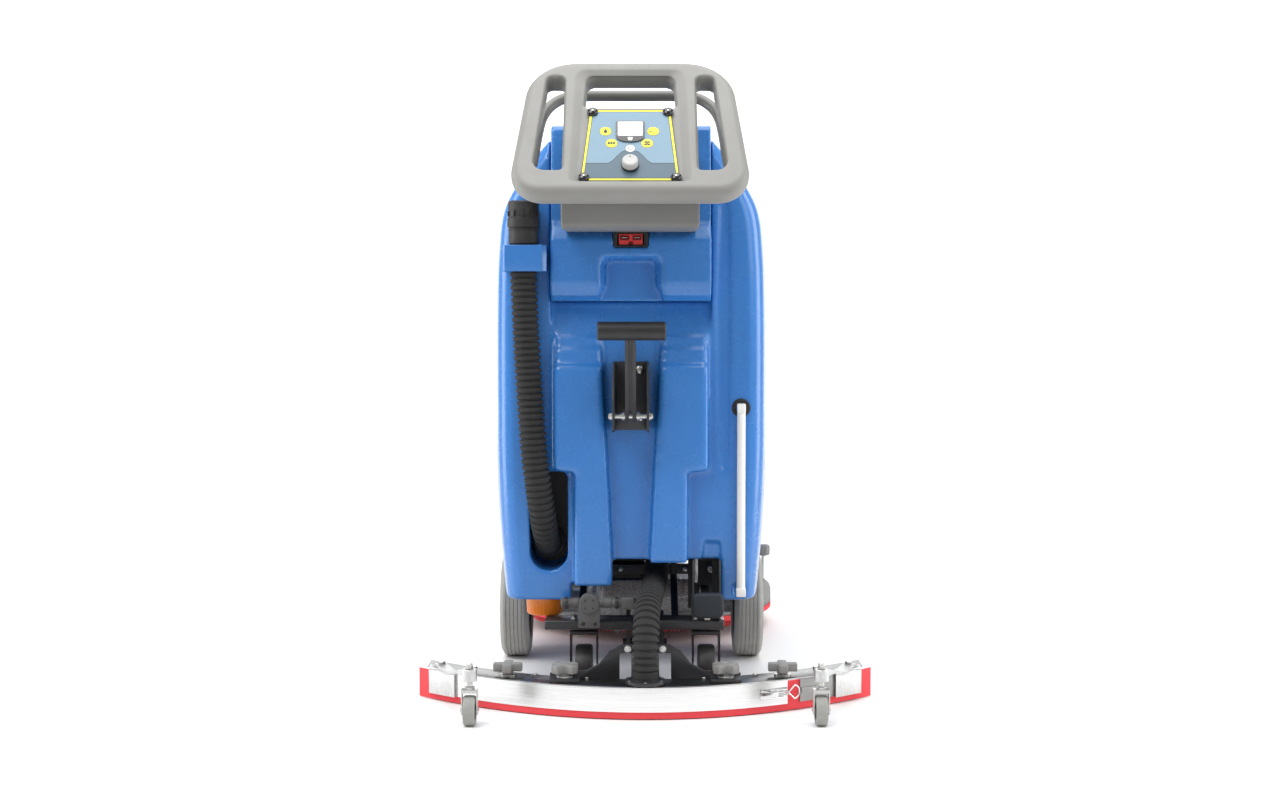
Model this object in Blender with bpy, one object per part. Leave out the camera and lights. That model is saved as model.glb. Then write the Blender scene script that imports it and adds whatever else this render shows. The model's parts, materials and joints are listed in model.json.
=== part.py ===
"""Walk-behind floor scrubber: tanks, console, drive, brush deck and squeegee.

Row frame: +X is the operator's right, +Y is forwards, +Z is up, and the floor is Z = 0.
The drive axle is the line Y = 0. The brush deck and the squeegee are centred on X = 0.
The body's centre plane is offset to X = BODY_X, so that the deck reaches the right edge.
"""
from math import atan2, cos, floor, pi, radians, sin

import bmesh
import bpy
from mathutils import Vector

# ---------------------------------------------------------------- driving dimensions (metres)
GAP = 0.0003               # between faces of separate pieces that touch
RUN = 0.001                # running clearance of pieces that turn

BODY_X = -0.025            # centre plane of the tanks and the console
BODY_HALF = 0.2523         # half width of the body at its widest
BODY_FRONT = 0.638         # front of the solution tank
CHEEK_Y = -0.375           # rear face of the body beside the columns
REAR_TAPER = 0.08          # share of its width that the body loses at the rear face
TAPER_Y = (-0.30, -0.22, -0.15)    # stations of that taper, the last is its start
COLUMN_Y = -0.41           # rear face of the two columns
TANK_FLOOR = 0.243         # underside of the solution tank
SKIRT_Z = 0.170            # lowest edge of the body at the rear
SKIRT_FRONT = -0.15        # where the rear skirts end, ahead of them are the wheels
TANK_SEAM = 0.60           # the recovery tank stands on the solution tank here
WALL = 0.008               # moulded tank wall

FILLER_Y = 0.548           # centre of the filler neck
FILLER_R = 0.034           # bore of the filler neck
PILLAR_FRONT = -0.262      # front of the rear pillars of the solution tank
PILLAR_TOP = 0.992
HOUSING_HALF = 0.1405      # rear housing between the pillars
HOUSING_Z = (0.70, 1.023)
HOUSING_FRONT = -0.266
GROOVE_BACK = -0.358       # back of the groove under the housing

RECOVERY_FRONT = 0.50      # foot of the recovery tank's front wall, above it is its hinge
RECOVERY_HINGE_RISE = 0.030    # the hinge stands this far above the seam, clear of the cap
RECOVERY_TOP = 0.965
LID_X = 0.135              # half width of the lid's opening
LID_Y = (-0.10, 0.30)
LID_LAP = 0.022            # the lid overlaps its opening by this
LID_THICK = 0.030

BATTERY = (0.165, 0.36, 0.27)
WELL_Y = (-0.235, 0.145)

WHEEL_R = 0.1025
WHEEL_WIDTH = 0.055
TRACK_OUTER = 0.511        # over the outer faces of the drive wheels

BEAM_Y = (-0.39, -0.33)
BEAM_Z = (0.119, 0.136)
BEAM_X = (-0.178, 0.140)
CASTER_X = 0.1085
CASTER_Y = -0.35
CASTER_R = 0.045
CASTER_WIDTH = 0.030
CASTER_TRAIL = 0.018

DECK_Y = 0.3787
COVER_R = 0.278
COVER_Z = (0.049, 0.108)
BRUSH_R = COVER_R - 0.016
BRUSH_BOTTOM = 0.030       # bristle tips with the deck raised
BRUSH_MOTOR_R = 0.072
BRUSH_MOTOR_TOP = 0.222
DECK_KNOB_X = COVER_R - 0.016

SQUEEGEE_HALF = 0.40       # half length of the rear blade
BOW_STEPS = 11             # stations of the bow on each side of its middle
SQUEEGEE_BACK = -0.57      # rear face of the blade at its middle
SQUEEGEE_SAG = 0.182       # how far the ends of the blade lie ahead of its middle
BLADE_THICK = 0.004
BLADE_Z = (0.0015, 0.052)
STRIP_THICK = 0.002
STRIP_Z = (0.013, 0.055)
STRIP_X = (-0.322, 0.243)
FRAME_DEPTH = 0.071
FRAME_Z = (0.020, 0.055)
FRAME_HALF = 0.385
INLET_Y = -0.545
INLET_R = 0.0245
INLET_TOP = 0.0665
SQUEEGEE_HOSE_R = 0.0225
ARM_PIVOT = (-0.30, 0.082)
KNOB_X = (0.137, 0.237)
END_CASTER = (0.29, -0.607)
END_WHEEL_R = 0.025
END_WHEEL_WIDTH = 0.020

LEVER_PIVOT = (-0.455, 0.502)
LEVER_TOP = (-0.560, 0.650)
T_HANDLE = (0.1144, 0.0158)
BRACKET_Z = (0.473, 0.594)
BRACKET_HALF = 0.0315

PEDAL_PIVOT = (-0.30, 0.175)
PEDAL_X = 0.1085
PEDAL_SIZE = (0.053, 0.018, 0.043)
PEDAL_BRACKET_HALF = 0.025

DRAIN_X = -0.2115
DRAIN_Y = -0.408
DRAIN_R = 0.0235
CUFF_R = 0.0268
CUFF_Z = (0.7986, 0.8737)
STRAP_Z = (0.7515, 0.797)
STRAP_WALL = 0.004
POCKET_X = (-0.204, -0.137)
POCKET_Z = (0.2228, 0.399)
POCKET_BACK = -0.270

CHARGER = (BODY_X, 0.807, 0.0305, 0.0130)    # centre X and Z, half sizes
LEVEL_X = 0.1695
LEVEL_R = 0.0079
LEVEL_Z = (0.178, 0.516)
FILTER_AT = (-0.181, -0.32)
FILTER_R = 0.0336
FILTER_Z = 0.137
LEFT_FOOT_Z = 0.2004       # lowest point of the left column
VALVE_AT = (-0.098, -0.408, 0.171)
VALVE_PIPE_R = 0.0095

CONSOLE_ORIGIN = (BODY_X, -0.634, 0.875)
CONSOLE_SLOPE = radians(51.0)
CONSOLE_HALF_THICK = 0.019
CONSOLE_BOTTOM_HALF = 0.192
CONSOLE_TOP_HALF = 0.162
CONSOLE_V = (-0.022, 0.285)
NECK_HALF = 0.113          # half width of the neck under the console
NECK_LOW = 0.8165          # its lowest edge
PANEL_FRAME_HALF = 0.111
PANEL_V = (0.010, 0.170)
PANEL_HALF = (0.080, 0.067)
PANEL_DEPTH = 0.007        # the panel lies this deep in the console
PANEL_THICK = 0.003
BUTTON_R = 0.0095
BUTTON_TRAVEL = 0.0015
BUTTON_PLACES = {
    "button_water": (-0.0405, 0.120),
    "button_battery": (-0.0306, 0.0927),
    "button_squeegee": (0.0376, 0.120),
    "button_vacuum": (0.0277, 0.0927),
    "button_power": (0.0, 0.081),
}
BUTTON_POWER_R = 0.0075
SPEED_KNOB = (0.0, 0.043, 0.0145)
BAIL_R = 0.0095
BAIL_PIVOT = (0.163, 0.085, -0.0300)

# Half width of the body by height: it is widest at mid height and domes in at the top.
BODY_PROFILE = (
    (SKIRT_Z, 0.931),
    (0.31, 0.978),
    (0.45, 1.0),
    (0.60, 1.0),
    (0.78, 0.985),
    (0.86, 0.945),
    (0.915, 0.83),
    (0.965, 0.68),
    (PILLAR_TOP, 0.575),
)

MATERIALS = {
    "body_blue": ((0.06, 0.20, 0.53), 0.30, 0.0),
    "console_grey": ((0.39, 0.39, 0.37), 0.50, 0.0),
    "trim_grey": ((0.22, 0.22, 0.21), 0.55, 0.0),
    "black_plastic": ((0.020, 0.020, 0.020), 0.50, 0.0),
    "frame_black": ((0.025, 0.027, 0.030), 0.45, 0.0),
    "steel": ((0.62, 0.62, 0.61), 0.28, 1.0),
    "cast_grey": ((0.30, 0.30, 0.29), 0.60, 0.6),
    "blade_red": ((0.75, 0.06, 0.07), 0.45, 0.0),
    "bristle_red": ((0.70, 0.05, 0.06), 0.70, 0.0),
    "tyre_grey": ((0.24, 0.24, 0.225), 0.75, 0.0),
    "cap_orange": ((0.80, 0.22, 0.02), 0.35, 0.0),
    "tube_white": ((0.80, 0.80, 0.78), 0.35, 0.0),
    "panel_blue": ((0.28, 0.47, 0.62), 0.40, 0.0),
    "display_black": ((0.012, 0.012, 0.012), 0.20, 0.0),
    "button_yellow": ((0.85, 0.80, 0.08), 0.45, 0.0),
    "button_white": ((0.85, 0.85, 0.85), 0.45, 0.0),
    "knob_silver": ((0.52, 0.51, 0.50), 0.35, 0.7),
    "pedal_blue": ((0.05, 0.065, 0.09), 0.55, 0.0),
    "battery_black": ((0.03, 0.03, 0.035), 0.55, 0.0),
}


# ---------------------------------------------------------------- tools
def clear_scene():
    for old in list(bpy.data.objects):
        bpy.data.objects.remove(old, do_unlink=True)


def material(name):
    found = bpy.data.materials.get(name)
    if found:
        return found
    colour, roughness, metallic = MATERIALS[name]
    made = bpy.data.materials.new(name)
    made.use_nodes = True
    shader = made.node_tree.nodes["Principled BSDF"]
    shader.inputs["Base Color"].default_value = (*colour, 1.0)
    shader.inputs["Roughness"].default_value = roughness
    shader.inputs["Metallic"].default_value = metallic
    return made


def joint_at(name, place):
    """An empty on a joint's axis; the pieces that move with the joint are its children."""
    empty = bpy.data.objects.new(name, None)
    empty.location = place
    empty.empty_display_size = 0.02
    bpy.context.scene.collection.objects.link(empty)
    return empty


def add(name, bm, finish, joint=None, smooth=radians(35)):
    """Turn a bmesh drawn in the row frame into an object, under its joint if it has one."""
    if joint is not None:
        bmesh.ops.translate(bm, vec=-joint.location, verts=bm.verts)
    bmesh.ops.remove_doubles(bm, verts=bm.verts, dist=1e-6)
    bmesh.ops.recalc_face_normals(bm, faces=bm.faces)
    mesh = bpy.data.meshes.new(name)
    bm.to_mesh(mesh)
    bm.free()
    mesh.materials.append(material(finish))
    mesh.shade_smooth()
    mesh.set_sharp_from_angle(angle=smooth)
    obj = bpy.data.objects.new(name, mesh)
    bpy.context.scene.collection.objects.link(obj)
    if joint is not None:
        obj.parent = joint
    return obj


def tool(name, bm, joint=None):
    """A hidden shape for a boolean."""
    obj = add(name, bm, "frame_black", joint)
    obj.hide_render = True
    obj.display_type = "WIRE"
    return obj


def boolean(target, other, operation):
    step = target.modifiers.new(operation.lower(), "BOOLEAN")
    step.operation = operation
    step.solver = "EXACT"
    step.object = other


def cut(target, bm, joint=None):
    boolean(target, tool(target.name + "_cut", bm, joint), "DIFFERENCE")


def fuse(target, bm, joint=None):
    boolean(target, tool(target.name + "_add", bm, joint), "UNION")


def loft(rings):
    """A closed solid through rings with the same number of points, capped at both ends."""
    bm = bmesh.new()
    loops = [[bm.verts.new(point) for point in ring] for ring in rings]
    count = len(rings[0])
    for lower, upper in zip(loops, loops[1:]):
        for i in range(count):
            j = (i + 1) % count
            bm.faces.new((lower[i], lower[j], upper[j], upper[i]))
    bm.faces.new(list(reversed(loops[0])))
    bm.faces.new(loops[-1])
    return bm


def prism(points, axis, low, high):
    """Extrude an outline along X (points are Y, Z), Y (points are X, Z) or Z (points are X, Y)."""
    place = {
        "X": lambda p, h: (h, p[0], p[1]),
        "Y": lambda p, h: (p[0], h, p[1]),
        "Z": lambda p, h: (p[0], p[1], h),
    }[axis]
    return loft([[place(p, h) for p in points] for h in (low, high)])


def box(x, y, z, bevel=0.0, segments=1):
    bm = prism([(x[0], y[0]), (x[1], y[0]), (x[1], y[1]), (x[0], y[1])], "Z", z[0], z[1])
    if bevel:
        bmesh.ops.bevel(bm, geom=list(bm.edges), offset=bevel, segments=segments,
                        affect="EDGES", profile=0.5, clamp_overlap=True)
    return bm


def turned(profile, centre, axis="Z", sides=24):
    """A turned solid: profile holds (radius, height) from one end to the other."""
    place = {
        "X": lambda r, a, h: (centre[0] + h, centre[1] + r * cos(a), centre[2] + r * sin(a)),
        "Y": lambda r, a, h: (centre[0] + r * cos(a), centre[1] + h, centre[2] + r * sin(a)),
        "Z": lambda r, a, h: (centre[0] + r * cos(a), centre[1] + r * sin(a), centre[2] + h),
    }[axis]
    rings = []
    for radius, height in profile:
        rings.append([place(radius, 2 * pi * i / sides, height) for i in range(sides)])
    return loft(rings)


def ring_solid(profile, centre, sides=32):
    """A turned ring about Z: profile is a closed loop of (radius, height)."""
    bm = bmesh.new()
    loops = []
    for i in range(sides):
        a = 2 * pi * i / sides
        loops.append([bm.verts.new((centre[0] + r * cos(a), centre[1] + r * sin(a), centre[2] + h))
                      for r, h in profile])
    count = len(profile)
    for k in range(sides):
        here = loops[k]
        there = loops[(k + 1) % sides]
        for i in range(count):
            j = (i + 1) % count
            bm.faces.new((here[i], there[i], there[j], here[j]))
    return bm


def arc(centre, radius, start, end, steps):
    """Points on an arc, angles in degrees."""
    points = []
    for i in range(steps + 1):
        a = radians(start + (end - start) * i / steps)
        points.append((centre[0] + radius * cos(a), centre[1] + radius * sin(a)))
    return points


def rounded(x0, x1, y0, y1, radii, steps=(4, 4, 4, 4)):
    """A rectangle with a radius at each corner, from the lower left one, counter-clockwise."""
    a, b, c, d = radii
    return (arc((x0 + a, y0 + a), a, 180, 270, steps[0])
            + arc((x1 - b, y0 + b), b, 270, 360, steps[1])
            + arc((x1 - c, y1 - c), c, 0, 90, steps[2])
            + arc((x0 + d, y1 - d), d, 90, 180, steps[3]))


def round_corners(points, radius, steps=4):
    """Replace each corner of a polygon by an arc of the given radius."""
    result = []
    count = len(points)
    for i in range(count):
        corner = Vector(points[i])
        back = (Vector(points[i - 1]) - corner).normalized()
        ahead = (Vector(points[(i + 1) % count]) - corner).normalized()
        r = radius[i] if isinstance(radius, (list, tuple)) else radius
        if r == 0:
            result.append(tuple(corner))
            continue
        half = back.angle(ahead) / 2
        middle = (back + ahead).normalized()
        centre = corner + middle * (r / sin(half))
        start = corner + back * (r * cos(half) / sin(half)) - centre
        end = corner + ahead * (r * cos(half) / sin(half)) - centre
        a0 = atan2(start.y, start.x)
        turn = (atan2(end.y, end.x) - a0 + pi) % (2 * pi) - pi
        for k in range(steps + 1):
            a = a0 + turn * k / steps
            result.append((centre.x + r * cos(a), centre.y + r * sin(a)))
    return result


def smooth_route(points, count):
    """Points read evenly from a Catmull-Rom curve through the route's own points."""
    route = [Vector(p) for p in points]
    route = [2 * route[0] - route[1]] + route + [2 * route[-1] - route[-2]]
    fine = []
    for i in range(1, len(route) - 2):
        p0, p1, p2, p3 = route[i - 1:i + 3]
        for k in range(20):
            t = k / 20
            fine.append(0.5 * ((2 * p1) + (p2 - p0) * t + (2 * p0 - 5 * p1 + 4 * p2 - p3) * t * t
                               + (3 * p1 - p0 - 3 * p2 + p3) * t ** 3))
    fine.append(route[-2])
    reach = [0.0]
    for a, b in zip(fine, fine[1:]):
        reach.append(reach[-1] + (b - a).length)
    result = []
    k = 0
    for i in range(count):
        want = reach[-1] * i / (count - 1)
        while k < len(reach) - 2 and reach[k + 1] < want:
            k += 1
        share = (want - reach[k]) / (reach[k + 1] - reach[k])
        result.append(fine[k].lerp(fine[k + 1], min(share, 1.0)))
    return result


def tube(name, points, radius, finish, joint=None, resolution=2):
    """A round tube with filled ends along the given points."""
    curve = bpy.data.curves.new(name, "CURVE")
    curve.dimensions = "3D"
    curve.bevel_depth = radius
    curve.bevel_resolution = resolution
    curve.use_fill_caps = True
    spline = curve.splines.new("POLY")
    spline.points.add(len(points) - 1)
    shift = joint.location if joint else Vector((0, 0, 0))
    for target, point in zip(spline.points, points):
        target.co = (*(Vector(point) - shift), 1.0)
    curve.materials.append(material(finish))
    obj = bpy.data.objects.new(name, curve)
    bpy.context.scene.collection.objects.link(obj)
    if joint:
        obj.parent = joint
    return obj


# ---------------------------------------------------------------- body
def body_share(z):
    """How wide the body is at a height, as a share of its greatest width."""
    for (z0, s0), (z1, s1) in zip(BODY_PROFILE, BODY_PROFILE[1:]):
        if z <= z1:
            return s0 + (s1 - s0) * max(0.0, (z - z0) / (z1 - z0))
    return BODY_PROFILE[-1][1]


def rear_taper(y):
    """The body narrows towards its rear face, on a curve that starts over the wheels."""
    return 1.0 - REAR_TAPER * max(0.0, (TAPER_Y[-1] - y) / (TAPER_Y[-1] - CHEEK_Y)) ** 2


def body_ring(z, rear, front, rear_radius=0.03, front_radius=0.19, inset=0.0):
    half = BODY_HALF * body_share(z) - inset
    front_radius = min(front_radius, half * 0.9)
    x0, x1 = BODY_X - half, BODY_X + half
    outline = rounded(x0, x1, rear + inset, front - inset,
                      (rear_radius, rear_radius, front_radius, front_radius), (3, 3, 5, 5))
    corner_points = 8
    between = [y for y in TAPER_Y if rear + inset + rear_radius < y < front - inset - front_radius]
    outline = (outline[:corner_points] + [(x1, y) for y in between] + outline[corner_points:]
               + [(x0, y) for y in reversed(between)])
    return [(BODY_X + (x - BODY_X) * rear_taper(y), y, z) for x, y in outline]


def front_at(z):
    """The solution tank's front leans back a little above the deck."""
    return BODY_FRONT - 0.05 * max(0.0, (z - 0.40)) / 0.20


def make_solution_tank():
    levels = (SKIRT_Z, 0.24, 0.31, 0.40, 0.50, TANK_SEAM)
    body = add("solution_tank", loft([body_ring(z, CHEEK_Y, front_at(z)) for z in levels]),
               "body_blue")
    upper = [z for z, _ in BODY_PROFILE if z > TANK_SEAM] + [TANK_SEAM - 0.02]
    rings = []
    for z in sorted(upper):
        rings.append(body_ring(z, CHEEK_Y, PILLAR_FRONT, front_radius=0.012))
    fuse(body, loft(rings))
    half = HOUSING_HALF + 0.001
    cut(body, box((BODY_X - half, BODY_X + half), (-0.45, GROOVE_BACK), (0.668, 1.1)))
    cut(body, box((BODY_X - half, BODY_X + half), (-0.45, -0.2), (HOUSING_Z[0] - GAP, 1.1)))
    for side in (-1, 1):
        fuse(body, rear_column(side))
    cut(body, box((-0.131, 0.134), (-0.50, 0.70), (0.10, TANK_FLOOR)))
    for side in (-1, 1):
        fuse(body, column_foot(side))
    cut(body, box((-0.40, 0.40), (SKIRT_FRONT, 0.70), (0.10, TANK_FLOOR)))
    water = tool("water_space", loft([body_ring(z, CHEEK_Y, front_at(z), 0.03, 0.18, WALL)
                                      for z in (TANK_FLOOR + WALL, 0.31, 0.40, 0.50,
                                                TANK_SEAM - WALL)]))
    well_half = BATTERY[0] + 0.010
    cut(water, box((BODY_X - well_half - WALL, BODY_X + well_half + WALL),
                   (WELL_Y[0] - WALL, WELL_Y[1] + WALL), (0.2, 0.7)))
    cut(water, box((POCKET_X[0] - WALL, POCKET_X[1] + WALL), (-0.5, POCKET_BACK + WALL),
                   (POCKET_Z[0] - WALL, POCKET_Z[1] + WALL)))
    boolean(body, water, "DIFFERENCE")
    cut(body, box((BODY_X - well_half, BODY_X + well_half), WELL_Y,
                  (TANK_FLOOR + WALL, 0.7)))
    pocket = rounded(POCKET_X[0], POCKET_X[1], POCKET_Z[0], POCKET_Z[1],
                     (0.032, 0.032, 0.012, 0.012), (4, 4, 2, 2))
    cut(body, prism(pocket, "Y", -0.5, POCKET_BACK))
    neck = [(FILLER_R, TANK_SEAM - 0.05), (FILLER_R, TANK_SEAM + 0.05)]
    cut(body, turned(neck, (BODY_X, FILLER_Y, 0.0), sides=20))


def column_x(side, z):
    """Inner and outer edge of a rear column at a height; side is -1 left, 1 right."""
    inner = 0.033 + 0.0167 * (z - 0.25) / 0.33
    outer = 0.136 if z > 0.402 else 0.100
    edges = (BODY_X + side * inner, BODY_X + side * outer)
    return min(edges), max(edges)


def rear_column(side):
    steps = ((TANK_FLOOR, 0.0), (0.401, 0.0), (0.4045, 0.0), (0.575, 0.0), (0.592, 0.012),
             (0.600, 0.014), (0.612, 0.016), (0.622, 0.022), (0.640, 0.026), (0.6675, 0.032))
    rings = []
    for z, back in steps:
        x0, x1 = column_x(side, z)
        outline = rounded(x0, x1, COLUMN_Y + back, CHEEK_Y + 0.05, (0.009, 0.009, 0.002, 0.002),
                          (2, 2, 1, 1))
        rings.append([(x, y, z) for x, y in outline])
    return loft(rings)


def column_foot(side):
    """The left column reaches lower than the right one."""
    low = LEFT_FOOT_Z if side < 0 else TANK_FLOOR - 0.002
    rings = []
    for z in (low, TANK_FLOOR + 0.004):
        x0, x1 = column_x(side, TANK_FLOOR)
        outline = rounded(x0, x1, COLUMN_Y, CHEEK_Y + 0.05, (0.009, 0.009, 0.002, 0.002),
                          (2, 2, 1, 1))
        rings.append([(x, y, z) for x, y in outline])
    return loft(rings)


def make_body_fittings():
    rim = FILLER_R + 0.012
    cap = turned([(rim - 0.002, 0.0), (rim, 0.003), (rim, 0.010), (rim - 0.006, 0.013)],
                 (BODY_X, FILLER_Y, TANK_SEAM + GAP), sides=20)
    add("filler_cap", cap, "black_plastic", joint_at("filler_axis", (BODY_X, FILLER_Y, 0.60)))
    top = SKIRT_Z - GAP
    fx, fy = FILTER_AT
    filter_axis = joint_at("filter_axis", (fx, fy, top))
    profile = [(FILTER_R - 0.006, FILTER_Z), (FILTER_R - 0.001, FILTER_Z + 0.004),
               (FILTER_R, FILTER_Z + 0.010), (FILTER_R, top)]
    add("filter_cap", turned(profile, (fx, fy, 0.0)), "cap_orange", filter_axis)
    make_level_tube()
    make_drain_hose()


def make_level_tube():
    y = CHEEK_Y - GAP - LEVEL_R
    gauge = add("level_tube", turned([(LEVEL_R, LEVEL_Z[0]), (LEVEL_R, LEVEL_Z[1] - 0.004)],
                                     (LEVEL_X, y, 0.0), sides=12), "tube_white")
    fuse(gauge, box((LEVEL_X - 0.0075, LEVEL_X + 0.0075), (y - 0.009, CHEEK_Y - 0.0065),
                    (LEVEL_Z[1] - 0.010, LEVEL_Z[1] + 0.008), 0.0015))
    fuse(gauge, turned([(0.0165, 0.0), (0.0165, -0.003), (0.0150, -0.0045)],
                       (LEVEL_X, CHEEK_Y - GAP, LEVEL_Z[1] - 0.002), "Y", 20))


def make_drain_hose():
    """The hose ends in a port at the back of the pocket, its cuff hangs in the strap."""
    place = (DRAIN_X, DRAIN_Y)
    route = [(*place, CUFF_Z[0] - GAP), (*place, 0.74), (-0.208, DRAIN_Y, 0.65),
             (-0.202, DRAIN_Y, 0.54), (-0.195, -0.4065, 0.44), (-0.188, -0.4030, 0.38),
             (-0.181, -0.3890, 0.325), (-0.1765, -0.3620, 0.286), (-0.1743, -0.3300, 0.268),
             (-0.1740, -0.2960, 0.2640), (-0.1740, POCKET_BACK - 0.0012, 0.2637)]
    tube("drain_hose", smooth_route(route, 18), DRAIN_R, "black_plastic")
    low, high = CUFF_Z
    profile = [(DRAIN_R, low), (CUFF_R - 0.001, low + 0.001), (CUFF_R - 0.001, low + 0.028),
               (CUFF_R + 0.0015, low + 0.030), (CUFF_R + 0.0015, low + 0.046),
               (CUFF_R - 0.001, low + 0.048), (CUFF_R, high - 0.016), (CUFF_R, high - 0.002),
               (CUFF_R - 0.003, high)]
    add("drain_cap", turned(profile, (*place, 0.0), sides=18), "black_plastic",
        joint_at("drain_cap_axis", (*place, low)))
    x0 = DRAIN_X - 0.036
    x1 = DRAIN_X + 0.041
    rear = DRAIN_Y - DRAIN_R - 0.002 - STRAP_WALL
    front = CHEEK_Y - GAP
    reach = 0.0045             # the outer leg follows the body's rounded edge
    outer = round_corners([(x0, rear), (x1, rear), (x1, front), (x0, front + reach)],
                          [0.006, 0.010, 0, 0], 2)
    strap = add("hose_strap", prism(outer, "Z", *STRAP_Z), "body_blue")
    inner = round_corners([(x0 + STRAP_WALL, rear + STRAP_WALL),
                           (x1 - STRAP_WALL, rear + STRAP_WALL), (x1 - STRAP_WALL, front + 0.01),
                           (x0 + STRAP_WALL, front + 0.01)], [0.004, 0.008, 0, 0], 2)
    cut(strap, prism(inner, "Z", STRAP_Z[0] - 0.01, STRAP_Z[1] + 0.01))


def make_rear_housing():
    """The fixed housing between the pillars; it holds the suction motor and the controls."""
    x0 = BODY_X - HOUSING_HALF
    x1 = BODY_X + HOUSING_HALF
    low, high = HOUSING_Z
    side = [(HOUSING_FRONT, low), (COLUMN_Y + 0.024, low), (COLUMN_Y + 0.004, low + 0.022),
            (COLUMN_Y, low + 0.036), (COLUMN_Y, low + 0.200), (COLUMN_Y + 0.035, high - 0.008),
            (COLUMN_Y + 0.043, high), (HOUSING_FRONT, high)]
    housing = add("rear_housing", prism(side, "X", x0, x1), "body_blue")
    cut(housing, box((x0 + WALL, x1 - WALL), (-0.362, -0.2), (low + WALL, high - WALL)))
    recess = round_corners([(BODY_X - 0.0435, low - 0.02), (BODY_X + 0.0435, low - 0.02),
                            (BODY_X + 0.0435, low + 0.0724), (BODY_X - 0.0435, low + 0.0724)],
                           [0, 0, 0.012, 0.012], 3)
    cut(housing, prism(recess, "Y", -0.5, -0.375))
    cx, cz, hx, hz = CHARGER
    cut(housing, box((cx - hx - GAP, cx + hx + GAP), (-0.5, COLUMN_Y + 0.030 + GAP),
                     (cz - hz - GAP, cz + hz + GAP)))
    profile = [(0.045, 0.0), (0.064, 0.010), (0.064, 0.050), (0.040, 0.060), (0.040, 0.080)]
    add("suction_motor", turned(profile, (BODY_X, -0.358, 0.91), "Y", 20), "battery_black")
    socket = add("charger_socket", box((cx - hx, cx + hx), (COLUMN_Y + 0.002, COLUMN_Y + 0.030),
                                       (cz - hz, cz + hz)), "black_plastic")
    for x in (cx - 0.0105, cx + 0.0105):
        cut(socket, box((x - 0.0075, x + 0.0075), (-0.5, COLUMN_Y + 0.016),
                        (cz - 0.002, cz + 0.007)))


# ---------------------------------------------------------------- recovery tank and lid
def recovery_front(z):
    return RECOVERY_FRONT - 0.16 * (z - TANK_SEAM)


def make_recovery_tank(tilt):
    low = TANK_SEAM + GAP
    rear = PILLAR_FRONT + 0.004
    levels = (low, 0.70, 0.78, 0.86, 0.915, 0.95, RECOVERY_TOP)

    def shell(z, inset):
        share = 0.97 if z > 0.94 else 0.988
        half_ring = body_ring(min(z, 0.93), rear, recovery_front(z), 0.03, 0.15, inset)
        return [(BODY_X + (x - BODY_X) * share, y, z) for x, y, _ in half_ring]

    tank = add("recovery_tank", loft([shell(z, 0.0) for z in levels]), "body_blue", tilt)
    inner = [z for z in levels if low + WALL < z < 0.945]
    inner = [low + WALL] + inner + [RECOVERY_TOP - WALL]
    cut(tank, loft([shell(z, WALL) for z in inner]), tilt)
    mouth = rounded(BODY_X - LID_X, BODY_X + LID_X, LID_Y[0], LID_Y[1], (0.03,) * 4, (3,) * 4)
    cut(tank, prism(mouth, "Z", RECOVERY_TOP - 0.05, RECOVERY_TOP + 0.05), tilt)


def lid_outline(lap):
    return rounded(BODY_X - LID_X - lap, BODY_X + LID_X + lap, LID_Y[0] - lap, LID_Y[1] + lap,
                   (0.03 + lap,) * 4, (3,) * 4)


def make_lid(hinge):
    base = RECOVERY_TOP + GAP
    rings = []
    for lap, z in ((LID_LAP, base), (LID_LAP, base + 0.014), (LID_LAP - 0.012, base + 0.024),
                   (-0.01, base + LID_THICK)):
        rings.append([(x, y, z) for x, y in lid_outline(lap)])
    add("tank_lid", loft(rings), "console_grey", hinge)


def make_batteries():
    wide, deep, tall = BATTERY
    y0 = WELL_Y[0] + 0.010
    z0 = TANK_FLOOR + WALL + GAP
    for name, side in (("battery_left", -1), ("battery_right", 1)):
        x = (BODY_X + side * 0.003, BODY_X + side * (0.003 + wide))
        case = add(name, box((min(x), max(x)), (y0, y0 + deep), (z0, z0 + tall), 0.004),
                   "battery_black")
        for y in (y0 + 0.05, y0 + deep - 0.05):
            fuse(case, turned([(0.009, -0.01), (0.009, 0.012)],
                              (BODY_X + side * (0.003 + wide / 2), y, z0 + tall), sides=10))


# ---------------------------------------------------------------- console
def on_console(u, v, n):
    """A point in the console's own plane: u across, v up the slope, n out towards the user."""
    x, y, z = CONSOLE_ORIGIN
    c = cos(CONSOLE_SLOPE)
    s = sin(CONSOLE_SLOPE)
    return Vector((x + u, y + v * c - n * s, z + v * s + n * c))


def console_prism(points, low, high):
    return loft([[on_console(u, v, n) for u, v in points] for n in (low, high)])


def console_outline(inset):
    v0, v1 = CONSOLE_V
    b = CONSOLE_BOTTOM_HALF - inset
    t = CONSOLE_TOP_HALF - inset
    corners = [(-b, v0 + inset), (b, v0 + inset), (t, v1 - inset), (-t, v1 - inset)]
    radii = [0.052 - inset, 0.052 - inset, 0.082 - inset, 0.082 - inset]
    return round_corners(corners, radii, 5)


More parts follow.
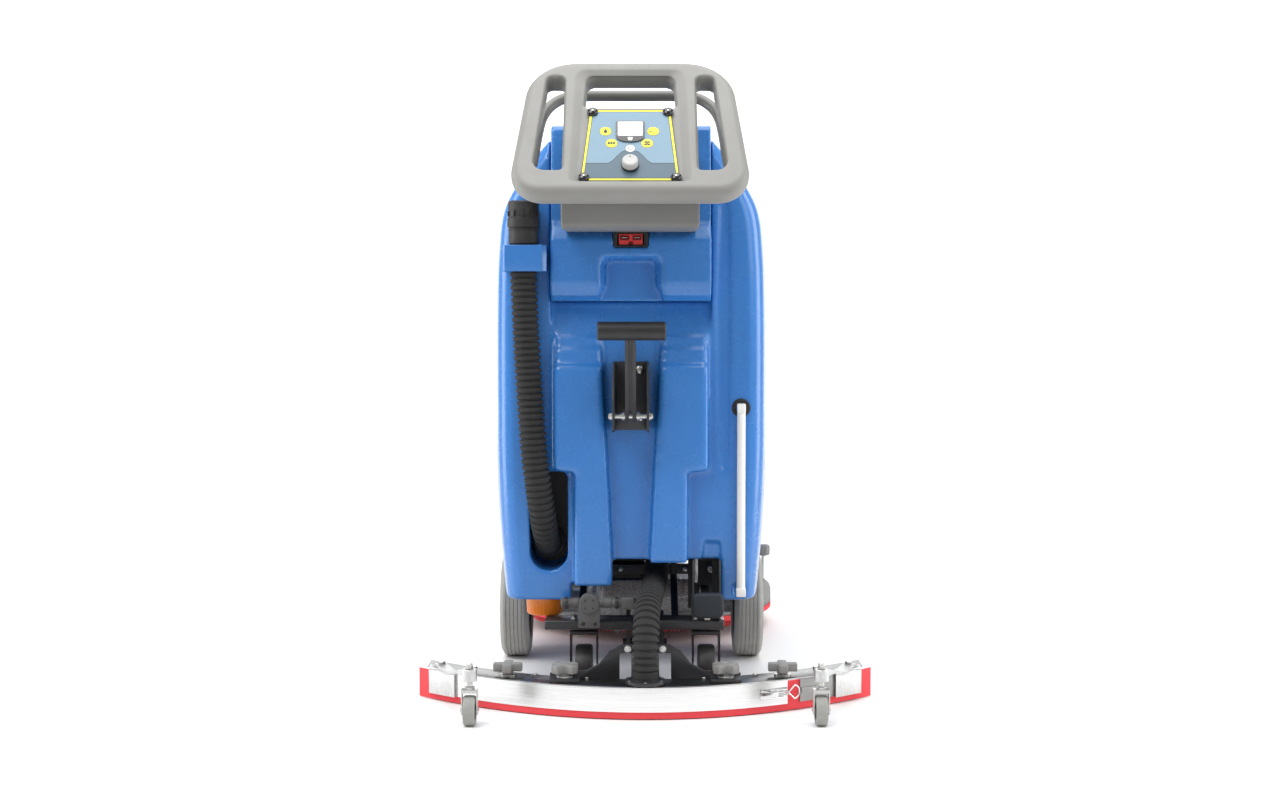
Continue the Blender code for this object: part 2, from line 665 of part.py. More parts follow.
def make_console():
    steps = ((-CONSOLE_HALF_THICK, 0.013), (-CONSOLE_HALF_THICK + 0.004, 0.0045),
             (-0.008, 0.0), (0.008, 0.0), (CONSOLE_HALF_THICK - 0.004, 0.0045),
             (CONSOLE_HALF_THICK, 0.013))
    rings = [[on_console(u, v, n) for u, v in console_outline(inset)] for n, inset in steps]
    console = add("console", loft(rings), "console_grey")
    deep = CONSOLE_HALF_THICK + 0.01
    for side in (-1, 1):
        slot = [(side * 0.151, 0.034), (side * PANEL_FRAME_HALF, 0.034),
                (side * PANEL_FRAME_HALF, 0.245), (side * 0.133, 0.245)]
        if side > 0:
            slot.reverse()
        radii = [0.018, 0.006, 0.008, 0.008]
        cut(console, console_prism(round_corners(slot, radii if side < 0 else radii[::-1], 3),
                                   -deep, deep))
    top = [(-0.076, 0.176), (0.076, 0.176), (0.072, 0.244), (-0.072, 0.244)]
    cut(console, console_prism(round_corners(top, [0.008, 0.008, 0.018, 0.018], 3), -deep, deep))
    b, t = PANEL_HALF
    v0, v1 = PANEL_V
    bed = CONSOLE_HALF_THICK - PANEL_DEPTH
    frame = [(-b - 0.004, v0 - 0.003), (b + 0.004, v0 - 0.003), (t + 0.004, v1 + 0.003),
             (-t - 0.004, v1 + 0.003)]
    cut(console, console_prism(frame, bed, deep))
    plate_at = bed + GAP
    plate = [(-b, v0), (b, v0), (t, v1), (-t, v1)]
    panel = add("control_panel", console_prism(plate, plate_at, plate_at + PANEL_THICK),
                "panel_blue")
    make_controls(console, panel, plate_at)


def console_pin(u, v, radius, low, high, sides=16, crown=0.0):
    """A round pin square to the console's plane."""
    profile = [(radius, low), (radius, high - crown)]
    if crown:
        profile.append((radius * 0.8, high))
    rings = []
    for r, n in profile:
        rings.append([on_console(u + r * cos(2 * pi * i / sides), v + r * sin(2 * pi * i / sides), n)
                      for i in range(sides)])
    return loft(rings)


def make_controls(console, panel, plate_at):
    face = plate_at + PANEL_THICK
    for name, (u, v) in BUTTON_PLACES.items():
        radius = BUTTON_POWER_R if name == "button_power" else BUTTON_R
        finish = "button_white" if name == "button_power" else "button_yellow"
        axis = joint_at(name + "_axis", on_console(u, v, face))
        low = plate_at - 0.003
        add(name, console_pin(u, v, radius, low, face + 0.0008), finish, axis)
        hole = radius + 0.0005
        cut(panel, console_pin(u, v, hole, plate_at - 0.01, face + 0.01))
        cut(console, console_pin(u, v, hole, low - BUTTON_TRAVEL - 0.001, face))
    u, v, radius = SPEED_KNOB
    axis = joint_at("speed_knob_axis", on_console(u, v, face))
    add("speed_knob", console_pin(u, v, radius, face + GAP, face + 0.016, 20, 0.004),
        "knob_silver", axis)
    window = round_corners([(-0.0165, 0.098), (0.0165, 0.098), (0.0235, 0.108), (0.0235, 0.143),
                            (-0.0235, 0.143), (-0.0235, 0.108)],
                           [0.006, 0.006, 0.004, 0.003, 0.003, 0.004], 2)
    add("display", console_prism(window, face + GAP, face + 0.0025), "display_black")


def make_neck():
    """The box that carries the console on the rear housing."""
    back = COLUMN_Y - GAP
    n_back = -CONSOLE_HALF_THICK - GAP
    low = on_console(0.0, 0.008, n_back)
    high = on_console(0.0, 0.165, n_back)
    side = [(low.y, low.z), (low.y + 0.010, NECK_LOW + 0.0055), (low.y + 0.025, NECK_LOW),
            (back, CHARGER[1] + CHARGER[3] + 2 * GAP), (back, high.z - 0.03)]
    if high.y < back:
        side.append((high.y, high.z))
    add("console_neck", prism(side, "X", BODY_X - NECK_HALF, BODY_X + NECK_HALF), "console_grey")


def make_bail():
    """A bent tube behind the console that the user's fingers pull to drive."""
    u, v, n = BAIL_PIVOT
    axis = joint_at("drive_bail_axis", on_console(0.0, v, n))
    route = []
    left = [(-u, v, n), (-u + 0.003, 0.12, -0.034), (-u + 0.006, 0.17, -0.044),
            (-u + 0.012, 0.22, -0.054), (-u + 0.026, 0.255, -0.0595), (-u + 0.052, 0.276, -0.061),
            (-0.07, 0.2805, -0.061), (0.0, 0.2805, -0.061)]
    route.extend(left)
    route.extend([(-a, b, c) for a, b, c in reversed(left[:-1])])
    points = smooth_route([on_console(*p) for p in route], 26)
    tube("drive_bail", points, BAIL_R, "console_grey", axis)


# ---------------------------------------------------------------- chassis and drive
def make_chassis():
    z0, z1 = BEAM_Z
    frame = add("chassis_frame", box(BEAM_X, BEAM_Y, BEAM_Z, 0.002), "frame_black")
    top = (TANK_FLOOR - GAP - 0.006, TANK_FLOOR - GAP)
    plate = [(-0.120, -0.20), (0.060, -0.20), (0.060, 0.10), (0.105, 0.22), (0.105, 0.52),
             (-0.105, 0.52), (-0.105, 0.22), (-0.120, 0.10)]
    fuse(frame, prism(plate, "Z", *top))
    for x in (-0.120, 0.048):
        side = [(BEAM_Y[1] - 0.01, z0 + 0.002), (-0.30, z0 + 0.002), (-0.155, 0.17),
                (-0.125, 0.20), (-0.125, top[1] - 0.001), (-0.20, top[1] - 0.001),
                (-0.20, 0.19), (BEAM_Y[1] - 0.01, z1 - 0.002)]
        fuse(frame, prism(side, "X", x, x + 0.012))
    hole = BRUSH_MOTOR_R + 0.012
    cut(frame, turned([(hole, 0.0), (hole, 0.05)], (0.0, DECK_Y, 0.22)))
    py, pz = ARM_PIVOT
    lug = [(BEAM_Y[1] - 0.01, z0 + 0.004), (BEAM_Y[1] + 0.004, z0 - 0.02), (py - 0.014, pz - 0.008),
           (py + 0.014, pz - 0.008), (py + 0.018, z0 + 0.018), (BEAM_Y[1] - 0.01, z1 - 0.004)]
    for x in (-0.034, 0.026):
        fuse(frame, prism(lug, "X", x, x + 0.008))
    bolt = turned([(0.006, -0.040), (0.006, 0.040)], (0.0, py, pz), "X", 10)
    fuse(frame, bolt)


def make_drive():
    z = WHEEL_R
    outer = TRACK_OUTER / 2
    inner = outer - WHEEL_WIDTH
    half = inner - 0.004
    case = [(0.022, -half), (0.022, -0.085), (0.050, -0.060), (0.062, -0.035), (0.062, 0.035),
            (0.050, 0.060), (0.022, 0.085), (0.022, half)]
    case = add("transaxle", turned(case, (BODY_X, 0.0, z + 0.004), "X", 20), "cast_grey")
    fuse(case, box((BODY_X - 0.05, BODY_X + 0.05), (-0.05, 0.05),
                   (z + 0.03, TANK_FLOOR - 0.006 - 2 * GAP)))
    motor = [(0.030, 0.0), (0.050, 0.006), (0.050, 0.105), (0.038, 0.118)]
    add("drive_motor", turned(motor, (BODY_X - 0.012, -0.0645 - 0.118, 0.176), "Y", 20),
        "cast_grey")
    for name, side in (("left", -1), ("right", 1)):
        axis = joint_at("drive_wheel_%s_axis" % name, (BODY_X + side * (inner + outer) / 2, 0.0, z))
        make_wheel("drive_wheel_" + name, axis, side)


def make_wheel(name, axis, side):
    """A moulded wheel: chamfered tread and dished sides, open to the stub of the transaxle."""
    h = WHEEL_WIDTH / 2
    hub = 0.055
    x = axis.location.x
    profile = [(0.016, -h * 0.55), (hub, -h * 0.55), (hub + 0.008, -h), (WHEEL_R - 0.010, -h),
               (WHEEL_R, -h + 0.007), (WHEEL_R, h - 0.007), (WHEEL_R - 0.010, h),
               (hub + 0.008, h), (hub, h * 0.55), (0.016, h * 0.55)]
    add(name, turned(profile, (x, 0.0, WHEEL_R), "X", 32), "tyre_grey", axis)


def make_caster(name, x, fork_top):
    """A swivel caster under the rear beam, its wheel trailing behind the pivot."""
    swivel = joint_at(name + "_swivel_axis", (x, CASTER_Y, fork_top))
    hub_y = CASTER_Y - CASTER_TRAIL
    w = CASTER_WIDTH / 2 + 0.007
    t = 0.003
    crown = 2 * CASTER_R + 0.014
    u_shape = [(x - w - t, CASTER_R - 0.012), (x - w, CASTER_R - 0.012), (x - w, crown),
               (x + w, crown), (x + w, CASTER_R - 0.012), (x + w + t, CASTER_R - 0.012),
               (x + w + t, fork_top - 0.004), (x - w - t, fork_top - 0.004)]
    fork = add(name + "_fork", prism(u_shape, "Y", hub_y - 0.014, hub_y + 0.030), "frame_black",
               swivel)
    fuse(fork, turned([(0.020, crown + 0.002), (0.020, fork_top)], (x, CASTER_Y, 0.0), sides=16),
         swivel)
    pin = [(0.004, -w - t - 0.003), (0.004, w + t + 0.003)]
    fuse(fork, turned(pin, (x, hub_y, CASTER_R), "X", 10), swivel)
    axle = joint_at(name + "_wheel_axis", (x, hub_y, CASTER_R))
    r = CASTER_R
    h = CASTER_WIDTH / 2
    tyre = [(r - 0.004, -h), (r, -h + 0.004), (r, h - 0.004), (r - 0.004, h)]
    wheel = add(name + "_wheel", turned(tyre, (x, hub_y, r), "X", 24), "black_plastic", axle)
    cut(wheel, turned([(0.0045, -0.05), (0.0045, 0.05)], (x, hub_y, r), "X", 10), axle)


def make_pedal():
    """The deck's foot lever and the channel that it swings in."""
    w = PEDAL_BRACKET_HALF
    t = 0.003
    y0 = -0.396
    y1 = -0.330
    x = PEDAL_X
    outline = [(x - w, y0), (x - w + t, y0), (x - w + t, y1 - t), (x + w - t, y1 - t),
               (x + w - t, y0), (x + w, y0), (x + w, y1), (x - w, y1)]
    bracket = add("pedal_bracket", prism(outline, "Z", BEAM_Z[1] + GAP, TANK_FLOOR - GAP),
                  "frame_black")
    py, pz = PEDAL_PIVOT
    cut(bracket, box((x - 0.012, x + 0.012), (-0.345, -0.32), (0.145, 0.235)))
    axis = joint_at("pedal_axis", (x, py, pz))
    wide, deep, tall = PEDAL_SIZE
    pad_y = -0.462
    arm = [(py + 0.012, pz - 0.010), (py + 0.012, pz + 0.010), (py - 0.008, pz + 0.012),
           (pad_y + 0.02, pz + 0.006), (pad_y + 0.004, pz + 0.006), (pad_y + 0.004, pz - 0.008),
           (pad_y + 0.02, pz - 0.008)]
    pedal = add("deck_pedal", prism(arm, "X", x - 0.007, x + 0.007), "pedal_blue", axis)
    pad = round_corners([(x - wide / 2, pz - tall / 2), (x + wide / 2, pz - tall / 2),
                         (x + wide / 2, pz + tall / 2), (x - wide / 2, pz + tall / 2)], 0.010, 3)
    fuse(pedal, prism(pad, "Y", pad_y - deep / 2, pad_y + deep / 2), axis)


def make_valve():
    """The water valve with its pipe, across the back of the rear beam."""
    x, y, z = VALVE_AT
    r = VALVE_PIPE_R
    pipe = [(r * 0.8, -0.050), (r, -0.046), (r, -0.020), (r * 0.85, -0.018), (r * 0.85, 0.028),
            (r, 0.030), (r, 0.058), (r * 0.8, 0.062)]
    valve = add("water_valve", turned(pipe, (x, y, z), "X", 12), "trim_grey")
    fuse(valve, turned([(0.0175, -0.016), (0.0175, 0.014)], (x, y, z), "Y", 18))
    fuse(valve, box((x - 0.019, x + 0.019), (y - 0.012, y + 0.0135), (z - 0.043, z), 0.001))
    fuse(valve, box((x + 0.056, x + 0.080), (y - 0.011, y + 0.011), (z - 0.011, z + 0.011), 0.002))


# ---------------------------------------------------------------- brush deck
def make_deck(lift):
    z0, z1 = COVER_Z
    c = (0.0, DECK_Y, 0.0)
    r = COVER_R
    shell = [(r - 0.008, z0), (r, z0), (r, z0 + 0.030), (r - 0.012, z0 + 0.044),
             (r - 0.050, z1 - 0.010), (0.12, z1 - 0.010), (0.10, z1), (0.030, z1),
             (0.030, z1 - 0.008), (r - 0.060, z1 - 0.016), (r - 0.022, z0 + 0.038),
             (r - 0.008, z0 + 0.024)]
    add("deck_cover", ring_solid(shell, c, 40), "trim_grey", lift)
    skirt = [(r - 0.010, z0 - GAP), (r - 0.010, z0 - 0.011), (r - 0.001, z0 - 0.011),
             (r, z0 - 0.006), (r, z0 - GAP)]
    add("deck_skirt", ring_solid(skirt, c, 40), "blade_red", lift)
    motor = [(0.060, z1 + GAP), (BRUSH_MOTOR_R, z1 + 0.006), (BRUSH_MOTOR_R, BRUSH_MOTOR_TOP - 0.01),
             (0.055, BRUSH_MOTOR_TOP)]
    add("brush_motor", turned(motor, c, sides=24), "cast_grey", lift)
    knob_axis = joint_at("deck_knob_axis", (DECK_KNOB_X, DECK_Y, 0.09))
    rod = turned([(0.004, z0 + 0.0485), (0.004, 0.146), (0.0125, 0.146), (0.0145, 0.150),
                  (0.0145, 0.165), (0.0125, 0.169)], (DECK_KNOB_X, DECK_Y, 0.0), sides=12)
    add("deck_knob", rod, "trim_grey", knob_axis)
    spin = joint_at("brush_axis", (0.0, DECK_Y, 0.0))
    plate_z = z0 + 0.006
    plate = [(0.10, plate_z), (0.10, BRUSH_BOTTOM), (BRUSH_R - 0.010, BRUSH_BOTTOM),
             (BRUSH_R, BRUSH_BOTTOM + 0.008), (BRUSH_R - 0.006, plate_z),
             (BRUSH_R - 0.010, plate_z + 0.010), (0.060, plate_z + 0.010),
             (0.025, plate_z + 0.030), (0.025, z1 - 0.004)]
    add("scrub_brush", turned(plate, c, sides=36), "bristle_red", spin)


# ---------------------------------------------------------------- squeegee
def squeegee_y(x):
    """The rear face of the blade: a shallow bow with its ends ahead of its middle."""
    return SQUEEGEE_BACK + SQUEEGEE_SAG * (x / SQUEEGEE_HALF) ** 2


def bow_y(x):
    """The bow between its stations, which every bar along it shares."""
    step = SQUEEGEE_HALF / BOW_STEPS
    low = floor(x / step + 1e-6) * step
    share = (x - low) / step
    return squeegee_y(low) * (1 - share) + squeegee_y(low + step) * share


def bow(x0, x1, back, front, z):
    """A bar that follows the squeegee's bow, from back to front behind the blade's face."""
    stations = [SQUEEGEE_HALF * i / BOW_STEPS for i in range(-BOW_STEPS, BOW_STEPS + 1)]
    xs = [x0] + [x for x in stations if x0 + 0.002 < x < x1 - 0.002] + [x1]
    outline = [(x, bow_y(x) + back) for x in xs]
    outline = outline + [(x, bow_y(x) + front) for x in reversed(xs)]
    return prism(outline, "Z", *z)


def make_squeegee(swivel):
    front = BLADE_THICK + GAP
    body = add("squeegee_body", bow(-FRAME_HALF, FRAME_HALF, front, FRAME_DEPTH, FRAME_Z),
               "steel", swivel)
    fuse(body, turned([(INLET_R, FRAME_Z[1] - 0.002), (INLET_R, INLET_TOP)],
                      (0.0, INLET_Y, 0.0), sides=20), swivel)
    add("rear_blade", bow(-SQUEEGEE_HALF, SQUEEGEE_HALF, 0.0, BLADE_THICK, BLADE_Z),
        "blade_red", swivel)
    add("front_blade", bow(-0.36, 0.36, FRAME_DEPTH + GAP, FRAME_DEPTH + GAP + BLADE_THICK,
                           BLADE_Z), "blade_red", swivel)
    x0, x1 = STRIP_X
    add("blade_strip", bow(x0, x1, -STRIP_THICK - GAP, -GAP, STRIP_Z), "steel", swivel)
    for side in (-1, 1):
        xs = sorted((side * 0.331, side * 0.378))
        fuse(body, bow(*xs, -0.008, -GAP, (0.012, 0.058)), swivel)
        fuse(body, bow(*xs, -0.008, 0.020, (BLADE_Z[1] + GAP, 0.058)), swivel)
    names = ("squeegee_caster_left", "squeegee_caster_right")
    for name, side in zip(names, (-1, 1)):
        make_end_caster(name, side, body, swivel)
    make_latch()
    make_squeegee_bracket(swivel)
    for i, k in enumerate(KNOB_X):
        for end, side in (("left", -1), ("right", 1)):
            base = FRAME_Z[1] + GAP + (0.0063 if i == 0 else 0.0)
            name = "%s_knob_%s" % (("inner", "outer")[i], end)
            cross_knob(name, side * k, squeegee_y(k) + 0.035, base)


def make_latch():
    """The over-centre latch that pulls the blade strip tight, hooked on an eye."""
    x = STRIP_X[1] + 0.004
    axis = joint_at("strip_latch_axis", (x, squeegee_y(x) - 0.008, 0.034))
    add("strip_latch", bow(x - 0.002, x + 0.050, -0.011, -0.003, (0.028, 0.040)), "steel", axis)


def cross_knob(name, x, y, base):
    """A four-lobed hand knob on its stud."""
    axis = joint_at(name + "_axis", (x, y, base))
    lobes = []
    for i in range(16):
        a = 2 * pi * (i + 0.5) / 16
        r = 0.0245 if i % 4 in (0, 3) else 0.0125
        lobes.append((x + r * cos(a), y + r * sin(a)))
    knob = add(name, prism(lobes, "Z", base + 0.008, base + 0.022), "trim_grey", axis)
    fuse(knob, turned([(0.011, base), (0.011, base + 0.010)], (x, y, 0.0), sides=12), axis)


def make_squeegee_bracket(swivel):
    """The winged carrier that the front knobs clamp to the squeegee; it arches over the arm."""
    y = (-0.502, -0.494)
    k = KNOB_X[0]
    carrier = add("squeegee_bracket", prism(wing_outline(), "Y", *y), "frame_black", swivel)
    for side in (-1, 1):
        x = side * k
        fuse(carrier, box((min(x - 0.026, x + 0.026), max(x - 0.026, x + 0.026)),
                          (squeegee_y(k) + 0.012, squeegee_y(k) + 0.056), (0.0553, 0.0613)), swivel)


def wing_outline():
    k = KNOB_X[0] + 0.026
    right = [(0.0, 0.114), (0.040, 0.114), (0.060, 0.104), (0.078, 0.082), (0.100, 0.070),
             (k, 0.0655), (k, 0.0553), (0.044, 0.0553), (0.044, 0.100), (0.0, 0.100)]
    left = [(-x, z) for x, z in reversed(right[1:-1])]
    return right + left


def make_squeegee_arm(lift):
    """The arm that carries the squeegee; its ring turns about the suction inlet."""
    py, pz = ARM_PIVOT
    low = FRAME_Z[1] + 0.0025
    high = low + 0.006
    side = [(py + 0.013, pz - 0.006), (py + 0.013, pz + 0.008), (-0.455, pz + 0.008),
            (-0.476, high + 0.002), (-0.486, high), (INLET_Y + 0.025, high),
            (INLET_Y + 0.025, low), (-0.480, low), (-0.462, pz - 0.004), (-0.440, pz - 0.001)]
    arm = add("squeegee_arm", prism(side, "X", -0.024, 0.024), "frame_black", lift)
    fuse(arm, turned([(0.0345, low), (0.0345, high)], (0.0, INLET_Y, 0.0), sides=28), lift)
    cut(arm, turned([(INLET_R + RUN, 0.03), (INLET_R + RUN, 0.09)], (0.0, INLET_Y, 0.0),
                    sides=28), lift)
    cut(arm, turned([(0.006 + RUN, -0.05), (0.006 + RUN, 0.05)], (0.0, py, pz), "X", 12), lift)


def make_end_caster(name, side, body, swivel):
    """A small caster on a bar behind each end of the squeegee."""
    x = side * END_CASTER[0]
    y = END_CASTER[1]
    foot_x = side * 0.357
    foot_y = squeegee_y(0.357) + 0.030
    bar_z = (0.080, 0.087)
    along = Vector((x - foot_x, y - foot_y)).normalized() * 0.011
    across = Vector((-along.y, along.x))
    start = Vector((foot_x, foot_y)) - along
    end = Vector((x, y))
    bar = [tuple(start + across), tuple(start - across), tuple(end - across),
           tuple(end + across)]
    fuse(body, prism(bar, "Z", *bar_z), swivel)
    fuse(body, box((foot_x - 0.010, foot_x + 0.010), (foot_y - 0.010, foot_y + 0.010),
                   (FRAME_Z[1] - 0.004, bar_z[1] - 0.002)), swivel)
    fuse(body, turned([(0.0125, 0.074), (0.0125, 0.094)], (x, y, 0.0), sides=14), swivel)
    cut(body, turned([(0.005 + RUN, 0.06), (0.005 + RUN, 0.12)], (x, y, 0.0), sides=14), swivel)
    turn = joint_at(name + "_swivel_axis", (x, y, 0.08))
    w = END_WHEEL_WIDTH / 2 + 0.0015
    t = 0.002
    crown = 2 * END_WHEEL_R + 0.005
    top = crown + 0.006
    u_shape = [(x - w - t, 0.018), (x - w, 0.018), (x - w, crown), (x + w, crown),
               (x + w, 0.018), (x + w + t, 0.018), (x + w + t, top), (x - w - t, top)]
    fork = add(name + "_fork", prism(u_shape, "Y", y - 0.009, y + 0.009), "steel", turn)
    fuse(fork, turned([(0.005, top - 0.002), (0.005, 0.102), (0.004, 0.104)], (x, y, 0.0),
                      sides=12), turn)
    fuse(fork, turned([(0.009, top - 0.001), (0.009, top + 0.006)], (x, y, 0.0), sides=6), turn)
    pin = [(0.003, -w - t - 0.002), (0.003, w + t + 0.002)]
    fuse(fork, turned(pin, (x, y, END_WHEEL_R), "X", 8), turn)
    axle = joint_at(name + "_wheel_axis", (x, y, END_WHEEL_R))
    r = END_WHEEL_R
    h = END_WHEEL_WIDTH / 2
    tyre = [(r - 0.003, -h), (r, -h + 0.003), (r, h - 0.003), (r - 0.003, h)]
    wheel = add(name + "_wheel", turned(tyre, (x, y, r), "X", 20), "tyre_grey", axle)
    cut(wheel, turned([(0.0035, -0.05), (0.0035, 0.05)], (x, y, r), "X", 8), axle)


def make_squeegee_hose():
    """The suction hose rises from the inlet, passes over the rear beam and enters the body."""
    route = [(0.0, INLET_Y, INLET_TOP + GAP), (0.0, INLET_Y, 0.095), (0.0005, -0.5405, 0.128),
             (0.002, -0.5220, 0.158), (0.005, -0.4850, 0.178), (0.010, -0.4300, 0.186),
             (0.014, -0.3650, 0.188), (0.018, -0.3050, 0.193), (0.0205, -0.2665, 0.205),
             (0.0207, -0.2580, 0.225), (0.0207, -0.2578, TANK_FLOOR - 0.0025)]
    tube("squeegee_hose", smooth_route(route, 16), SQUEEGEE_HOSE_R, "black_plastic")


# ---------------------------------------------------------------- squeegee lever
def make_lever():
    """A T-handled lever in a channel on the body's back plate; it lifts the squeegee."""
    py, pz = LEVER_PIVOT
    ty, tz = LEVER_TOP
    w = BRACKET_HALF
    t = 0.004
    back = CHEEK_Y - GAP
    outline = [(BODY_X - w, py - 0.016), (BODY_X - w + t, py - 0.016), (BODY_X - w + t, back - t),
               (BODY_X + w - t, back - t), (BODY_X + w - t, py - 0.016), (BODY_X + w, py - 0.016),
               (BODY_X + w, back), (BODY_X - w, back)]
    bracket = add("lever_bracket", prism(outline, "Z", *BRACKET_Z), "frame_black")
    pin = [(0.005, -0.036), (0.005, 0.036)]
    fuse(bracket, turned(pin, (BODY_X, py, pz), "X", 10))
    axis = joint_at("lift_lever_axis", (BODY_X, py, pz))
    lean = Vector((ty - py, tz - pz))
    along = lean.normalized()
    across = Vector((-along.y, along.x)) * 0.008
    foot = Vector((py, pz)) - along * 0.013
    top = Vector((ty, tz))
    side = [tuple(foot + across), tuple(top + across), tuple(top - across), tuple(foot - across)]
    lever = add("lift_lever", prism(side, "X", BODY_X - 0.0095, BODY_X + 0.0095), "frame_black",
                axis)
    length, radius = T_HANDLE
    grip = [(radius - 0.003, -length / 2), (radius, -length / 2 + 0.003),
            (radius, length / 2 - 0.003), (radius - 0.003, length / 2)]
    fuse(lever, turned(grip, (BODY_X + 0.002, ty, tz), "X", 18), axis)
    cut(lever, turned([(0.005 + RUN, -0.05), (0.005 + RUN, 0.05)], (BODY_X, py, pz), "X", 10),
        axis)


def main():
    clear_scene()
    make_solution_tank()
    make_body_fittings()
    make_rear_housing()
    hinge_z = TANK_SEAM + RECOVERY_HINGE_RISE
    tilt = joint_at("recovery_tilt_axis", (BODY_X, RECOVERY_FRONT, hinge_z))
    make_recovery_tank(tilt)
    lid_z = RECOVERY_TOP + GAP
    make_lid(joint_at("tank_lid_axis", (BODY_X, LID_Y[0] - LID_LAP, lid_z)))
    make_batteries()
    make_console()
    make_neck()
    make_bail()
    make_chassis()
    make_drive()
    fork_top = BEAM_Z[0] - GAP
    make_caster("caster_left", -CASTER_X, fork_top)
    make_caster("caster_right", CASTER_X, fork_top)
    make_pedal()
    make_valve()
    make_deck(joint_at("deck_lift_axis", (0.0, DECK_Y, COVER_Z[1])))
    arm_lift = joint_at("squeegee_lift_axis", (0.0, *ARM_PIVOT))
    make_squeegee_arm(arm_lift)
    swivel = joint_at("squeegee_swivel_axis", (0.0, INLET_Y, INLET_TOP))
    make_squeegee(swivel)
    make_squeegee_hose()
    make_lever()


main()
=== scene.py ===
"""Walk-behind floor scrubber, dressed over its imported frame.

Every length is in metres, in the frame's own axes: +X is the operator's right, +Y is forwards
and +Z is up. Pieces that take a frame node's place keep its outline and add what moulds,
presses and brushes leave on it. Each group of pieces has its own operator.
"""
import json
from math import atan2, cos, pi, radians, sin

import bmesh
import bpy
from bpy.props import FloatProperty, FloatVectorProperty, IntProperty, PointerProperty
from bpy.types import Operator, Panel, PropertyGroup
from mathutils import Euler, Matrix, Vector


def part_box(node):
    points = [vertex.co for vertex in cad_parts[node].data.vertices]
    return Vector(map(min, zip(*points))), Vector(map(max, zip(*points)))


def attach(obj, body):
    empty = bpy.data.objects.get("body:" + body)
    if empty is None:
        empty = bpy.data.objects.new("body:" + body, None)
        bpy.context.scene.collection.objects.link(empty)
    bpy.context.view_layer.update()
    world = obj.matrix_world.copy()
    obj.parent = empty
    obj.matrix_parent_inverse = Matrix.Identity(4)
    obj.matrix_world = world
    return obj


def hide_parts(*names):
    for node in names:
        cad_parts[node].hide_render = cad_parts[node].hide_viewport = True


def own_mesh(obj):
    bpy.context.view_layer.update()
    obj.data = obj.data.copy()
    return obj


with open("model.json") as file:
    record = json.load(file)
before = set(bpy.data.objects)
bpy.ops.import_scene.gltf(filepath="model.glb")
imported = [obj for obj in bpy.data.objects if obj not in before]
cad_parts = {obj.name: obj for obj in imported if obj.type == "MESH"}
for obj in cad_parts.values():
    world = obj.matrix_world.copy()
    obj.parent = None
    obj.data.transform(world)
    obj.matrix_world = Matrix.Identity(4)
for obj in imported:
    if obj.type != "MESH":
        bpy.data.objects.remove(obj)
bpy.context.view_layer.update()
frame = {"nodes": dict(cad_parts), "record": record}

bl_info = {
    "name": "Floor scrubber dressing",
    "version": (1, 0, 0),
    "blender": (4, 5, 0),
    "location": "3D View > Sidebar > Scrubber",
    "description": "Builds the visible pieces and finishes of a walk-behind floor scrubber",
    "category": "Object",
}

RECORD = frame["record"]
BODY_OF = {node: body for body, nodes in RECORD["behaviour"]["bodies"].items() for node in nodes}
JOINTS = {joint["name"]: joint for joint in RECORD["behaviour"]["joints"]}

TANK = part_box("solution_tank")
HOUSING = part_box("rear_housing")
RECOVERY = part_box("recovery_tank")
MIDDLE = (TANK[0].x + TANK[1].x) / 2       # centre plane of the tanks and the console
HALF = (TANK[1].x - TANK[0].x) / 2         # half width of the body at its widest


# ------------------------------------------------------------------ settings
class ScrubberColours(PropertyGroup):
    """The colours that an owner would order the machine in."""

    body: FloatVectorProperty(
        name="Tank colour", description="Moulded tanks, rear housing and hose strap",
        subtype="COLOR", size=3, min=0, max=1, default=(0.033, 0.180, 0.520))
    shell: FloatVectorProperty(
        name="Console colour", description="Console ring, its neck, the bail and the tank lid",
        subtype="COLOR", size=3, min=0, max=1, default=(0.235, 0.233, 0.221))
    trim: FloatVectorProperty(
        name="Trim colour", description="Deck cover, hand knobs and, darker, the water valve",
        subtype="COLOR", size=3, min=0, max=1, default=(0.115, 0.115, 0.113))
    rubber: FloatVectorProperty(
        name="Blade colour", description="Squeegee blades, splash skirt and scrub bristles",
        subtype="COLOR", size=3, min=0, max=1, default=(0.980, 0.150, 0.160))
    tyre: FloatVectorProperty(
        name="Tyre colour", description="Non-marking drive wheels and squeegee casters",
        subtype="COLOR", size=3, min=0, max=1, default=(0.300, 0.300, 0.280))
    cap: FloatVectorProperty(
        name="Filter cap colour", description="Cap of the solution filter",
        subtype="COLOR", size=3, min=0, max=1, default=(0.980, 0.320, 0.060))
    field: FloatVectorProperty(
        name="Panel colour", description="Printed field of the control panel",
        subtype="COLOR", size=3, min=0, max=1, default=(0.165, 0.275, 0.365))
    field_low: FloatVectorProperty(
        name="Panel band colour", description="Darker lower band of the control panel",
        subtype="COLOR", size=3, min=0, max=1, default=(0.060, 0.110, 0.148))


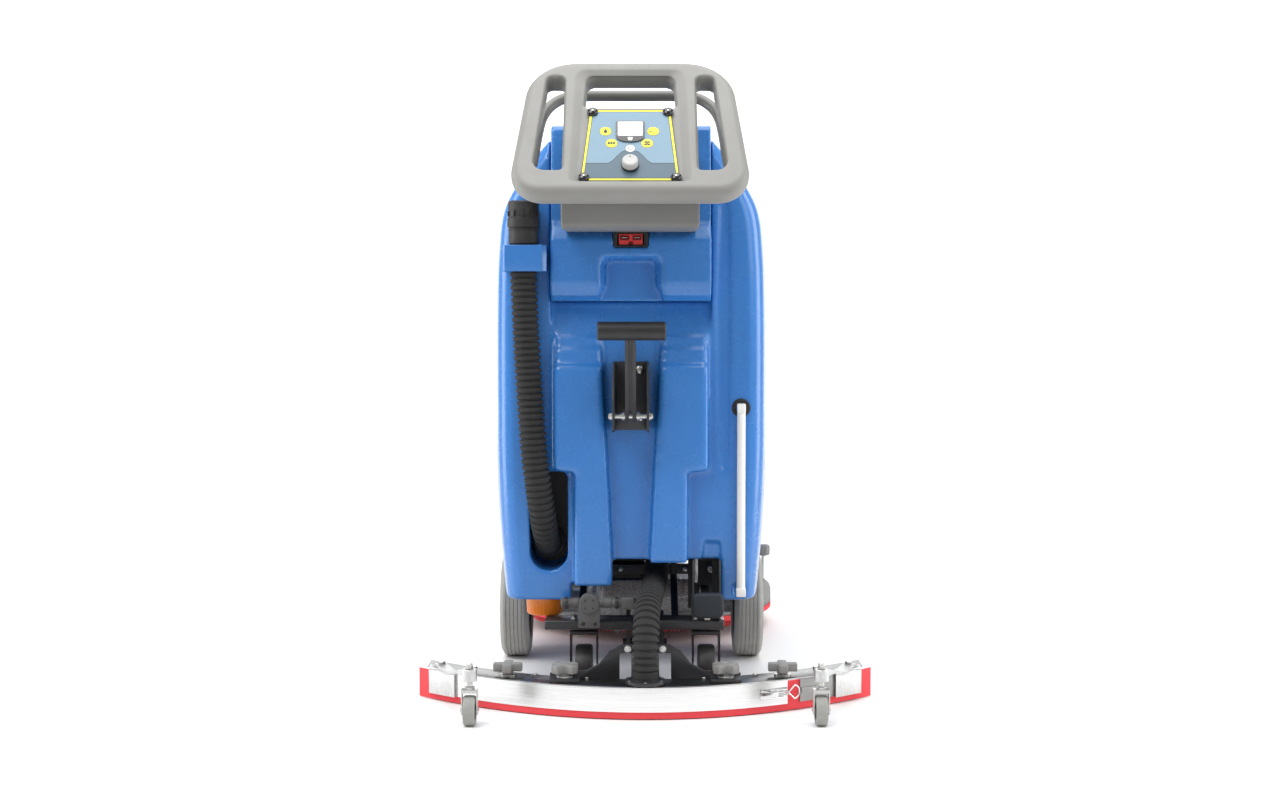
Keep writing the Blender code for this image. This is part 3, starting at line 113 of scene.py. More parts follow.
class ScrubberSizes(PropertyGroup):
    """The fine sizes that are the dressing's own; the rest comes from the frame."""

    skin_voxel: FloatProperty(
        name="Mould detail", description="Finest detail kept in a large moulded skin",
        unit="LENGTH", default=0.0036, min=0.002, max=0.008, precision=4)
    skin_rounds: IntProperty(
        name="Mould rounding", description="How many times a moulded skin's edges are relaxed",
        default=5, min=0, max=20)
    hose_pitch: FloatProperty(
        name="Hose pitch", description="Distance from one rib of a hose to the next",
        unit="LENGTH", default=0.0112, min=0.005, max=0.02, precision=4)
    hose_depth: FloatProperty(
        name="Hose rib depth", description="Depth of the grooves between a hose's ribs",
        unit="LENGTH", default=0.0030, min=0.001, max=0.006, precision=4)
    metal_edge: FloatProperty(
        name="Metal edge", description="Rounding of the edges of cut and folded metal",
        unit="LENGTH", default=0.0008, min=0.0002, max=0.003, precision=4)
    tuft_rings: IntProperty(
        name="Tuft rings", description="Rings of bristle tufts on the scrub brush",
        default=6, min=3, max=12)


class ScrubberStage(PropertyGroup):
    """Where the machine is looked at from, and the light that it stands in."""

    camera_place: FloatVectorProperty(
        name="Camera place", description="Where the camera stands",
        subtype="TRANSLATION", unit="LENGTH", size=3, default=(-0.009, -3.51, 0.687))
    camera_tilt: FloatProperty(
        name="Camera tilt", description="How far the camera looks down from level",
        subtype="ANGLE", default=radians(2.94))
    lens: FloatProperty(
        name="Focal length", description="Focal length on a 36 mm wide sensor, in millimetres",
        default=50.0, min=20.0, max=120.0)
    floor_size: FloatProperty(
        name="Floor size", description="Width of the floor and its curved backdrop",
        unit="LENGTH", default=40.0, min=6.0, max=100.0)


# ------------------------------------------------------------------ placing pieces
def link(obj):
    bpy.context.scene.collection.objects.link(obj)
    return obj


def fit(obj, node):
    """The piece belongs to a frame node: it moves with its body."""
    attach(obj, BODY_OF[node])
    return obj


def stand_for(obj, *nodes):
    """The piece takes the place of the frame nodes; the first gives its body."""
    fit(obj, nodes[0])
    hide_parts(*nodes)
    return obj


def add(node, name, bm, paint, smooth=35.0):
    """A closed piece in a finish given by name, on a frame node."""
    return fit(solid(name, bm, finish(paint), smooth), node)


def replace(node, name, bm, paint, smooth=35.0):
    """A closed piece in a finish given by name, in a frame node's place."""
    return stand_for(solid(name, bm, finish(paint), smooth), node)


def solid(name, bm, made, smooth=35.0):
    """A closed mesh object from a bmesh drawn in the frame's axes."""
    bmesh.ops.remove_doubles(bm, verts=bm.verts, dist=1e-6)
    bmesh.ops.recalc_face_normals(bm, faces=bm.faces)
    mesh = bpy.data.meshes.new(name)
    bm.to_mesh(mesh)
    bm.free()
    return dressed(name, mesh, made, smooth)


def dressed(name, mesh, made, smooth=35.0):
    mesh.materials.clear()
    mesh.materials.append(made)
    mesh.shade_smooth()
    mesh.set_sharp_from_angle(angle=radians(smooth))
    obj = bpy.data.objects.new(name, mesh)
    return link(obj)


def evaluated(obj):
    """The mesh that an object's modifiers leave, and the object removed."""
    bpy.context.view_layer.update()
    graph = bpy.context.evaluated_depsgraph_get()
    mesh = bpy.data.meshes.new_from_object(obj.evaluated_get(graph))
    bpy.data.objects.remove(obj, do_unlink=True)
    return mesh


def raw(bm):
    bmesh.ops.remove_doubles(bm, verts=bm.verts, dist=1e-6)
    bmesh.ops.recalc_face_normals(bm, faces=bm.faces)
    mesh = bpy.data.meshes.new("shape")
    bm.to_mesh(mesh)
    bm.free()
    return link(bpy.data.objects.new("shape", mesh))


def carved(base, *steps):
    """A mesh from a bmesh and steps, each ("add" or "cut", bmesh), taken in their order."""
    obj = raw(base)
    tools = []
    for kind, bm in steps:
        tools.append(raw(bm))
        step = obj.modifiers.new(kind, "BOOLEAN")
        step.operation = "UNION" if kind == "add" else "DIFFERENCE"
        step.solver = "EXACT"
        step.object = tools[-1]
    mesh = evaluated(obj)
    for other in tools:
        bpy.data.objects.remove(other, do_unlink=True)
    return mesh


def moulded(name, mesh, made, voxel, rounds, share=0.35):
    """A moulded skin: the drawn shape with every edge rounded as a mould leaves it."""
    obj = link(bpy.data.objects.new("shape", mesh))
    skin = obj.modifiers.new("skin", "REMESH")
    skin.mode = "VOXEL"
    skin.voxel_size = voxel
    relax = obj.modifiers.new("relax", "SMOOTH")
    relax.factor = 0.5
    relax.iterations = rounds
    if share < 1.0:
        thin = obj.modifiers.new("thin", "DECIMATE")
        thin.ratio = share
    return dressed(name, evaluated(obj), made, 180.0)


def node_mesh(node):
    """A copy of a frame node's mesh, welded and without its flat faces' inner edges."""
    bm = bmesh.new()
    bm.from_mesh(frame["nodes"][node].data)
    bmesh.ops.remove_doubles(bm, verts=bm.verts, dist=1e-5)
    bmesh.ops.dissolve_limit(bm, angle_limit=radians(0.5), verts=bm.verts, edges=bm.edges)
    mesh = bpy.data.meshes.new(node)
    bm.to_mesh(mesh)
    bm.free()
    return mesh


def eased(node, made, width, name=None, angle=38.0, segments=2):
    """A frame node with its sharp edges eased, standing for the node."""
    mesh = node_mesh(node)
    obj = link(bpy.data.objects.new("shape", mesh))
    ease = obj.modifiers.new("ease", "BEVEL")
    ease.width = width
    ease.segments = segments
    ease.limit_method = "ANGLE"
    ease.angle_limit = radians(angle)
    ease.use_clamp_overlap = True
    even = obj.modifiers.new("even", "WEIGHTED_NORMAL")
    even.keep_sharp = True
    mesh = evaluated(obj)
    return stand_for(dressed(name or node + "_piece", mesh, made, angle), node)


# ------------------------------------------------------------------ drawing shapes
def loft(rings, closed=True, caps=True):
    """A solid through rings with the same number of points."""
    bm = bmesh.new()
    loops = [[bm.verts.new(point) for point in ring] for ring in rings]
    count = len(rings[0])
    for lower, upper in zip(loops, loops[1:]):
        for i in range(count if closed else count - 1):
            j = (i + 1) % count
            bm.faces.new((lower[i], lower[j], upper[j], upper[i]))
    if caps:
        bm.faces.new(list(reversed(loops[0])))
        bm.faces.new(loops[-1])
    return bm


def joined(shapes):
    """Several bmeshes as one."""
    bm = bmesh.new()
    for shape in shapes:
        mesh = bpy.data.meshes.new("part")
        shape.to_mesh(mesh)
        shape.free()
        bm.from_mesh(mesh)
        bpy.data.meshes.remove(mesh)
    return bm


def prism(points, axis, low, high):
    """Extrude an outline along X (points are Y, Z), Y (points are X, Z) or Z (points are X, Y)."""
    place = {
        "X": lambda p, h: (h, p[0], p[1]),
        "Y": lambda p, h: (p[0], h, p[1]),
        "Z": lambda p, h: (p[0], p[1], h),
    }[axis]
    return loft([[place(p, h) for p in points] for h in (low, high)])


def ease_edges(bm, width, segments=2, angle=30.0):
    """Bevel the edges of a drawn shape that are sharper than the angle."""
    bmesh.ops.recalc_face_normals(bm, faces=bm.faces)
    edges = [e for e in bm.edges if len(e.link_faces) == 2
             and e.calc_face_angle(0.0) > radians(angle)]
    bmesh.ops.bevel(bm, geom=edges, offset=width, segments=segments, affect="EDGES",
                    profile=0.5, clamp_overlap=True)
    return bm


def box(x, y, z, bevel=0.0, segments=2):
    bm = prism([(x[0], y[0]), (x[1], y[0]), (x[1], y[1]), (x[0], y[1])], "Z", z[0], z[1])
    return ease_edges(bm, bevel, segments) if bevel else bm


def turned(profile, centre, axis="Z", sides=40, closed=False):
    """A turned solid: profile holds (radius, height); a closed profile makes a ring."""
    place = {
        "X": lambda r, a, h: (centre[0] + h, centre[1] + r * cos(a), centre[2] + r * sin(a)),
        "Y": lambda r, a, h: (centre[0] + r * cos(a), centre[1] + h, centre[2] + r * sin(a)),
        "Z": lambda r, a, h: (centre[0] + r * cos(a), centre[1] + r * sin(a), centre[2] + h),
    }[axis]
    rings = []
    for radius, height in profile + ([profile[0]] if closed else []):
        rings.append([place(radius, 2 * pi * i / sides, height) for i in range(sides)])
    return loft(rings, caps=not closed)


def turned_about(profile, centre, direction, sides=24):
    """A turned solid about any direction, for bolts and screws that stand askew."""
    turn = Vector(direction).normalized().to_track_quat("Z", "Y").to_matrix()
    rings = []
    for r, h in profile:
        rings.append([Vector(centre) + turn @ Vector((r * cos(2 * pi * i / sides),
                                                      r * sin(2 * pi * i / sides), h))
                      for i in range(sides)])
    return loft(rings)


def arc(centre, radius, start, end, steps):
    """Points on an arc, angles in degrees."""
    points = []
    for i in range(steps + 1):
        a = radians(start + (end - start) * i / steps)
        points.append((centre[0] + radius * cos(a), centre[1] + radius * sin(a)))
    return points


def rounded(x0, x1, y0, y1, radii, steps=8):
    """A rectangle with a radius at each corner, from the lower left one, counter-clockwise."""
    a, b, c, d = radii if isinstance(radii, (list, tuple)) else (radii,) * 4
    return (arc((x0 + a, y0 + a), a, 180, 270, steps) + arc((x1 - b, y0 + b), b, 270, 360, steps)
            + arc((x1 - c, y1 - c), c, 0, 90, steps) + arc((x0 + d, y1 - d), d, 90, 180, steps))


def round_corners(points, radius, steps=6):
    """Replace each corner of a polygon by an arc of the given radius."""
    result = []
    count = len(points)
    for i in range(count):
        corner = Vector(points[i])
        back = (Vector(points[i - 1]) - corner).normalized()
        ahead = (Vector(points[(i + 1) % count]) - corner).normalized()
        r = radius[i] if isinstance(radius, (list, tuple)) else radius
        if r == 0:
            result.append(tuple(corner))
            continue
        half = back.angle(ahead) / 2
        centre = corner + (back + ahead).normalized() * (r / sin(half))
        start = corner + back * (r * cos(half) / sin(half)) - centre
        end = corner + ahead * (r * cos(half) / sin(half)) - centre
        a0 = atan2(start.y, start.x)
        turn = (atan2(end.y, end.x) - a0 + pi) % (2 * pi) - pi
        for k in range(steps + 1):
            a = a0 + turn * k / steps
            result.append((centre.x + r * cos(a), centre.y + r * sin(a)))
    return result


def smooth_route(points, gap):
    """Points a set distance apart on a Catmull-Rom curve through the route's own points."""
    route = [Vector(p) for p in points]
    route = [2 * route[0] - route[1]] + route + [2 * route[-1] - route[-2]]
    fine = []
    for i in range(1, len(route) - 2):
        p0, p1, p2, p3 = route[i - 1:i + 3]
        for k in range(24):
            t = k / 24
            fine.append(0.5 * ((2 * p1) + (p2 - p0) * t + (2 * p0 - 5 * p1 + 4 * p2 - p3) * t * t
                               + (3 * p1 - p0 - 3 * p2 + p3) * t ** 3))
    fine.append(route[-2])
    reach = [0.0]
    for a, b in zip(fine, fine[1:]):
        reach.append(reach[-1] + (b - a).length)
    count = max(2, round(reach[-1] / gap))
    result = []
    k = 0
    for i in range(count + 1):
        want = reach[-1] * i / count
        while k < len(reach) - 2 and reach[k + 1] < want:
            k += 1
        share = (want - reach[k]) / (reach[k + 1] - reach[k])
        result.append(fine[k].lerp(fine[k + 1], min(share, 1.0)))
    return result


def swept(points, radius_at, sides=24):
    """A round tube along points; radius_at gives its radius at a distance along it."""
    along = [(b - a).normalized() for a, b in zip(points, points[1:])]
    along.append(along[-1])
    side = along[0].orthogonal().normalized()
    rings = []
    reach = 0.0
    for i, point in enumerate(points):
        mean = (along[max(i - 1, 0)] + along[i]).normalized()
        side = (side - mean * side.dot(mean)).normalized()
        up = mean.cross(side)
        r = radius_at(reach)
        rings.append([point + side * (r * cos(2 * pi * k / sides))
                      + up * (r * sin(2 * pi * k / sides)) for k in range(sides)])
        if i + 1 < len(points):
            reach += (points[i + 1] - point).length
    return loft(rings)


# ------------------------------------------------------------------ finishes
class Finish:
    """A Principled finish, built node by node on the piece's own coordinates."""

    def __init__(self, name, colour, roughness, metallic=0.0, **sockets):
        self.made = bpy.data.materials.new(name)
        self.made.use_nodes = True
        self.tree = self.made.node_tree
        self.shader = self.tree.nodes["Principled BSDF"]
        self.shader.inputs["Base Color"].default_value = (*colour, 1.0)
        self.shader.inputs["Roughness"].default_value = roughness
        self.shader.inputs["Metallic"].default_value = metallic
        self.colour = colour
        self.roughness = roughness
        for key, value in sockets.items():
            self.shader.inputs[key.replace("_", " ")].default_value = value
        self.place = self.node("ShaderNodeTexCoord").outputs["Object"]
        self.last_normal = None
        self.last_colour = None

    def node(self, kind, settings=None, **inputs):
        made = self.tree.nodes.new(kind)
        for key, value in (settings or {}).items():
            setattr(made, key, value)
        for key, value in inputs.items():
            socket = made.inputs[int(key[1:]) if key[1:].isdigit() else key.replace("_", " ")]
            if isinstance(value, bpy.types.NodeSocket):
                self.tree.links.new(value, socket)
            else:
                socket.default_value = value
        return made

    def stretched(self, scale):
        return self.node("ShaderNodeMapping", Vector=self.place, Scale=scale).outputs["Vector"]

    def noise(self, scale, detail=3.0, rough=0.55, stretch=None):
        place = self.stretched(stretch) if stretch else self.place
        return self.node("ShaderNodeTexNoise", Vector=place, Scale=scale, Detail=detail,
                         Roughness=rough).outputs["Fac"]

    def band(self, value, low, high, out_low=0.0, out_high=1.0):
        return self.node("ShaderNodeMapRange", Value=value, From_Min=low, From_Max=high,
                         To_Min=out_low, To_Max=out_high).outputs["Result"]

    def mixed(self, share, first, second, blend="MIX"):
        mix = self.node("ShaderNodeMix", {"data_type": "RGBA", "blend_type": blend})
        for index, value in ((0, share), (6, first), (7, second)):
            if isinstance(value, bpy.types.NodeSocket):
                self.tree.links.new(value, mix.inputs[index])
            else:
                mix.inputs[index].default_value = value if index == 0 else (*value[:3], 1.0)
        return mix.outputs[2]

    def paint(self, socket):
        self.tree.links.new(socket, self.shader.inputs["Base Color"])
        self.last_colour = socket
        return self

    def shaded(self, share, colour, blend="MIX"):
        """Lay another colour over the finish where the share says."""
        under = self.last_colour if self.last_colour is not None else self.colour
        return self.paint(self.mixed(share, under, colour, blend))

    def mottled(self, scale, amount, stretch=None):
        """Slow light and dark drift of the colour."""
        value = self.noise(scale, 4.0, 0.6, stretch)
        light = [min(1.0, c * (1 + amount)) for c in self.colour]
        dark = [c * (1 - amount) for c in self.colour]
        return self.paint(self.mixed(self.band(value, 0.3, 0.7), dark, light))

    def rough_between(self, scale, low, high, stretch=None):
        value = self.band(self.noise(scale, 4.0, 0.6, stretch), 0.3, 0.7, low, high)
        self.tree.links.new(value, self.shader.inputs["Roughness"])
        return self

    def bump(self, height, strength, distance):
        inputs = {"Height": height, "Strength": strength, "Distance": distance}
        if self.last_normal is not None:
            inputs["Normal"] = self.last_normal
        made = self.node("ShaderNodeBump", **inputs)
        self.last_normal = made.outputs["Normal"]
        self.tree.links.new(self.last_normal, self.shader.inputs["Normal"])
        return self

    def grain(self, scale, strength, distance=0.0004, detail=2.0, stretch=None):
        return self.bump(self.noise(scale, detail, 0.5, stretch), strength, distance)


def colours():
    return bpy.context.scene.scrubber_colours


def sizes():
    return bpy.context.scene.scrubber_sizes


def finish(name):
    """A finish by name, made the first time that it is asked for."""
    return bpy.data.materials.get(name) or FINISHES[name]().made


def tank_blue():
    """Gloss polyethylene with the faint ripple and the slow drift of a rotational mould."""
    made = Finish("tank_blue", tuple(colours().body), 0.26, IOR=1.50, Coat_Weight=0.22,
                  Coat_Roughness=0.10)
    made.mottled(6.0, 0.045)
    made.rough_between(28.0, 0.23, 0.30)
    return made.grain(30.0, 0.020, 0.0016).grain(900.0, 0.025, 0.0002)


def shell_grey():
    """Satin integral-skin foam of the console: a fine, even, leathery grain."""
    made = Finish("shell_grey", tuple(colours().shell), 0.46, IOR=1.48)
    made.mottled(11.0, 0.05)
    made.rough_between(60.0, 0.40, 0.54)
    return made.grain(1150.0, 0.16, 0.00025, 3.0).grain(70.0, 0.05, 0.0010)


def lid_grey():
    made = Finish("lid_grey", [c * 0.92 for c in colours().shell], 0.42, IOR=1.49)
    made.mottled(9.0, 0.05)
    return made.rough_between(40.0, 0.36, 0.5).grain(800.0, 0.12, 0.0003)


def bail_paint():
    made = Finish("bail_paint", [c * 0.86 for c in colours().shell], 0.38, IOR=1.5)
    return made.mottled(20.0, 0.05).grain(600.0, 0.12, 0.0003)


def trim_grey():
    made = Finish("trim_grey", tuple(colours().trim), 0.50)
    made.mottled(30.0, 0.07)
    return made.rough_between(80.0, 0.44, 0.60).grain(900.0, 0.22, 0.0003)


def valve_grey():
    made = Finish("valve_grey", [c * 0.75 for c in colours().trim], 0.55)
    return made.mottled(30.0, 0.10).grain(900.0, 0.22, 0.0003)


def neck_painted_shadow():
    """The neck's moulding has the ring's grain, its grey darkened as painted shadow from the
    console ring.
    """
    made = Finish("neck_painted_shadow", [c * 0.70 for c in colours().shell], 0.48, IOR=1.48)
    made.mottled(11.0, 0.05)
    return made.grain(1150.0, 0.16, 0.00025, 3.0)


def black_moulding():
    made = Finish("black_moulding", (0.014, 0.014, 0.015), 0.42)
    made.mottled(25.0, 0.25)
    return made.rough_between(90.0, 0.36, 0.52).grain(1000.0, 0.16, 0.0003)


def hose_black():
    """Flexible ribbed hose: satin, with a slow random drift of its colour."""
    made = Finish("hose_black", (0.013, 0.013, 0.014), 0.40)
    made.mottled(40.0, 0.3)
    return made.rough_between(120.0, 0.34, 0.55).grain(700.0, 0.20, 0.0003)


def cuff_black():
    made = Finish("cuff_black", (0.018, 0.018, 0.019), 0.55)
    return made.mottled(40.0, 0.25).grain(800.0, 0.25, 0.0004)


def frame_coat():
    """Black powder coat: orange peel with a faint sparkle of texture."""
    made = Finish("frame_coat", (0.020, 0.021, 0.024), 0.36, IOR=1.52)
    made.mottled(15.0, 0.2)
    return made.rough_between(220.0, 0.30, 0.48).grain(420.0, 0.28, 0.0005, 3.0)


def grit_black():
    made = Finish("grit_black", (0.030, 0.031, 0.034), 0.60)
    grit = made.band(made.noise(1300.0, 2.0), 0.62, 0.72)
    made.shaded(grit, (0.20, 0.20, 0.20))
    return made.grain(1300.0, 0.5, 0.0005)


def brushed(name, tint, rough, stretch, depth=0.22):
    made = Finish(name, tint, rough, 1.0)
    lines = made.noise(1.0, 5.0, 0.7, stretch)
    made.paint(made.mixed(made.band(lines, 0.35, 0.65), [c * 0.82 for c in tint],
                          [min(1.0, c * 1.08) for c in tint]))
    value = made.band(lines, 0.3, 0.7, rough * 0.75, rough * 1.35)
    made.tree.links.new(value, made.shader.inputs["Roughness"])
    return made.bump(lines, depth, 0.0002)


def steel_long():
    """Stainless sheet brushed along the squeegee's length, with painted shade on its upward faces.
    """
    made = brushed("steel_long", (0.88, 0.88, 0.87), 0.30, (6.0, 6.0, 1500.0), 0.16)
    # Painted shade: faces that look up are mixed towards dark grey.
    facing = made.node("ShaderNodeNewGeometry").outputs["Normal"]
    upward = made.node("ShaderNodeSeparateXYZ", Vector=facing).outputs["Z"]
    return made.shaded(made.band(upward, 0.55, 0.90), (0.20, 0.20, 0.20))


def steel_painted_shade():
    """The same sheet, darker: painted shade for a face turned to the dark of the room."""
    made = brushed("steel_painted_shade", (0.34, 0.34, 0.33), 0.38, (6.0, 6.0, 1500.0))
    return made.grain(60.0, 0.1, 0.001)


def steel_cut():
    """Stainless bar, sawn and tumbled: an even, fine scratch in every direction."""
    made = brushed("steel_cut", (0.62, 0.62, 0.61), 0.38, (420.0, 420.0, 90.0), 0.12)
    return made.grain(700.0, 0.12, 0.0002)


def zinc():
    """Zinc-plated fasteners, faintly clouded."""
    made = Finish("zinc", (0.52, 0.52, 0.50), 0.30, 1.0)
    made.mottled(300.0, 0.12)
    return made.rough_between(500.0, 0.20, 0.42).grain(1500.0, 0.15, 0.0002)


def chrome_bright():
    made = Finish("chrome_bright", (0.80, 0.80, 0.80), 0.10, 1.0)
    return made.rough_between(400.0, 0.06, 0.18)


def cast_metal():
    """Sand-cast aluminium, blasted: coarse pits and pale crests."""
    made = Finish("cast_metal", (0.34, 0.34, 0.33), 0.62, 0.75)
    pits = made.noise(420.0, 5.0, 0.65)
    made.paint(made.mixed(made.band(pits, 0.40, 0.62), (0.17, 0.17, 0.17), (0.46, 0.46, 0.45)))
    return made.bump(pits, 0.65, 0.0008).grain(60.0, 0.15, 0.002)


def motor_black():
    made = Finish("motor_black", (0.030, 0.031, 0.033), 0.45, 0.0)
    return made.mottled(40.0, 0.2).grain(500.0, 0.3, 0.0004)


def blade_red():
    """Clear red polyurethane: light goes a little way in, and the surface is wiped smooth."""
    made = Finish("blade_red", tuple(colours().rubber), 0.32, IOR=1.50, Subsurface_Weight=0.25,
                  Subsurface_Scale=0.002)
    made.mottled(30.0, 0.08)
    return made.rough_between(90.0, 0.26, 0.42).grain(260.0, 0.05, 0.0005)


def bristle_red():
    made = Finish("bristle_red", [c * 0.9 for c in colours().rubber], 0.50)
    made.mottled(260.0, 0.30, (1.0, 1.0, 0.15))
    return made.grain(1500.0, 0.5, 0.0004, 2.0, (1.0, 1.0, 0.1))


def brush_block():
    made = Finish("brush_block", (0.10, 0.10, 0.105), 0.5)
    return made.mottled(30.0, 0.15).grain(600.0, 0.2, 0.0004)


def tyre_rubber():
    """Grey non-marking rubber: chalky, with fine moulding grain and scuffs on the tread."""
    made = Finish("tyre_rubber", tuple(colours().tyre), 0.68)
    made.mottled(45.0, 0.08)
    scuff = made.band(made.noise(1.0, 4.0, 0.7, (60.0, 260.0, 260.0)), 0.56, 0.72)
    made.shaded(made.node("ShaderNodeMath", {"operation": "MULTIPLY"}, _0=scuff, _1=0.35)
                .outputs["Value"], [min(1.0, c * 1.35) for c in colours().tyre])
    return made.grain(700.0, 0.30, 0.0005)


def hub_black():
    made = Finish("hub_black", (0.030, 0.030, 0.031), 0.48)
    return made.mottled(30.0, 0.2).grain(700.0, 0.22, 0.0003)


def cap_orange():
    made = Finish("cap_orange", tuple(colours().cap), 0.30, Coat_Weight=0.2)
    return made.mottled(40.0, 0.07).grain(300.0, 0.06, 0.0005)


def tube_white():
    """Milky tube: frosted, with light scattered through its wall."""
    made = Finish("tube_white", (0.50, 0.51, 0.495), 0.30, Subsurface_Weight=0.4,
                  Subsurface_Scale=0.004)
    made.mottled(30.0, 0.05)
    return made.rough_between(60.0, 0.24, 0.40).grain(400.0, 0.05, 0.0005)


def fitting_white():
    made = Finish("fitting_white", (0.78, 0.78, 0.76), 0.38)
    return made.mottled(60.0, 0.05).grain(700.0, 0.1, 0.0003)


def film(name, colour, rough=0.34):
    """Printed polyester film with its fine embossed texture."""
    made = Finish(name, colour, rough, IOR=1.46)
    made.mottled(60.0, 0.025)
    return made.grain(2600.0, 0.10, 0.0001)


def display_glass():
    made = Finish("display_glass", (0.008, 0.008, 0.009), 0.07, Coat_Weight=0.5)
    return made.rough_between(60.0, 0.05, 0.12).grain(30.0, 0.01, 0.0005)


def display_lit():
    made = Finish("display_lit", (0.80, 0.82, 0.82), 0.20, Emission_Strength=0.30)
    made.shader.inputs["Emission Color"].default_value = (0.9, 0.93, 0.95, 1.0)
    return made.mottled(90.0, 0.02)


def knob_silver():
    """Silver lacquer over a moulded knob."""
    made = Finish("knob_silver", (0.42, 0.41, 0.40), 0.30, 0.75)
    made.mottled(120.0, 0.08)
    return made.rough_between(400.0, 0.24, 0.40).grain(2000.0, 0.15, 0.0001)


def connector_red():
    made = Finish("connector_red", (0.62, 0.035, 0.035), 0.38)
    return made.mottled(120.0, 0.12).grain(900.0, 0.15, 0.0003)


def pedal_rubber():
    made = Finish("pedal_rubber", (0.005, 0.009, 0.015), 0.60)
    return made.mottled(60.0, 0.15).grain(800.0, 0.3, 0.0004)


def battery_case():
    made = Finish("battery_case", (0.026, 0.027, 0.030), 0.50)
    return made.mottled(20.0, 0.15).grain(260.0, 0.3, 0.0006)


def seal_black():
    made = Finish("seal_black", (0.012, 0.012, 0.012), 0.65)
    return made.mottled(60.0, 0.2).grain(900.0, 0.3, 0.0004)


def floor_paint():
    """Pale, even studio floor with a trace of its own texture."""
    made = Finish("floor_paint", (0.86, 0.86, 0.86), 0.55)
    return made.mottled(0.6, 0.006).grain(40.0, 0.02, 0.001)


def overlay_blue():
    return film("overlay_blue", tuple(colours().field))


def overlay_band():
    return film("overlay_band", tuple(colours().field_low))


def overlay_yellow():
    return film("overlay_yellow", (0.86, 0.80, 0.030))


def overlay_black():
    return film("overlay_black", (0.010, 0.011, 0.013))


def overlay_white():
    return film("overlay_white", (0.84, 0.85, 0.85))


FINISHES = {build.__name__: build for build in (
    tank_blue, shell_grey, lid_grey, bail_paint, trim_grey, valve_grey, neck_painted_shadow, black_moulding,
    hose_black, cuff_black, frame_coat, grit_black, steel_long, steel_painted_shade, steel_cut, zinc,
    chrome_bright, cast_metal, motor_black, blade_red, bristle_red, brush_block, tyre_rubber,
    hub_black, cap_orange, tube_white, fitting_white, display_glass, display_lit, knob_silver,
    connector_red, pedal_rubber, battery_case, seal_black, floor_paint, overlay_blue,
    overlay_band, overlay_yellow, overlay_black, overlay_white)}


# ------------------------------------------------------------------ stage
class SCRUBBER_OT_stage(Operator):
    """Pale curved backdrop, soft studio light and the camera"""

    bl_idname = "scrubber.stage"
    bl_label = "Studio and camera"

    def execute(self, context):
        setup = context.scene.scrubber_stage
        half = setup.floor_size / 2
        back = 7.0
        lift = 9.0
        curve = [(-half, 0.0), (back, 0.0)]
        curve += [(back + 4.0 * sin(a), 4.0 - 4.0 * cos(a))
                  for a in [pi / 2 * i / 12 for i in range(1, 13)]]
        curve.append((back + 4.0, lift))
        bm = loft([[(x, y, z) for y, z in curve] for x in (-half, half)], closed=False, caps=False)
        ground = solid("studio_floor", bm, finish("floor_paint"), 80.0)
        world = bpy.data.worlds.new("studio")
        world.use_nodes = True
        sky = world.node_tree.nodes["Background"]
        sky.inputs["Color"].default_value = (1.0, 1.0, 1.0, 1.0)
        sky.inputs["Strength"].default_value = 0.42
        context.scene.world = world
        lights = (
            ("key", (-1.9, -2.7, 3.6), 2.2, 1.6, 68.0),
            ("fill", (2.6, -2.6, 1.9), 1.6, 2.2, 24.0),
            ("top", (0.0, -0.5, 3.6), 3.0, 3.0, 105.0),
            ("rim_left", (-2.3, -0.3, 1.1), 1.0, 2.4, 34.0),
            ("rim_right", (2.3, -0.3, 1.1), 1.0, 2.4, 34.0),
            ("backdrop", (0.0, 5.5, 6.0), 12.0, 3.0, 900.0),
        )
        for name, place, wide, tall, power in lights:
            lamp = bpy.data.lights.new(name, "AREA")
            lamp.shape = "RECTANGLE"
            lamp.size = wide
            lamp.size_y = tall
            lamp.energy = power
            obj = link(bpy.data.objects.new(name, lamp))
            obj.location = place
            aim = Vector((0.0, 9.5, 1.5)) if name == "backdrop" else Vector((0.0, 0.0, 0.55))
            obj.rotation_euler = (aim - obj.location).to_track_quat("-Z", "Y").to_euler()
        camera = bpy.data.cameras.new("camera")
        camera.lens = setup.lens
        camera.sensor_width = 36.0
        eye = link(bpy.data.objects.new("camera", camera))
        eye.location = setup.camera_place
        eye.rotation_euler = Euler((pi / 2 - setup.camera_tilt, 0.0, 0.0))
        context.scene.camera = eye
        context.scene.view_settings.view_transform = "Standard"
        return {"FINISHED"}


# ------------------------------------------------------------------ tanks
PROFILE = (      # share of the body's half width by height
    (0.170, 0.931), (0.31, 0.978), (0.45, 1.0), (0.60, 1.0), (0.70, 0.996), (0.78, 0.985),
    (0.86, 0.945), (0.915, 0.83), (0.965, 0.68), (0.992, 0.575))
CHEEK = TANK[0].y + 0.035                  # rear face of the body beside the columns
SEAM = RECOVERY[0].z                       # the recovery tank stands on the solution tank here
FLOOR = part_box("pedal_bracket")[1].z + 0.0003      # underside of the solution tank
TAPER_START = -0.15                        # ahead of this the body keeps its full width


def share_at(z):
    """How wide the body is at a height, on a smooth curve through the profile."""
    heights = [p[0] for p in PROFILE]
    values = [p[1] for p in PROFILE]
    k = 0
    while k < len(heights) - 2 and heights[k + 1] < z:
        k += 1
    t = min(1.0, max(0.0, (z - heights[k]) / (heights[k + 1] - heights[k])))
    slopes = []
    for i in (k, k + 1):
        a, b = max(i - 1, 0), min(i + 1, len(heights) - 1)
        slopes.append((values[b] - values[a]) / (heights[b] - heights[a]))
    span = heights[k + 1] - heights[k]
    return ((2 * t ** 3 - 3 * t ** 2 + 1) * values[k] + (t ** 3 - 2 * t ** 2 + t) * span * slopes[0]
            + (3 * t ** 2 - 2 * t ** 3) * values[k + 1] + (t ** 3 - t ** 2) * span * slopes[1])


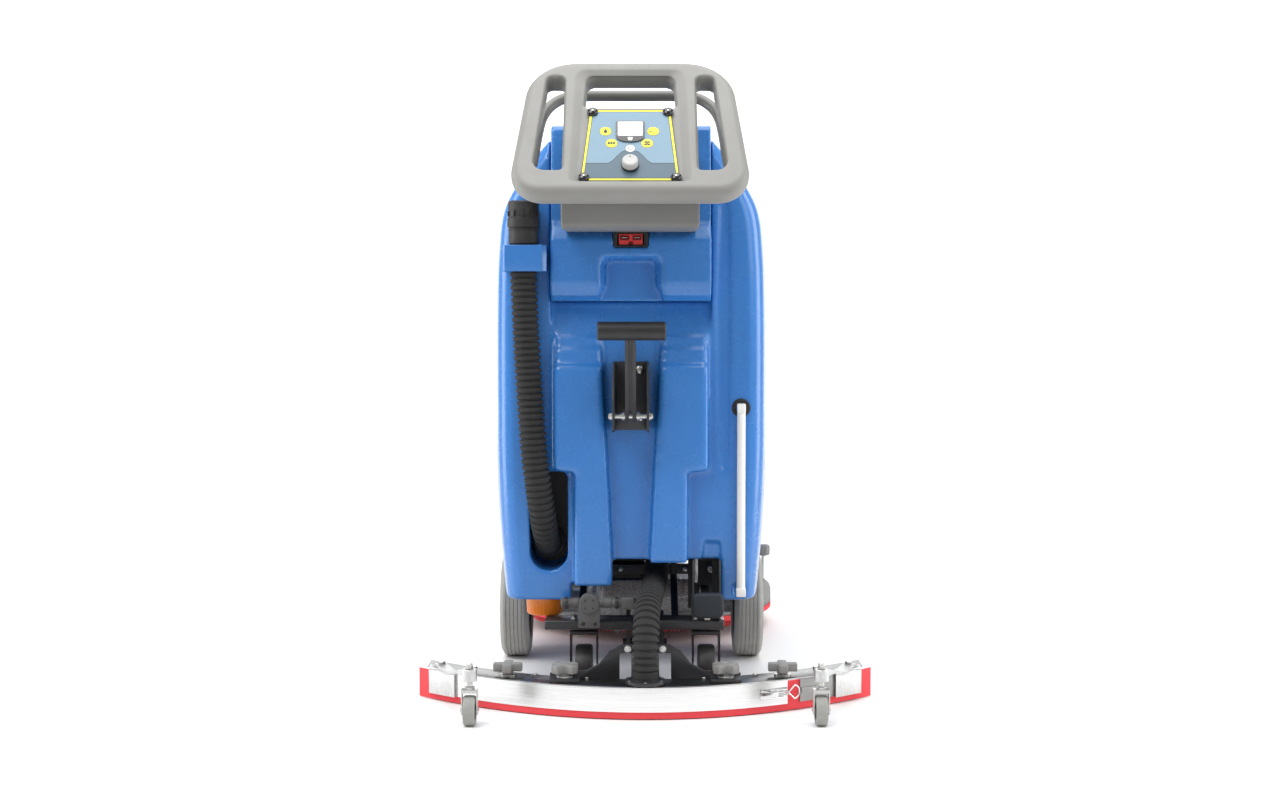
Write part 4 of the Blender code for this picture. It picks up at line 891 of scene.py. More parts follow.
def rear_taper(y):
    """The body narrows towards its rear face, on a curve that starts over the wheels."""
    return 1.0 - 0.08 * max(0.0, (TAPER_START - y) / (TAPER_START - CHEEK)) ** 2


def body_ring(z, rear, front, rear_radius=0.03, front_radius=0.19, height=None, scale=1.0):
    half = HALF * min(share_at(height or z), 1.0) * scale
    corner = min(front_radius, half * 0.9)
    x0, x1 = MIDDLE - half, MIDDLE + half
    steps = 14
    outline = rounded(x0, x1, rear, front, (rear_radius, rear_radius, corner, corner), steps)
    begin, end = rear + rear_radius, min(TAPER_START, front - corner)
    between = [begin + (end - begin) * k / 9 for k in range(1, 9)]
    turn = 2 * (steps + 1)
    outline = (outline[:turn] + [(x1, y) for y in between] + outline[turn:]
               + [(x0, y) for y in reversed(between)])
    return [(MIDDLE + (x - MIDDLE) * rear_taper(y), y, z) for x, y in outline]


def heights(low, high, step=0.014):
    count = max(1, round((high - low) / step))
    return [low + (high - low) * i / count for i in range(count + 1)]


def solution_front(z):
    lean = min(1.0, max(0.0, (z - 0.40) / 0.20))
    return TANK[1].y - 0.05 * lean


def column_edges(side, z):
    inner = 0.033 + 0.0167 * (z - FLOOR) / 0.33
    outer = 0.136 if z > 0.402 else 0.100
    edges = (MIDDLE + side * inner, MIDDLE + side * outer)
    return min(edges), max(edges)


def column(side):
    """A rear column: straight below, stepping back in two ledges under the housing."""
    rear = TANK[0].y
    steps = ((FLOOR, 0.0), (0.400, 0.0), (0.4045, 0.0), (0.578, 0.0), (0.586, 0.003),
             (0.592, 0.0115), (0.600, 0.014), (0.611, 0.0155), (0.616, 0.018), (0.622, 0.0235),
             (0.640, 0.0275), (0.6675, 0.033))
    rings = []
    for z, back in steps:
        x0, x1 = column_edges(side, z)
        outline = rounded(x0, x1, rear + back, CHEEK + 0.05, (0.010, 0.010, 0.002, 0.002), 5)
        rings.append([(x, y, z) for x, y in outline])
    return loft(rings)


def column_foot(side):
    low = 0.2004 if side < 0 else FLOOR - 0.002
    x0, x1 = column_edges(side, FLOOR)
    outline = rounded(x0, x1, TANK[0].y, CHEEK + 0.05, (0.010, 0.010, 0.002, 0.002), 5)
    return prism(outline, "Z", low, FLOOR + 0.004)


def solution_tank():
    lower = loft([body_ring(z, CHEEK, solution_front(z)) for z in heights(TANK[0].z, SEAM)])
    pillar_front = RECOVERY[0].y - 0.004
    upper = loft([body_ring(z, CHEEK, pillar_front, front_radius=0.012)
                  for z in heights(SEAM - 0.02, TANK[1].z, 0.010)])
    side = HOUSING[1].x - MIDDLE + 0.001
    between = (MIDDLE - side, MIDDLE + side)
    ledge = [(-0.45, 0.634), (-0.3865, 0.634), (-0.3790, 0.640), (-0.3600, 0.688),
             (-0.3580, 0.700), (-0.3580, 1.1), (-0.45, 1.1)]
    ledge = round_corners(ledge, [0, 0.004, 0.008, 0.006, 0.004, 0, 0], 4)
    steps = [("add", upper),
             ("cut", box(between, (-0.45, -0.2), (HOUSING[0].z - 0.0003, 1.1)))]
    steps += [("add", column(side)) for side in (-1, 1)]
    steps.append(("cut", prism(ledge, "X", *between)))
    steps.append(("cut", box((-0.131, 0.134), (-0.50, 0.70), (0.10, FLOOR))))
    steps += [("add", column_foot(side)) for side in (-1, 1)]
    steps.append(("cut", box((-0.40, 0.40), (-0.15, 0.70), (0.10, FLOOR))))
    battery = (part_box("battery_left"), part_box("battery_right"))
    steps.append(("cut", box((battery[0][0].x - 0.007, battery[1][1].x + 0.007),
                             (battery[0][0].y - 0.010, battery[0][1].y + 0.010),
                             (battery[0][0].z - 0.0003, 0.7), 0.004)))
    pocket = rounded(-0.204, -0.137, 0.2228, 0.399, (0.032, 0.032, 0.012, 0.012), 8)
    steps.append(("cut", prism(pocket, "Y", -0.5, -0.270)))
    band = [(0.128, 0.44), (0.136, 0.40), (0.150, 0.40), (0.152, 0.70), (0.150, 0.86),
            (0.140, 0.885), (0.130, 0.87), (0.124, 0.70)]
    steps.append(("cut", prism(round_corners(band, 0.004, 4), "Y", -0.5, CHEEK + 0.004)))
    recess = [(0.100, FLOOR - 0.003), (0.137, FLOOR - 0.003), (0.134, 0.2760), (0.103, 0.2760)]
    steps.append(("cut", prism(round_corners(recess, 0.003, 3), "Y", -0.5, CHEEK + 0.007)))
    socket = [(0.155, 0.176), (0.184, 0.176), (0.184, 0.200), (0.155, 0.200)]
    steps.append(("cut", prism(round_corners(socket, 0.003, 3), "Y", -0.5, CHEEK + 0.006)))
    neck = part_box("filler_cap")
    radius = (neck[1].x - neck[0].x) / 2 - 0.012
    filler = (MIDDLE, (neck[0].y + neck[1].y) / 2, 0.0)
    steps.append(("cut", turned([(radius, 0.50), (radius, 0.70)], filler, sides=32)))
    mesh = carved(lower, *steps)
    made = moulded("solution_tank_skin", mesh, finish("tank_blue"), sizes().skin_voxel,
                   sizes().skin_rounds)
    return stand_for(made, "solution_tank")


def rear_housing():
    x0, x1 = HOUSING[0].x, HOUSING[1].x
    low, high = HOUSING[0].z, HOUSING[1].z - 0.0150
    rear, front = HOUSING[0].y, HOUSING[1].y
    side = [(front, low), (rear + 0.024, low), (rear + 0.009, low + 0.010),
            (rear + 0.002, low + 0.026), (rear, low + 0.034), (rear, low + 0.106),
            (rear + 0.003, low + 0.112), (rear + 0.020, low + 0.132), (rear + 0.026, low + 0.142),
            (rear + 0.026, low + 0.215), (rear + 0.040, high - 0.008), (rear + 0.046, high),
            (front, high)]
    arches = []
    for y, half, top in ((rear - 0.020, 0.0760, 0.0960), (rear, 0.0575, 0.0790),
                         (rear + 0.004, 0.0530, 0.0765), (rear + 0.012, 0.0475, 0.0740),
                         (rear + 0.0345, 0.0437, 0.0724)):
        arch = [(-half - 0.020, -0.02), (-half - 0.010, 0.006), (-half, 0.028), (-half, top),
                (half, top), (half, 0.028), (half + 0.010, 0.006), (half + 0.020, -0.02)]
        arch = round_corners(arch, [0, 0.010, 0.018, 0.013, 0.013, 0.018, 0.010, 0], 7)
        arches.append([(MIDDLE + x, y, low + z) for x, z in arch])
    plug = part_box("charger_socket")
    mesh = carved(prism(side, "X", x0, x1),
                  ("cut", loft(arches)),
                  ("cut", box((plug[0].x - 0.0003, plug[1].x + 0.0003), (-0.5, plug[1].y + 0.0003),
                              (plug[0].z - 0.0003, plug[1].z + 0.0003))))
    made = moulded("rear_housing_skin", mesh, finish("tank_blue"), 0.0024, 5, 0.4)
    return stand_for(made, "rear_housing")


def recovery_front(z):
    return RECOVERY[1].y - 0.16 * (z - SEAM)


def recovery_tank():
    low, top = RECOVERY[0].z, RECOVERY[1].z
    rear = RECOVERY[0].y
    wall = 0.008
    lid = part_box("tank_lid")
    lap = 0.022

    def shell(z, inset):
        share = 0.988 - 0.018 * min(1.0, max(0.0, (z - 0.925) / 0.02))
        ring = body_ring(z, rear + inset, recovery_front(z) - inset, 0.03, 0.15, min(z, 0.93),
                         share)
        reach = HALF * share_at(min(z, 0.93)) * share
        return [(MIDDLE + (x - MIDDLE) * (reach - inset) / reach, y, z) for x, y, z in ring]

    outer = loft([shell(z, 0.0) for z in heights(low, top)])
    inner = loft([shell(z, wall) for z in heights(low + wall, top - wall)])
    mouth = rounded(lid[0].x + lap, lid[1].x - lap, lid[0].y + lap, lid[1].y - lap, 0.03, 8)
    mesh = carved(outer, ("cut", inner), ("cut", prism(mouth, "Z", top - 0.05, top + 0.05)))
    made = moulded("recovery_tank_skin", mesh, finish("tank_blue"), sizes().skin_voxel,
                   sizes().skin_rounds)
    return stand_for(made, "recovery_tank")


class SCRUBBER_OT_tanks(Operator):
    """Solution tank, rear housing and recovery tank as rotational mouldings"""

    bl_idname = "scrubber.tanks"
    bl_label = "Tanks"

    def execute(self, context):
        solution_tank()
        rear_housing()
        recovery_tank()
        return {"FINISHED"}


# ------------------------------------------------------------------ console
OUT = Vector(JOINTS["speed_knob_turn"]["axis"])          # square to the console, to the user
UP = Vector((0.0, OUT.z, -OUT.y))                        # up the console's slope
FACE = 0.0153                                            # printed face of the panel plate
KNOB_V = 0.043
ORIGIN = Vector(JOINTS["speed_knob_turn"]["pos_m"]) - UP * KNOB_V - OUT * FACE
THICK = 0.019                                            # half thickness of the ring
BUTTONS = {
    "button_water": (-0.0405, 0.120),
    "button_battery": (-0.0306, 0.0927),
    "button_squeegee": (0.0376, 0.120),
    "button_vacuum": (0.0277, 0.0927),
    "button_power": (0.0, 0.081),
}


def on_console(u, v, n):
    """A point in the console's own plane: u across, v up the slope, n out to the user."""
    return ORIGIN + Vector((u, 0.0, 0.0)) + UP * v + OUT * n


def slab(layers):
    """A solid through outlines that lie in the console's plane; each layer is (n, outline)."""
    return loft([[on_console(u, v, n) for u, v in outline] for n, outline in layers])


def grown(points, by):
    """A four-cornered outline with each corner moved outwards both ways."""
    mid_u = sum(p[0] for p in points) / len(points)
    mid_v = sum(p[1] for p in points) / len(points)
    return [(u + (by if u > mid_u else -by), v + (by if v > mid_v else -by)) for u, v in points]


def pin(u, v, radius, low, high, sides=28, crown=0.0):
    """A round pin square to the console, its top edge rounded by the crown."""
    profile = [(radius, low), (radius, high - crown)]
    if crown:
        profile += [(radius - crown * (1 - cos(a)), high - crown + crown * sin(a))
                    for a in [pi / 2 * i / 5 for i in range(1, 6)]]
    return slab([(n, [(u + r * cos(2 * pi * i / sides), v + r * sin(2 * pi * i / sides))
                      for i in range(sides)]) for r, n in profile])


def console_outline(inset):
    low, high = -0.0175 + inset, 0.285 - inset
    b, t = 0.1990 - inset, 0.1685 - inset
    radii = [0.054 - inset, 0.054 - inset, 0.084 - inset, 0.084 - inset]
    return round_corners([(-b, low), (b, low), (t, high), (-t, high)], radii, 16)


def ring_slab(radius):
    """The slab of the console with its rim rounded all round."""
    flat = THICK - radius
    layers = []
    for i in range(-8, 9):
        a = pi / 2 * i / 8
        if i == 0:
            layers += [(-flat, console_outline(0.0)), (flat, console_outline(0.0))]
        else:
            level = flat * (1 if i > 0 else -1) + radius * sin(a)
            layers.append((level, console_outline(radius * (1 - cos(a)))))
    return slab(layers)


def flared(corners, radii, flare, depth=0.012):
    """A cutter through the ring whose edges open out to both faces."""
    layers = []
    for n, by in ((-THICK - 0.004, flare + 0.004), (-THICK, flare),
                  (-THICK + depth * 0.4, flare * 0.3), (-THICK + depth, 0.0),
                  (THICK - depth, 0.0), (THICK - depth * 0.4, flare * 0.3),
                  (THICK, flare), (THICK + 0.004, flare + 0.004)):
        layers.append((n, round_corners(grown(corners, by), [r + by for r in radii], 7)))
    return slab(layers)


def console_ring():
    steps = []
    for side in (-1, 1):
        corners = [(side * 0.1575, 0.034), (side * 0.111, 0.034), (side * 0.111, 0.245),
                   (side * 0.1385, 0.245)]
        radii = [0.018, 0.006, 0.0095, 0.0095]
        if side > 0:
            corners.reverse()
            radii.reverse()
        steps.append(("cut", flared(corners, radii, 0.0035)))
    tray = []
    for n, by in ((THICK + 0.006, 0.007), (THICK, 0.0), (0.012, -0.015), (0.0117, -0.016)):
        tray.append((n, round_corners(
            [(-0.100 - by, 0.0065 - by * 0.1), (0.100 + by, 0.0065 - by * 0.1),
             (0.093 + by, 0.262 + by), (-0.093 - by, 0.262 + by)],
            [0.004, 0.004, 0.020, 0.020], 8)))
    steps.append(("cut", slab(tray)))
    through = [(-0.076, 0.180), (0.076, 0.180), (0.072, 0.252), (-0.072, 0.252)]
    hole = [(-THICK - 0.01, 0.004), (-THICK, 0.003), (-0.010, 0.0), (0.004, 0.0), (0.013, 0.003)]
    steps.append(("cut", slab([(n, round_corners(grown(through, by), [0.008, 0.008, 0.018, 0.018],
                                                 8)) for n, by in hole])))
    for name, (u, v) in BUTTONS.items():
        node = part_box(name)
        radius = (node[1].x - node[0].x) / 2 + 0.003
        steps.append(("cut", pin(u, v, radius, FACE - 0.015, THICK + 0.01, 16)))
    mesh = carved(ring_slab(0.0155), *steps)
    made = moulded("console_ring", mesh, finish("shell_grey"), 0.0019, 3, 0.45)
    return stand_for(made, "console")


def console_neck():
    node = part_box("console_neck")
    back = HOUSING[0].y + 0.0257
    low = on_console(0.0, 0.008, -THICK - 0.0003)
    high = on_console(0.0, 0.165, -THICK - 0.0003)
    side = [(low.y, low.z), (low.y + 0.010, node[0].z + 0.0055), (low.y + 0.025, node[0].z),
            (back, 0.8208), (back, high.z - 0.03), (high.y, high.z)]
    side = [(min(y, back), z) for y, z in side]
    mesh = carved(prism(side, "X", node[0].x, node[1].x))
    # The neck's darker grey is painted shadow from the console ring.
    return stand_for(moulded("console_neck_shell", mesh, finish("neck_painted_shadow"), 0.0022, 7, 0.4),
                     "console_neck")


def bail_tube():
    u, v, n = 0.163, 0.085, -0.0300
    left = [(-u, v, n), (-u + 0.003, 0.12, -0.034), (-u + 0.006, 0.17, -0.044),
            (-u + 0.012, 0.22, -0.054), (-u + 0.026, 0.255, -0.0595), (-u + 0.052, 0.276, -0.061),
            (-0.07, 0.2805, -0.061), (0.0, 0.2805, -0.061)]
    route = left + [(-a, b, c) for a, b, c in reversed(left[:-1])]
    points = smooth_route([on_console(*p) for p in route], 0.006)
    total = 0.006 * len(points)
    radius = 0.0094

    def radius_at(reach):
        near = min(reach, total - reach)
        return radius * (0.8 + 0.2 * min(1.0, max(0.0, near) / 0.004))

    made = solid("drive_bail_tube", swept(points, radius_at, 26), finish("bail_paint"), 60.0)
    return stand_for(made, "drive_bail")


class SCRUBBER_OT_console(Operator):
    """Ring console with its tray, the neck under it and the bail behind it"""

    bl_idname = "scrubber.console"
    bl_label = "Console"

    def execute(self, context):
        console_ring()
        console_neck()
        bail_tube()
        return {"FINISHED"}


# ------------------------------------------------------------------ control panel
LAYER = 0.00006            # thickness of one printed layer of the overlay


def trapezoid(inset, top=0.170, bottom=0.010):
    b, t = 0.080 - inset, 0.067 - inset
    return [(-b, bottom + inset), (b, bottom + inset), (t, top - inset), (-t, top - inset)]


def button_holes(low, high):
    holes = []
    for name, (u, v) in BUTTONS.items():
        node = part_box(name)
        holes.append(("cut", pin(u, v, (node[1].x - node[0].x) / 2 + 0.0004, low, high, 28)))
    return holes


def band_height(u):
    """Upper edge of the panel's darker band: level, with a hump round the speed knob."""
    t = min(1.0, max(0.0, (0.0375 - abs(u)) / 0.0290))
    return 0.0475 + 0.0275 * t * t * (3 - 2 * t)


def band_outline(inset, lift):
    b, low = 0.080 - inset, 0.010 + inset
    lean = 0.013 / 0.160
    count = 48
    top = []
    for i in range(count + 1):
        share = 1 - 2 * i / count
        u = share * (b - lean * (0.0475 - low))
        top.append((u, band_height(u) + lift))
    return [(-b, low), (b, low)] + top


def printed(name, outline, colour, layer, holes=True):
    low = FACE + LAYER * layer
    high = low + LAYER
    base = slab([(low, outline), (high, outline)])
    mesh = carved(base, *(button_holes(low - 0.001, high + 0.001) if holes else []))
    return fit(dressed(name, mesh, finish(colour), 30.0), "control_panel")


def flat_mark(name, node, outlines, colour, level):
    """A printed mark of one or more outlines, 0.1 mm thick, that moves with its node."""
    shapes = [slab([(level, outline), (level + 0.0001, outline)]) for outline in outlines]
    return add(node, name, joined(shapes), colour, 30.0)


def circle(u, v, radius, sides=24, squash=1.0):
    return [(u + radius * cos(2 * pi * i / sides), v + squash * radius * sin(2 * pi * i / sides))
            for i in range(sides)]


def sector(u, v, inner, outer, start, end, steps=10):
    outside = arc((u, v), outer, start, end, steps)
    return outside + arc((u, v), inner, end, start, steps)


def button_mark_outlines(name, u, v):
    if name == "button_water":
        drop = [(u + r * cos(a), v - 0.0012 + r * sin(a)) for r, a in
                [(0.0032, radians(d)) for d in range(-200, 21, 20)]]
        return [drop + [(u, v + 0.0055)]]
    if name == "button_battery":
        cells = [[(u - 0.0060 + 0.0042 * k, v - 0.0026), (u - 0.0026 + 0.0042 * k, v - 0.0026),
                  (u - 0.0026 + 0.0042 * k, v + 0.0026), (u - 0.0060 + 0.0042 * k, v + 0.0026)]
                 for k in range(3)]
        return cells + [[(u + 0.0068, v - 0.0012), (u + 0.0080, v - 0.0012),
                         (u + 0.0080, v + 0.0012), (u + 0.0068, v + 0.0012)]]
    if name == "button_squeegee":
        blade = [(u - 0.0062, v - 0.0022), (u - 0.0012, v - 0.0006), (u - 0.0018, v + 0.0014),
                 (u - 0.0066, v - 0.0004)]
        drops = [circle(u + 0.0014 + 0.0026 * k, v + 0.0010 - 0.0012 * (k % 2), 0.0009, 10)
                 for k in range(3)]
        return [blade] + drops
    if name == "button_vacuum":
        blades = []
        for k in range(4):
            a = pi / 4 + pi / 2 * k
            c = (u + 0.0036 * cos(a), v + 0.0036 * sin(a))
            blades.append([(c[0] + 0.0024 * cos(t + a) * 1.1, c[1] + 0.0024 * sin(t + a) * 0.8)
                           for t in [2 * pi * i / 14 for i in range(14)]])
        return blades + [circle(u, v, 0.0012, 12)]
    bar = [(u - 0.0005, v + 0.0005), (u + 0.0005, v + 0.0005), (u + 0.0005, v + 0.0042),
           (u - 0.0005, v + 0.0042)]
    return [sector(u, v, 0.0028, 0.0038, 120, 420, 18), bar]


def panel_buttons():
    for name, (u, v) in BUTTONS.items():
        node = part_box(name)
        radius = (node[1].x - node[0].x) / 2
        low = FACE - 0.006
        cap = pin(u, v, radius, low, FACE + 0.0007, 32, 0.0004)
        colour = "overlay_white" if name == "button_power" else "overlay_yellow"
        replace(name, name + "_cap", cap, colour, 40.0)
        flat_mark(name + "_mark", name, button_mark_outlines(name, u, v), "overlay_black",
                  FACE + 0.0007)


def panel_display():
    low, high = 0.0945, 0.1425
    half = 0.0235
    bowl = [(half * cos(a), 0.1075 + (0.1075 - low) * sin(a))
            for a in [radians(180 + 180 * i / 20) for i in range(21)]]
    frame_outline = bowl + arc((half - 0.003, high - 0.003), 0.003, 0, 90, 5) \
        + arc((-half + 0.003, high - 0.003), 0.003, 90, 180, 5)
    bezel = slab([(FACE + 0.0003, frame_outline), (FACE + 0.0022, frame_outline)])
    ease_edges(bezel, 0.0003, 2, 60.0)
    replace("display", "display_bezel", bezel, "display_glass", 40.0)
    screen = rounded(-0.0203, 0.0203, 0.1085, 0.1400, 0.0012, 4)
    flat_mark("display_screen", "display", [screen], "display_lit", FACE + 0.0022)
    lamp = round_corners([(-0.0042, 0.1050), (0.0042, 0.1050), (0.0030, 0.0982),
                          (-0.0030, 0.0982)], 0.0010, 4)
    flat_mark("display_lamp", "display", [lamp], "overlay_white", FACE + 0.0022)


def speed_knob():
    """A silver knob with a skirt, a waisted side and a grip of fine flutes."""
    u, v = 0.0, KNOB_V
    sides = 96
    skirt = pin(u, v, 0.0145, FACE + 0.0004, FACE + 0.0035, 48, 0.0008)
    add("speed_knob", "speed_knob_skirt", skirt, "black_moulding", 40.0)
    layers = []
    for n, r, flute in ((0.0036, 0.0132, 0.0), (0.0042, 0.0134, 0.0003), (0.0118, 0.0127, 0.0003),
                        (0.0134, 0.0124, 0.0002), (0.0145, 0.0114, 0.0), (0.0150, 0.0098, 0.0),
                        (0.0148, 0.0092, 0.0), (0.0150, 0.0030, 0.0)):
        outline = []
        for i in range(sides):
            a = 2 * pi * i / sides
            reach = r - flute * (1 if i % 4 < 2 else 0)
            outline.append((u + reach * cos(a), v + reach * sin(a)))
        layers.append((FACE + n, outline))
    replace("speed_knob", "speed_knob_body", slab(layers), "knob_silver")
    line = [(u - 0.0006, v + 0.0040), (u + 0.0006, v + 0.0040), (u + 0.0006, v + 0.0088),
            (u - 0.0006, v + 0.0088)]
    flat_mark("speed_knob_line", "speed_knob", [line], "overlay_black", FACE + 0.01495)


def panel_screws():
    """Domed socket screws at the four corners of the panel."""
    places = [(side * u, v) for u, v in ((0.0745, 0.0165), (0.0625, 0.1635)) for side in (-1, 1)]
    for number, (u, v) in enumerate(places, 1):
        profile = [(0.0094, 0.0)] + [(0.0094 * cos(a), 0.0006 + 0.0060 * sin(a))
                                     for a in [radians(75) * i / 9 for i in range(10)]]
        profile += [(0.0021, 0.0058), (0.0020, 0.0028)]
        head = turned_about(profile, on_console(u, v, FACE + 0.0002), OUT, 32)
        add("control_panel", "panel_screw_%d" % number, head, "display_glass", 50.0)
        dot = turned_about([(0.0020, 0.0040), (0.0020, 0.0060), (0.0014, 0.0064)],
                           on_console(u, v, FACE), OUT, 16)
        add("control_panel", "panel_screw_%d_pin" % number, dot, "zinc", 40.0)


class SCRUBBER_OT_panel(Operator):
    """Printed overlay, keys, display, speed knob and the four screws of the panel"""

    bl_idname = "scrubber.panel"
    bl_label = "Control panel"

    def execute(self, context):
        plate = trapezoid(0.0)
        low = FACE - 0.003
        mesh = carved(slab([(low, plate), (FACE, plate)]), *button_holes(low - 0.01, FACE + 0.01))
        stand_for(dressed("panel_plate", mesh, finish("overlay_black"), 30.0), "control_panel")
        printed("overlay_border", trapezoid(0.0010), "overlay_yellow", 0)
        printed("overlay_edge", trapezoid(0.0046), "overlay_black", 1)
        printed("overlay_field", trapezoid(0.0056), "overlay_blue", 2)
        printed("overlay_line", band_outline(0.0056, 0.0014), "overlay_black", 3)
        printed("overlay_low_band", band_outline(0.0056, 0.0), "overlay_band", 4)
        panel_display()
        panel_buttons()
        speed_knob()
        panel_screws()
        return {"FINISHED"}


# ------------------------------------------------------------------ charger socket
class SCRUBBER_OT_charger(Operator):
    """Two-pole battery connector in its black housing"""

    bl_idname = "scrubber.charger"
    bl_label = "Charger socket"

    def execute(self, context):
        low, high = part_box("charger_socket")
        x, z = (low.x + high.x) / 2, (low.z + high.z) / 2
        half_x, half_z = (high.x - low.x) / 2, (high.z - low.z) / 2
        shell = prism(rounded(x - half_x, x + half_x, z - half_z, z + half_z, 0.0045), "Y",
                      low.y, high.y)
        cavity = prism(rounded(x - 0.0235, x + 0.0235, z - 0.0100, z + 0.0105, 0.0015), "Y",
                       low.y - 0.01, low.y + 0.018)
        mesh = carved(shell, ("cut", cavity))
        stand_for(dressed("charger_shell", mesh, finish("black_moulding"), 35.0),
                  "charger_socket")
        insert = prism([(x - 0.0205, z - 0.0085), (x + 0.0205, z - 0.0085),
                        (x + 0.0205, z + 0.0095), (x - 0.0205, z + 0.0095)], "Y", low.y + 0.0015,
                       low.y + 0.0175)
        steps = []
        for side in (-1, 1):
            cx = x + side * 0.0108
            steps.append(("cut", prism(rounded(cx - 0.0078, cx + 0.0078, z - 0.0005, z + 0.0078,
                                               0.0008, 3), "Y", low.y - 0.01, low.y + 0.014)))
        steps.append(("cut", prism(rounded(x - 0.0042, x + 0.0042, z - 0.0100, z - 0.0028,
                                           0.0006, 3), "Y", low.y - 0.01, low.y + 0.012)))
        mesh = carved(insert, *steps)
        fit(dressed("charger_insert", mesh, finish("connector_red"), 35.0), "charger_socket")
        tongues = [box((x + side * 0.0108 - 0.0055, x + side * 0.0108 + 0.0055),
                       (low.y + 0.006, low.y + 0.0165), (z + 0.0030, z + 0.0044), 0.0004)
                   for side in (-1, 1)]
        add("charger_socket", "charger_contacts", joined(tongues), "zinc")
        return {"FINISHED"}


# ------------------------------------------------------------------ hoses
INLET_Y = -0.545          # the suction inlet stands here on the squeegee's centre line
DRAIN_RADIUS = 0.0235
SUCTION_RADIUS = 0.0225
DRAIN_ROUTE = (
    (-0.2115, -0.408, 0.7983), (-0.2115, -0.408, 0.74), (-0.208, -0.408, 0.65),
    (-0.202, -0.408, 0.54), (-0.195, -0.4065, 0.44), (-0.188, -0.4030, 0.38),
    (-0.181, -0.3890, 0.325), (-0.1765, -0.3620, 0.286), (-0.1743, -0.3300, 0.268),
    (-0.1740, -0.2960, 0.2640), (-0.1740, -0.2712, 0.2637))
SUCTION_ROUTE = (
    (0.0, INLET_Y, 0.0668), (0.0, INLET_Y, 0.095), (0.0005, -0.5405, 0.128),
    (0.002, -0.5220, 0.158), (0.005, -0.4850, 0.178), (0.010, -0.4300, 0.186),
    (0.014, -0.3650, 0.188), (0.018, -0.3050, 0.193), (0.0205, -0.2665, 0.205),
    (0.0207, -0.2580, 0.225), (0.0207, -0.2578, FLOOR - 0.0025))


def ribbed_tube(route, radius):
    """A flexible hose: square-shouldered ribs round it, a plain collar at each end."""
    pitch, depth = sizes().hose_pitch, sizes().hose_depth
    points = smooth_route(route, pitch / 14)
    total = sum((b - a).length for a, b in zip(points, points[1:]))
    collar = 0.012

    def radius_at(reach):
        near = min(reach, total - reach)
        if near < collar:
            return radius - 0.0008
        t = (reach / pitch) % 1.0
        rise = min(1.0, max(0.0, (t - 0.24) / 0.10)) * min(1.0, max(0.0, (0.98 - t) / 0.10))
        crown = 0.0005 * (1.0 - ((t - 0.61) / 0.37) ** 2)
        return radius - 0.0005 + (crown if rise > 0.99 else 0.0) - depth * (1.0 - rise)

    return swept(points, radius_at, 40)


class SCRUBBER_OT_drain_hose(Operator):
    """Ribbed drain hose with its cuff, plug, strap and the port in the pocket"""

    bl_idname = "scrubber.drain_hose"
    bl_label = "Drain hose"

    def execute(self, context):
        replace("drain_hose", "drain_hose_ribbed", ribbed_tube(DRAIN_ROUTE, DRAIN_RADIUS),
                "hose_black", 40.0)
        low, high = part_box("drain_cap")
        x, y = (low.x + high.x) / 2, (low.y + high.y) / 2
        z = low.z
        r = 0.0258
        profile = [(r - 0.004, 0.0), (r, 0.001), (r, 0.0235), (r + 0.0012, 0.0245),
                   (r + 0.0012, 0.0262), (r, 0.0272), (r, 0.0285), (r + 0.0024, 0.0300),
                   (r + 0.0024, 0.0450), (r, 0.0470), (r, 0.0585), (r + 0.0010, 0.0600),
                   (r + 0.0010, 0.0730), (r - 0.001, 0.0751), (0.020, 0.0751), (0.0195, 0.0700),
                   (0.0100, 0.0700), (0.0095, 0.0735), (0.004, 0.0735)]
        sleeve = turned([(a, z + b) for a, b in profile], (x, y, 0.0), sides=56)
        replace("drain_cap", "drain_cuff", sleeve, "cuff_black")
        tabs = []
        for k in range(10):
            a = 2 * pi * (k + 0.5) / 10
            spot = Matrix.Translation((x, y, 0.0)) @ Matrix.Rotation(a, 4, "Z")
            tab = box((r + 0.0005, r + 0.0026), (-0.0022, 0.0022), (z + 0.048, z + 0.0575), 0.0005)
            bmesh.ops.transform(tab, matrix=spot, verts=tab.verts)
            tabs.append(tab)
        add("drain_cap", "drain_cuff_lugs", joined(tabs), "cuff_black")
        strap()
        port()
        return {"FINISHED"}


def strap():
    low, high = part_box("hose_strap")
    x0, x1, y0, y1 = low.x, high.x, low.y, high.y
    wall = 0.004
    outer = [(x0, y1), (x0, y0 + 0.006), (x0 + 0.005, y0), (x1 - 0.008, y0), (x1, y0 + 0.008),
             (x1, CHEEK - 0.0003)]
    inner = [(x1 - wall, CHEEK - 0.0003), (x1 - wall, y0 + 0.0085), (x1 - 0.0095, y0 + wall),
             (x0 + 0.0065, y0 + wall), (x0 + wall, y0 + 0.0075), (x0 + wall, y1)]
    band = prism(outer + inner, "Z", low.z, high.z)
    ease_edges(band, 0.0011, 3, 30.0)
    replace("hose_strap", "hose_strap_band", band, "tank_blue", 50.0)


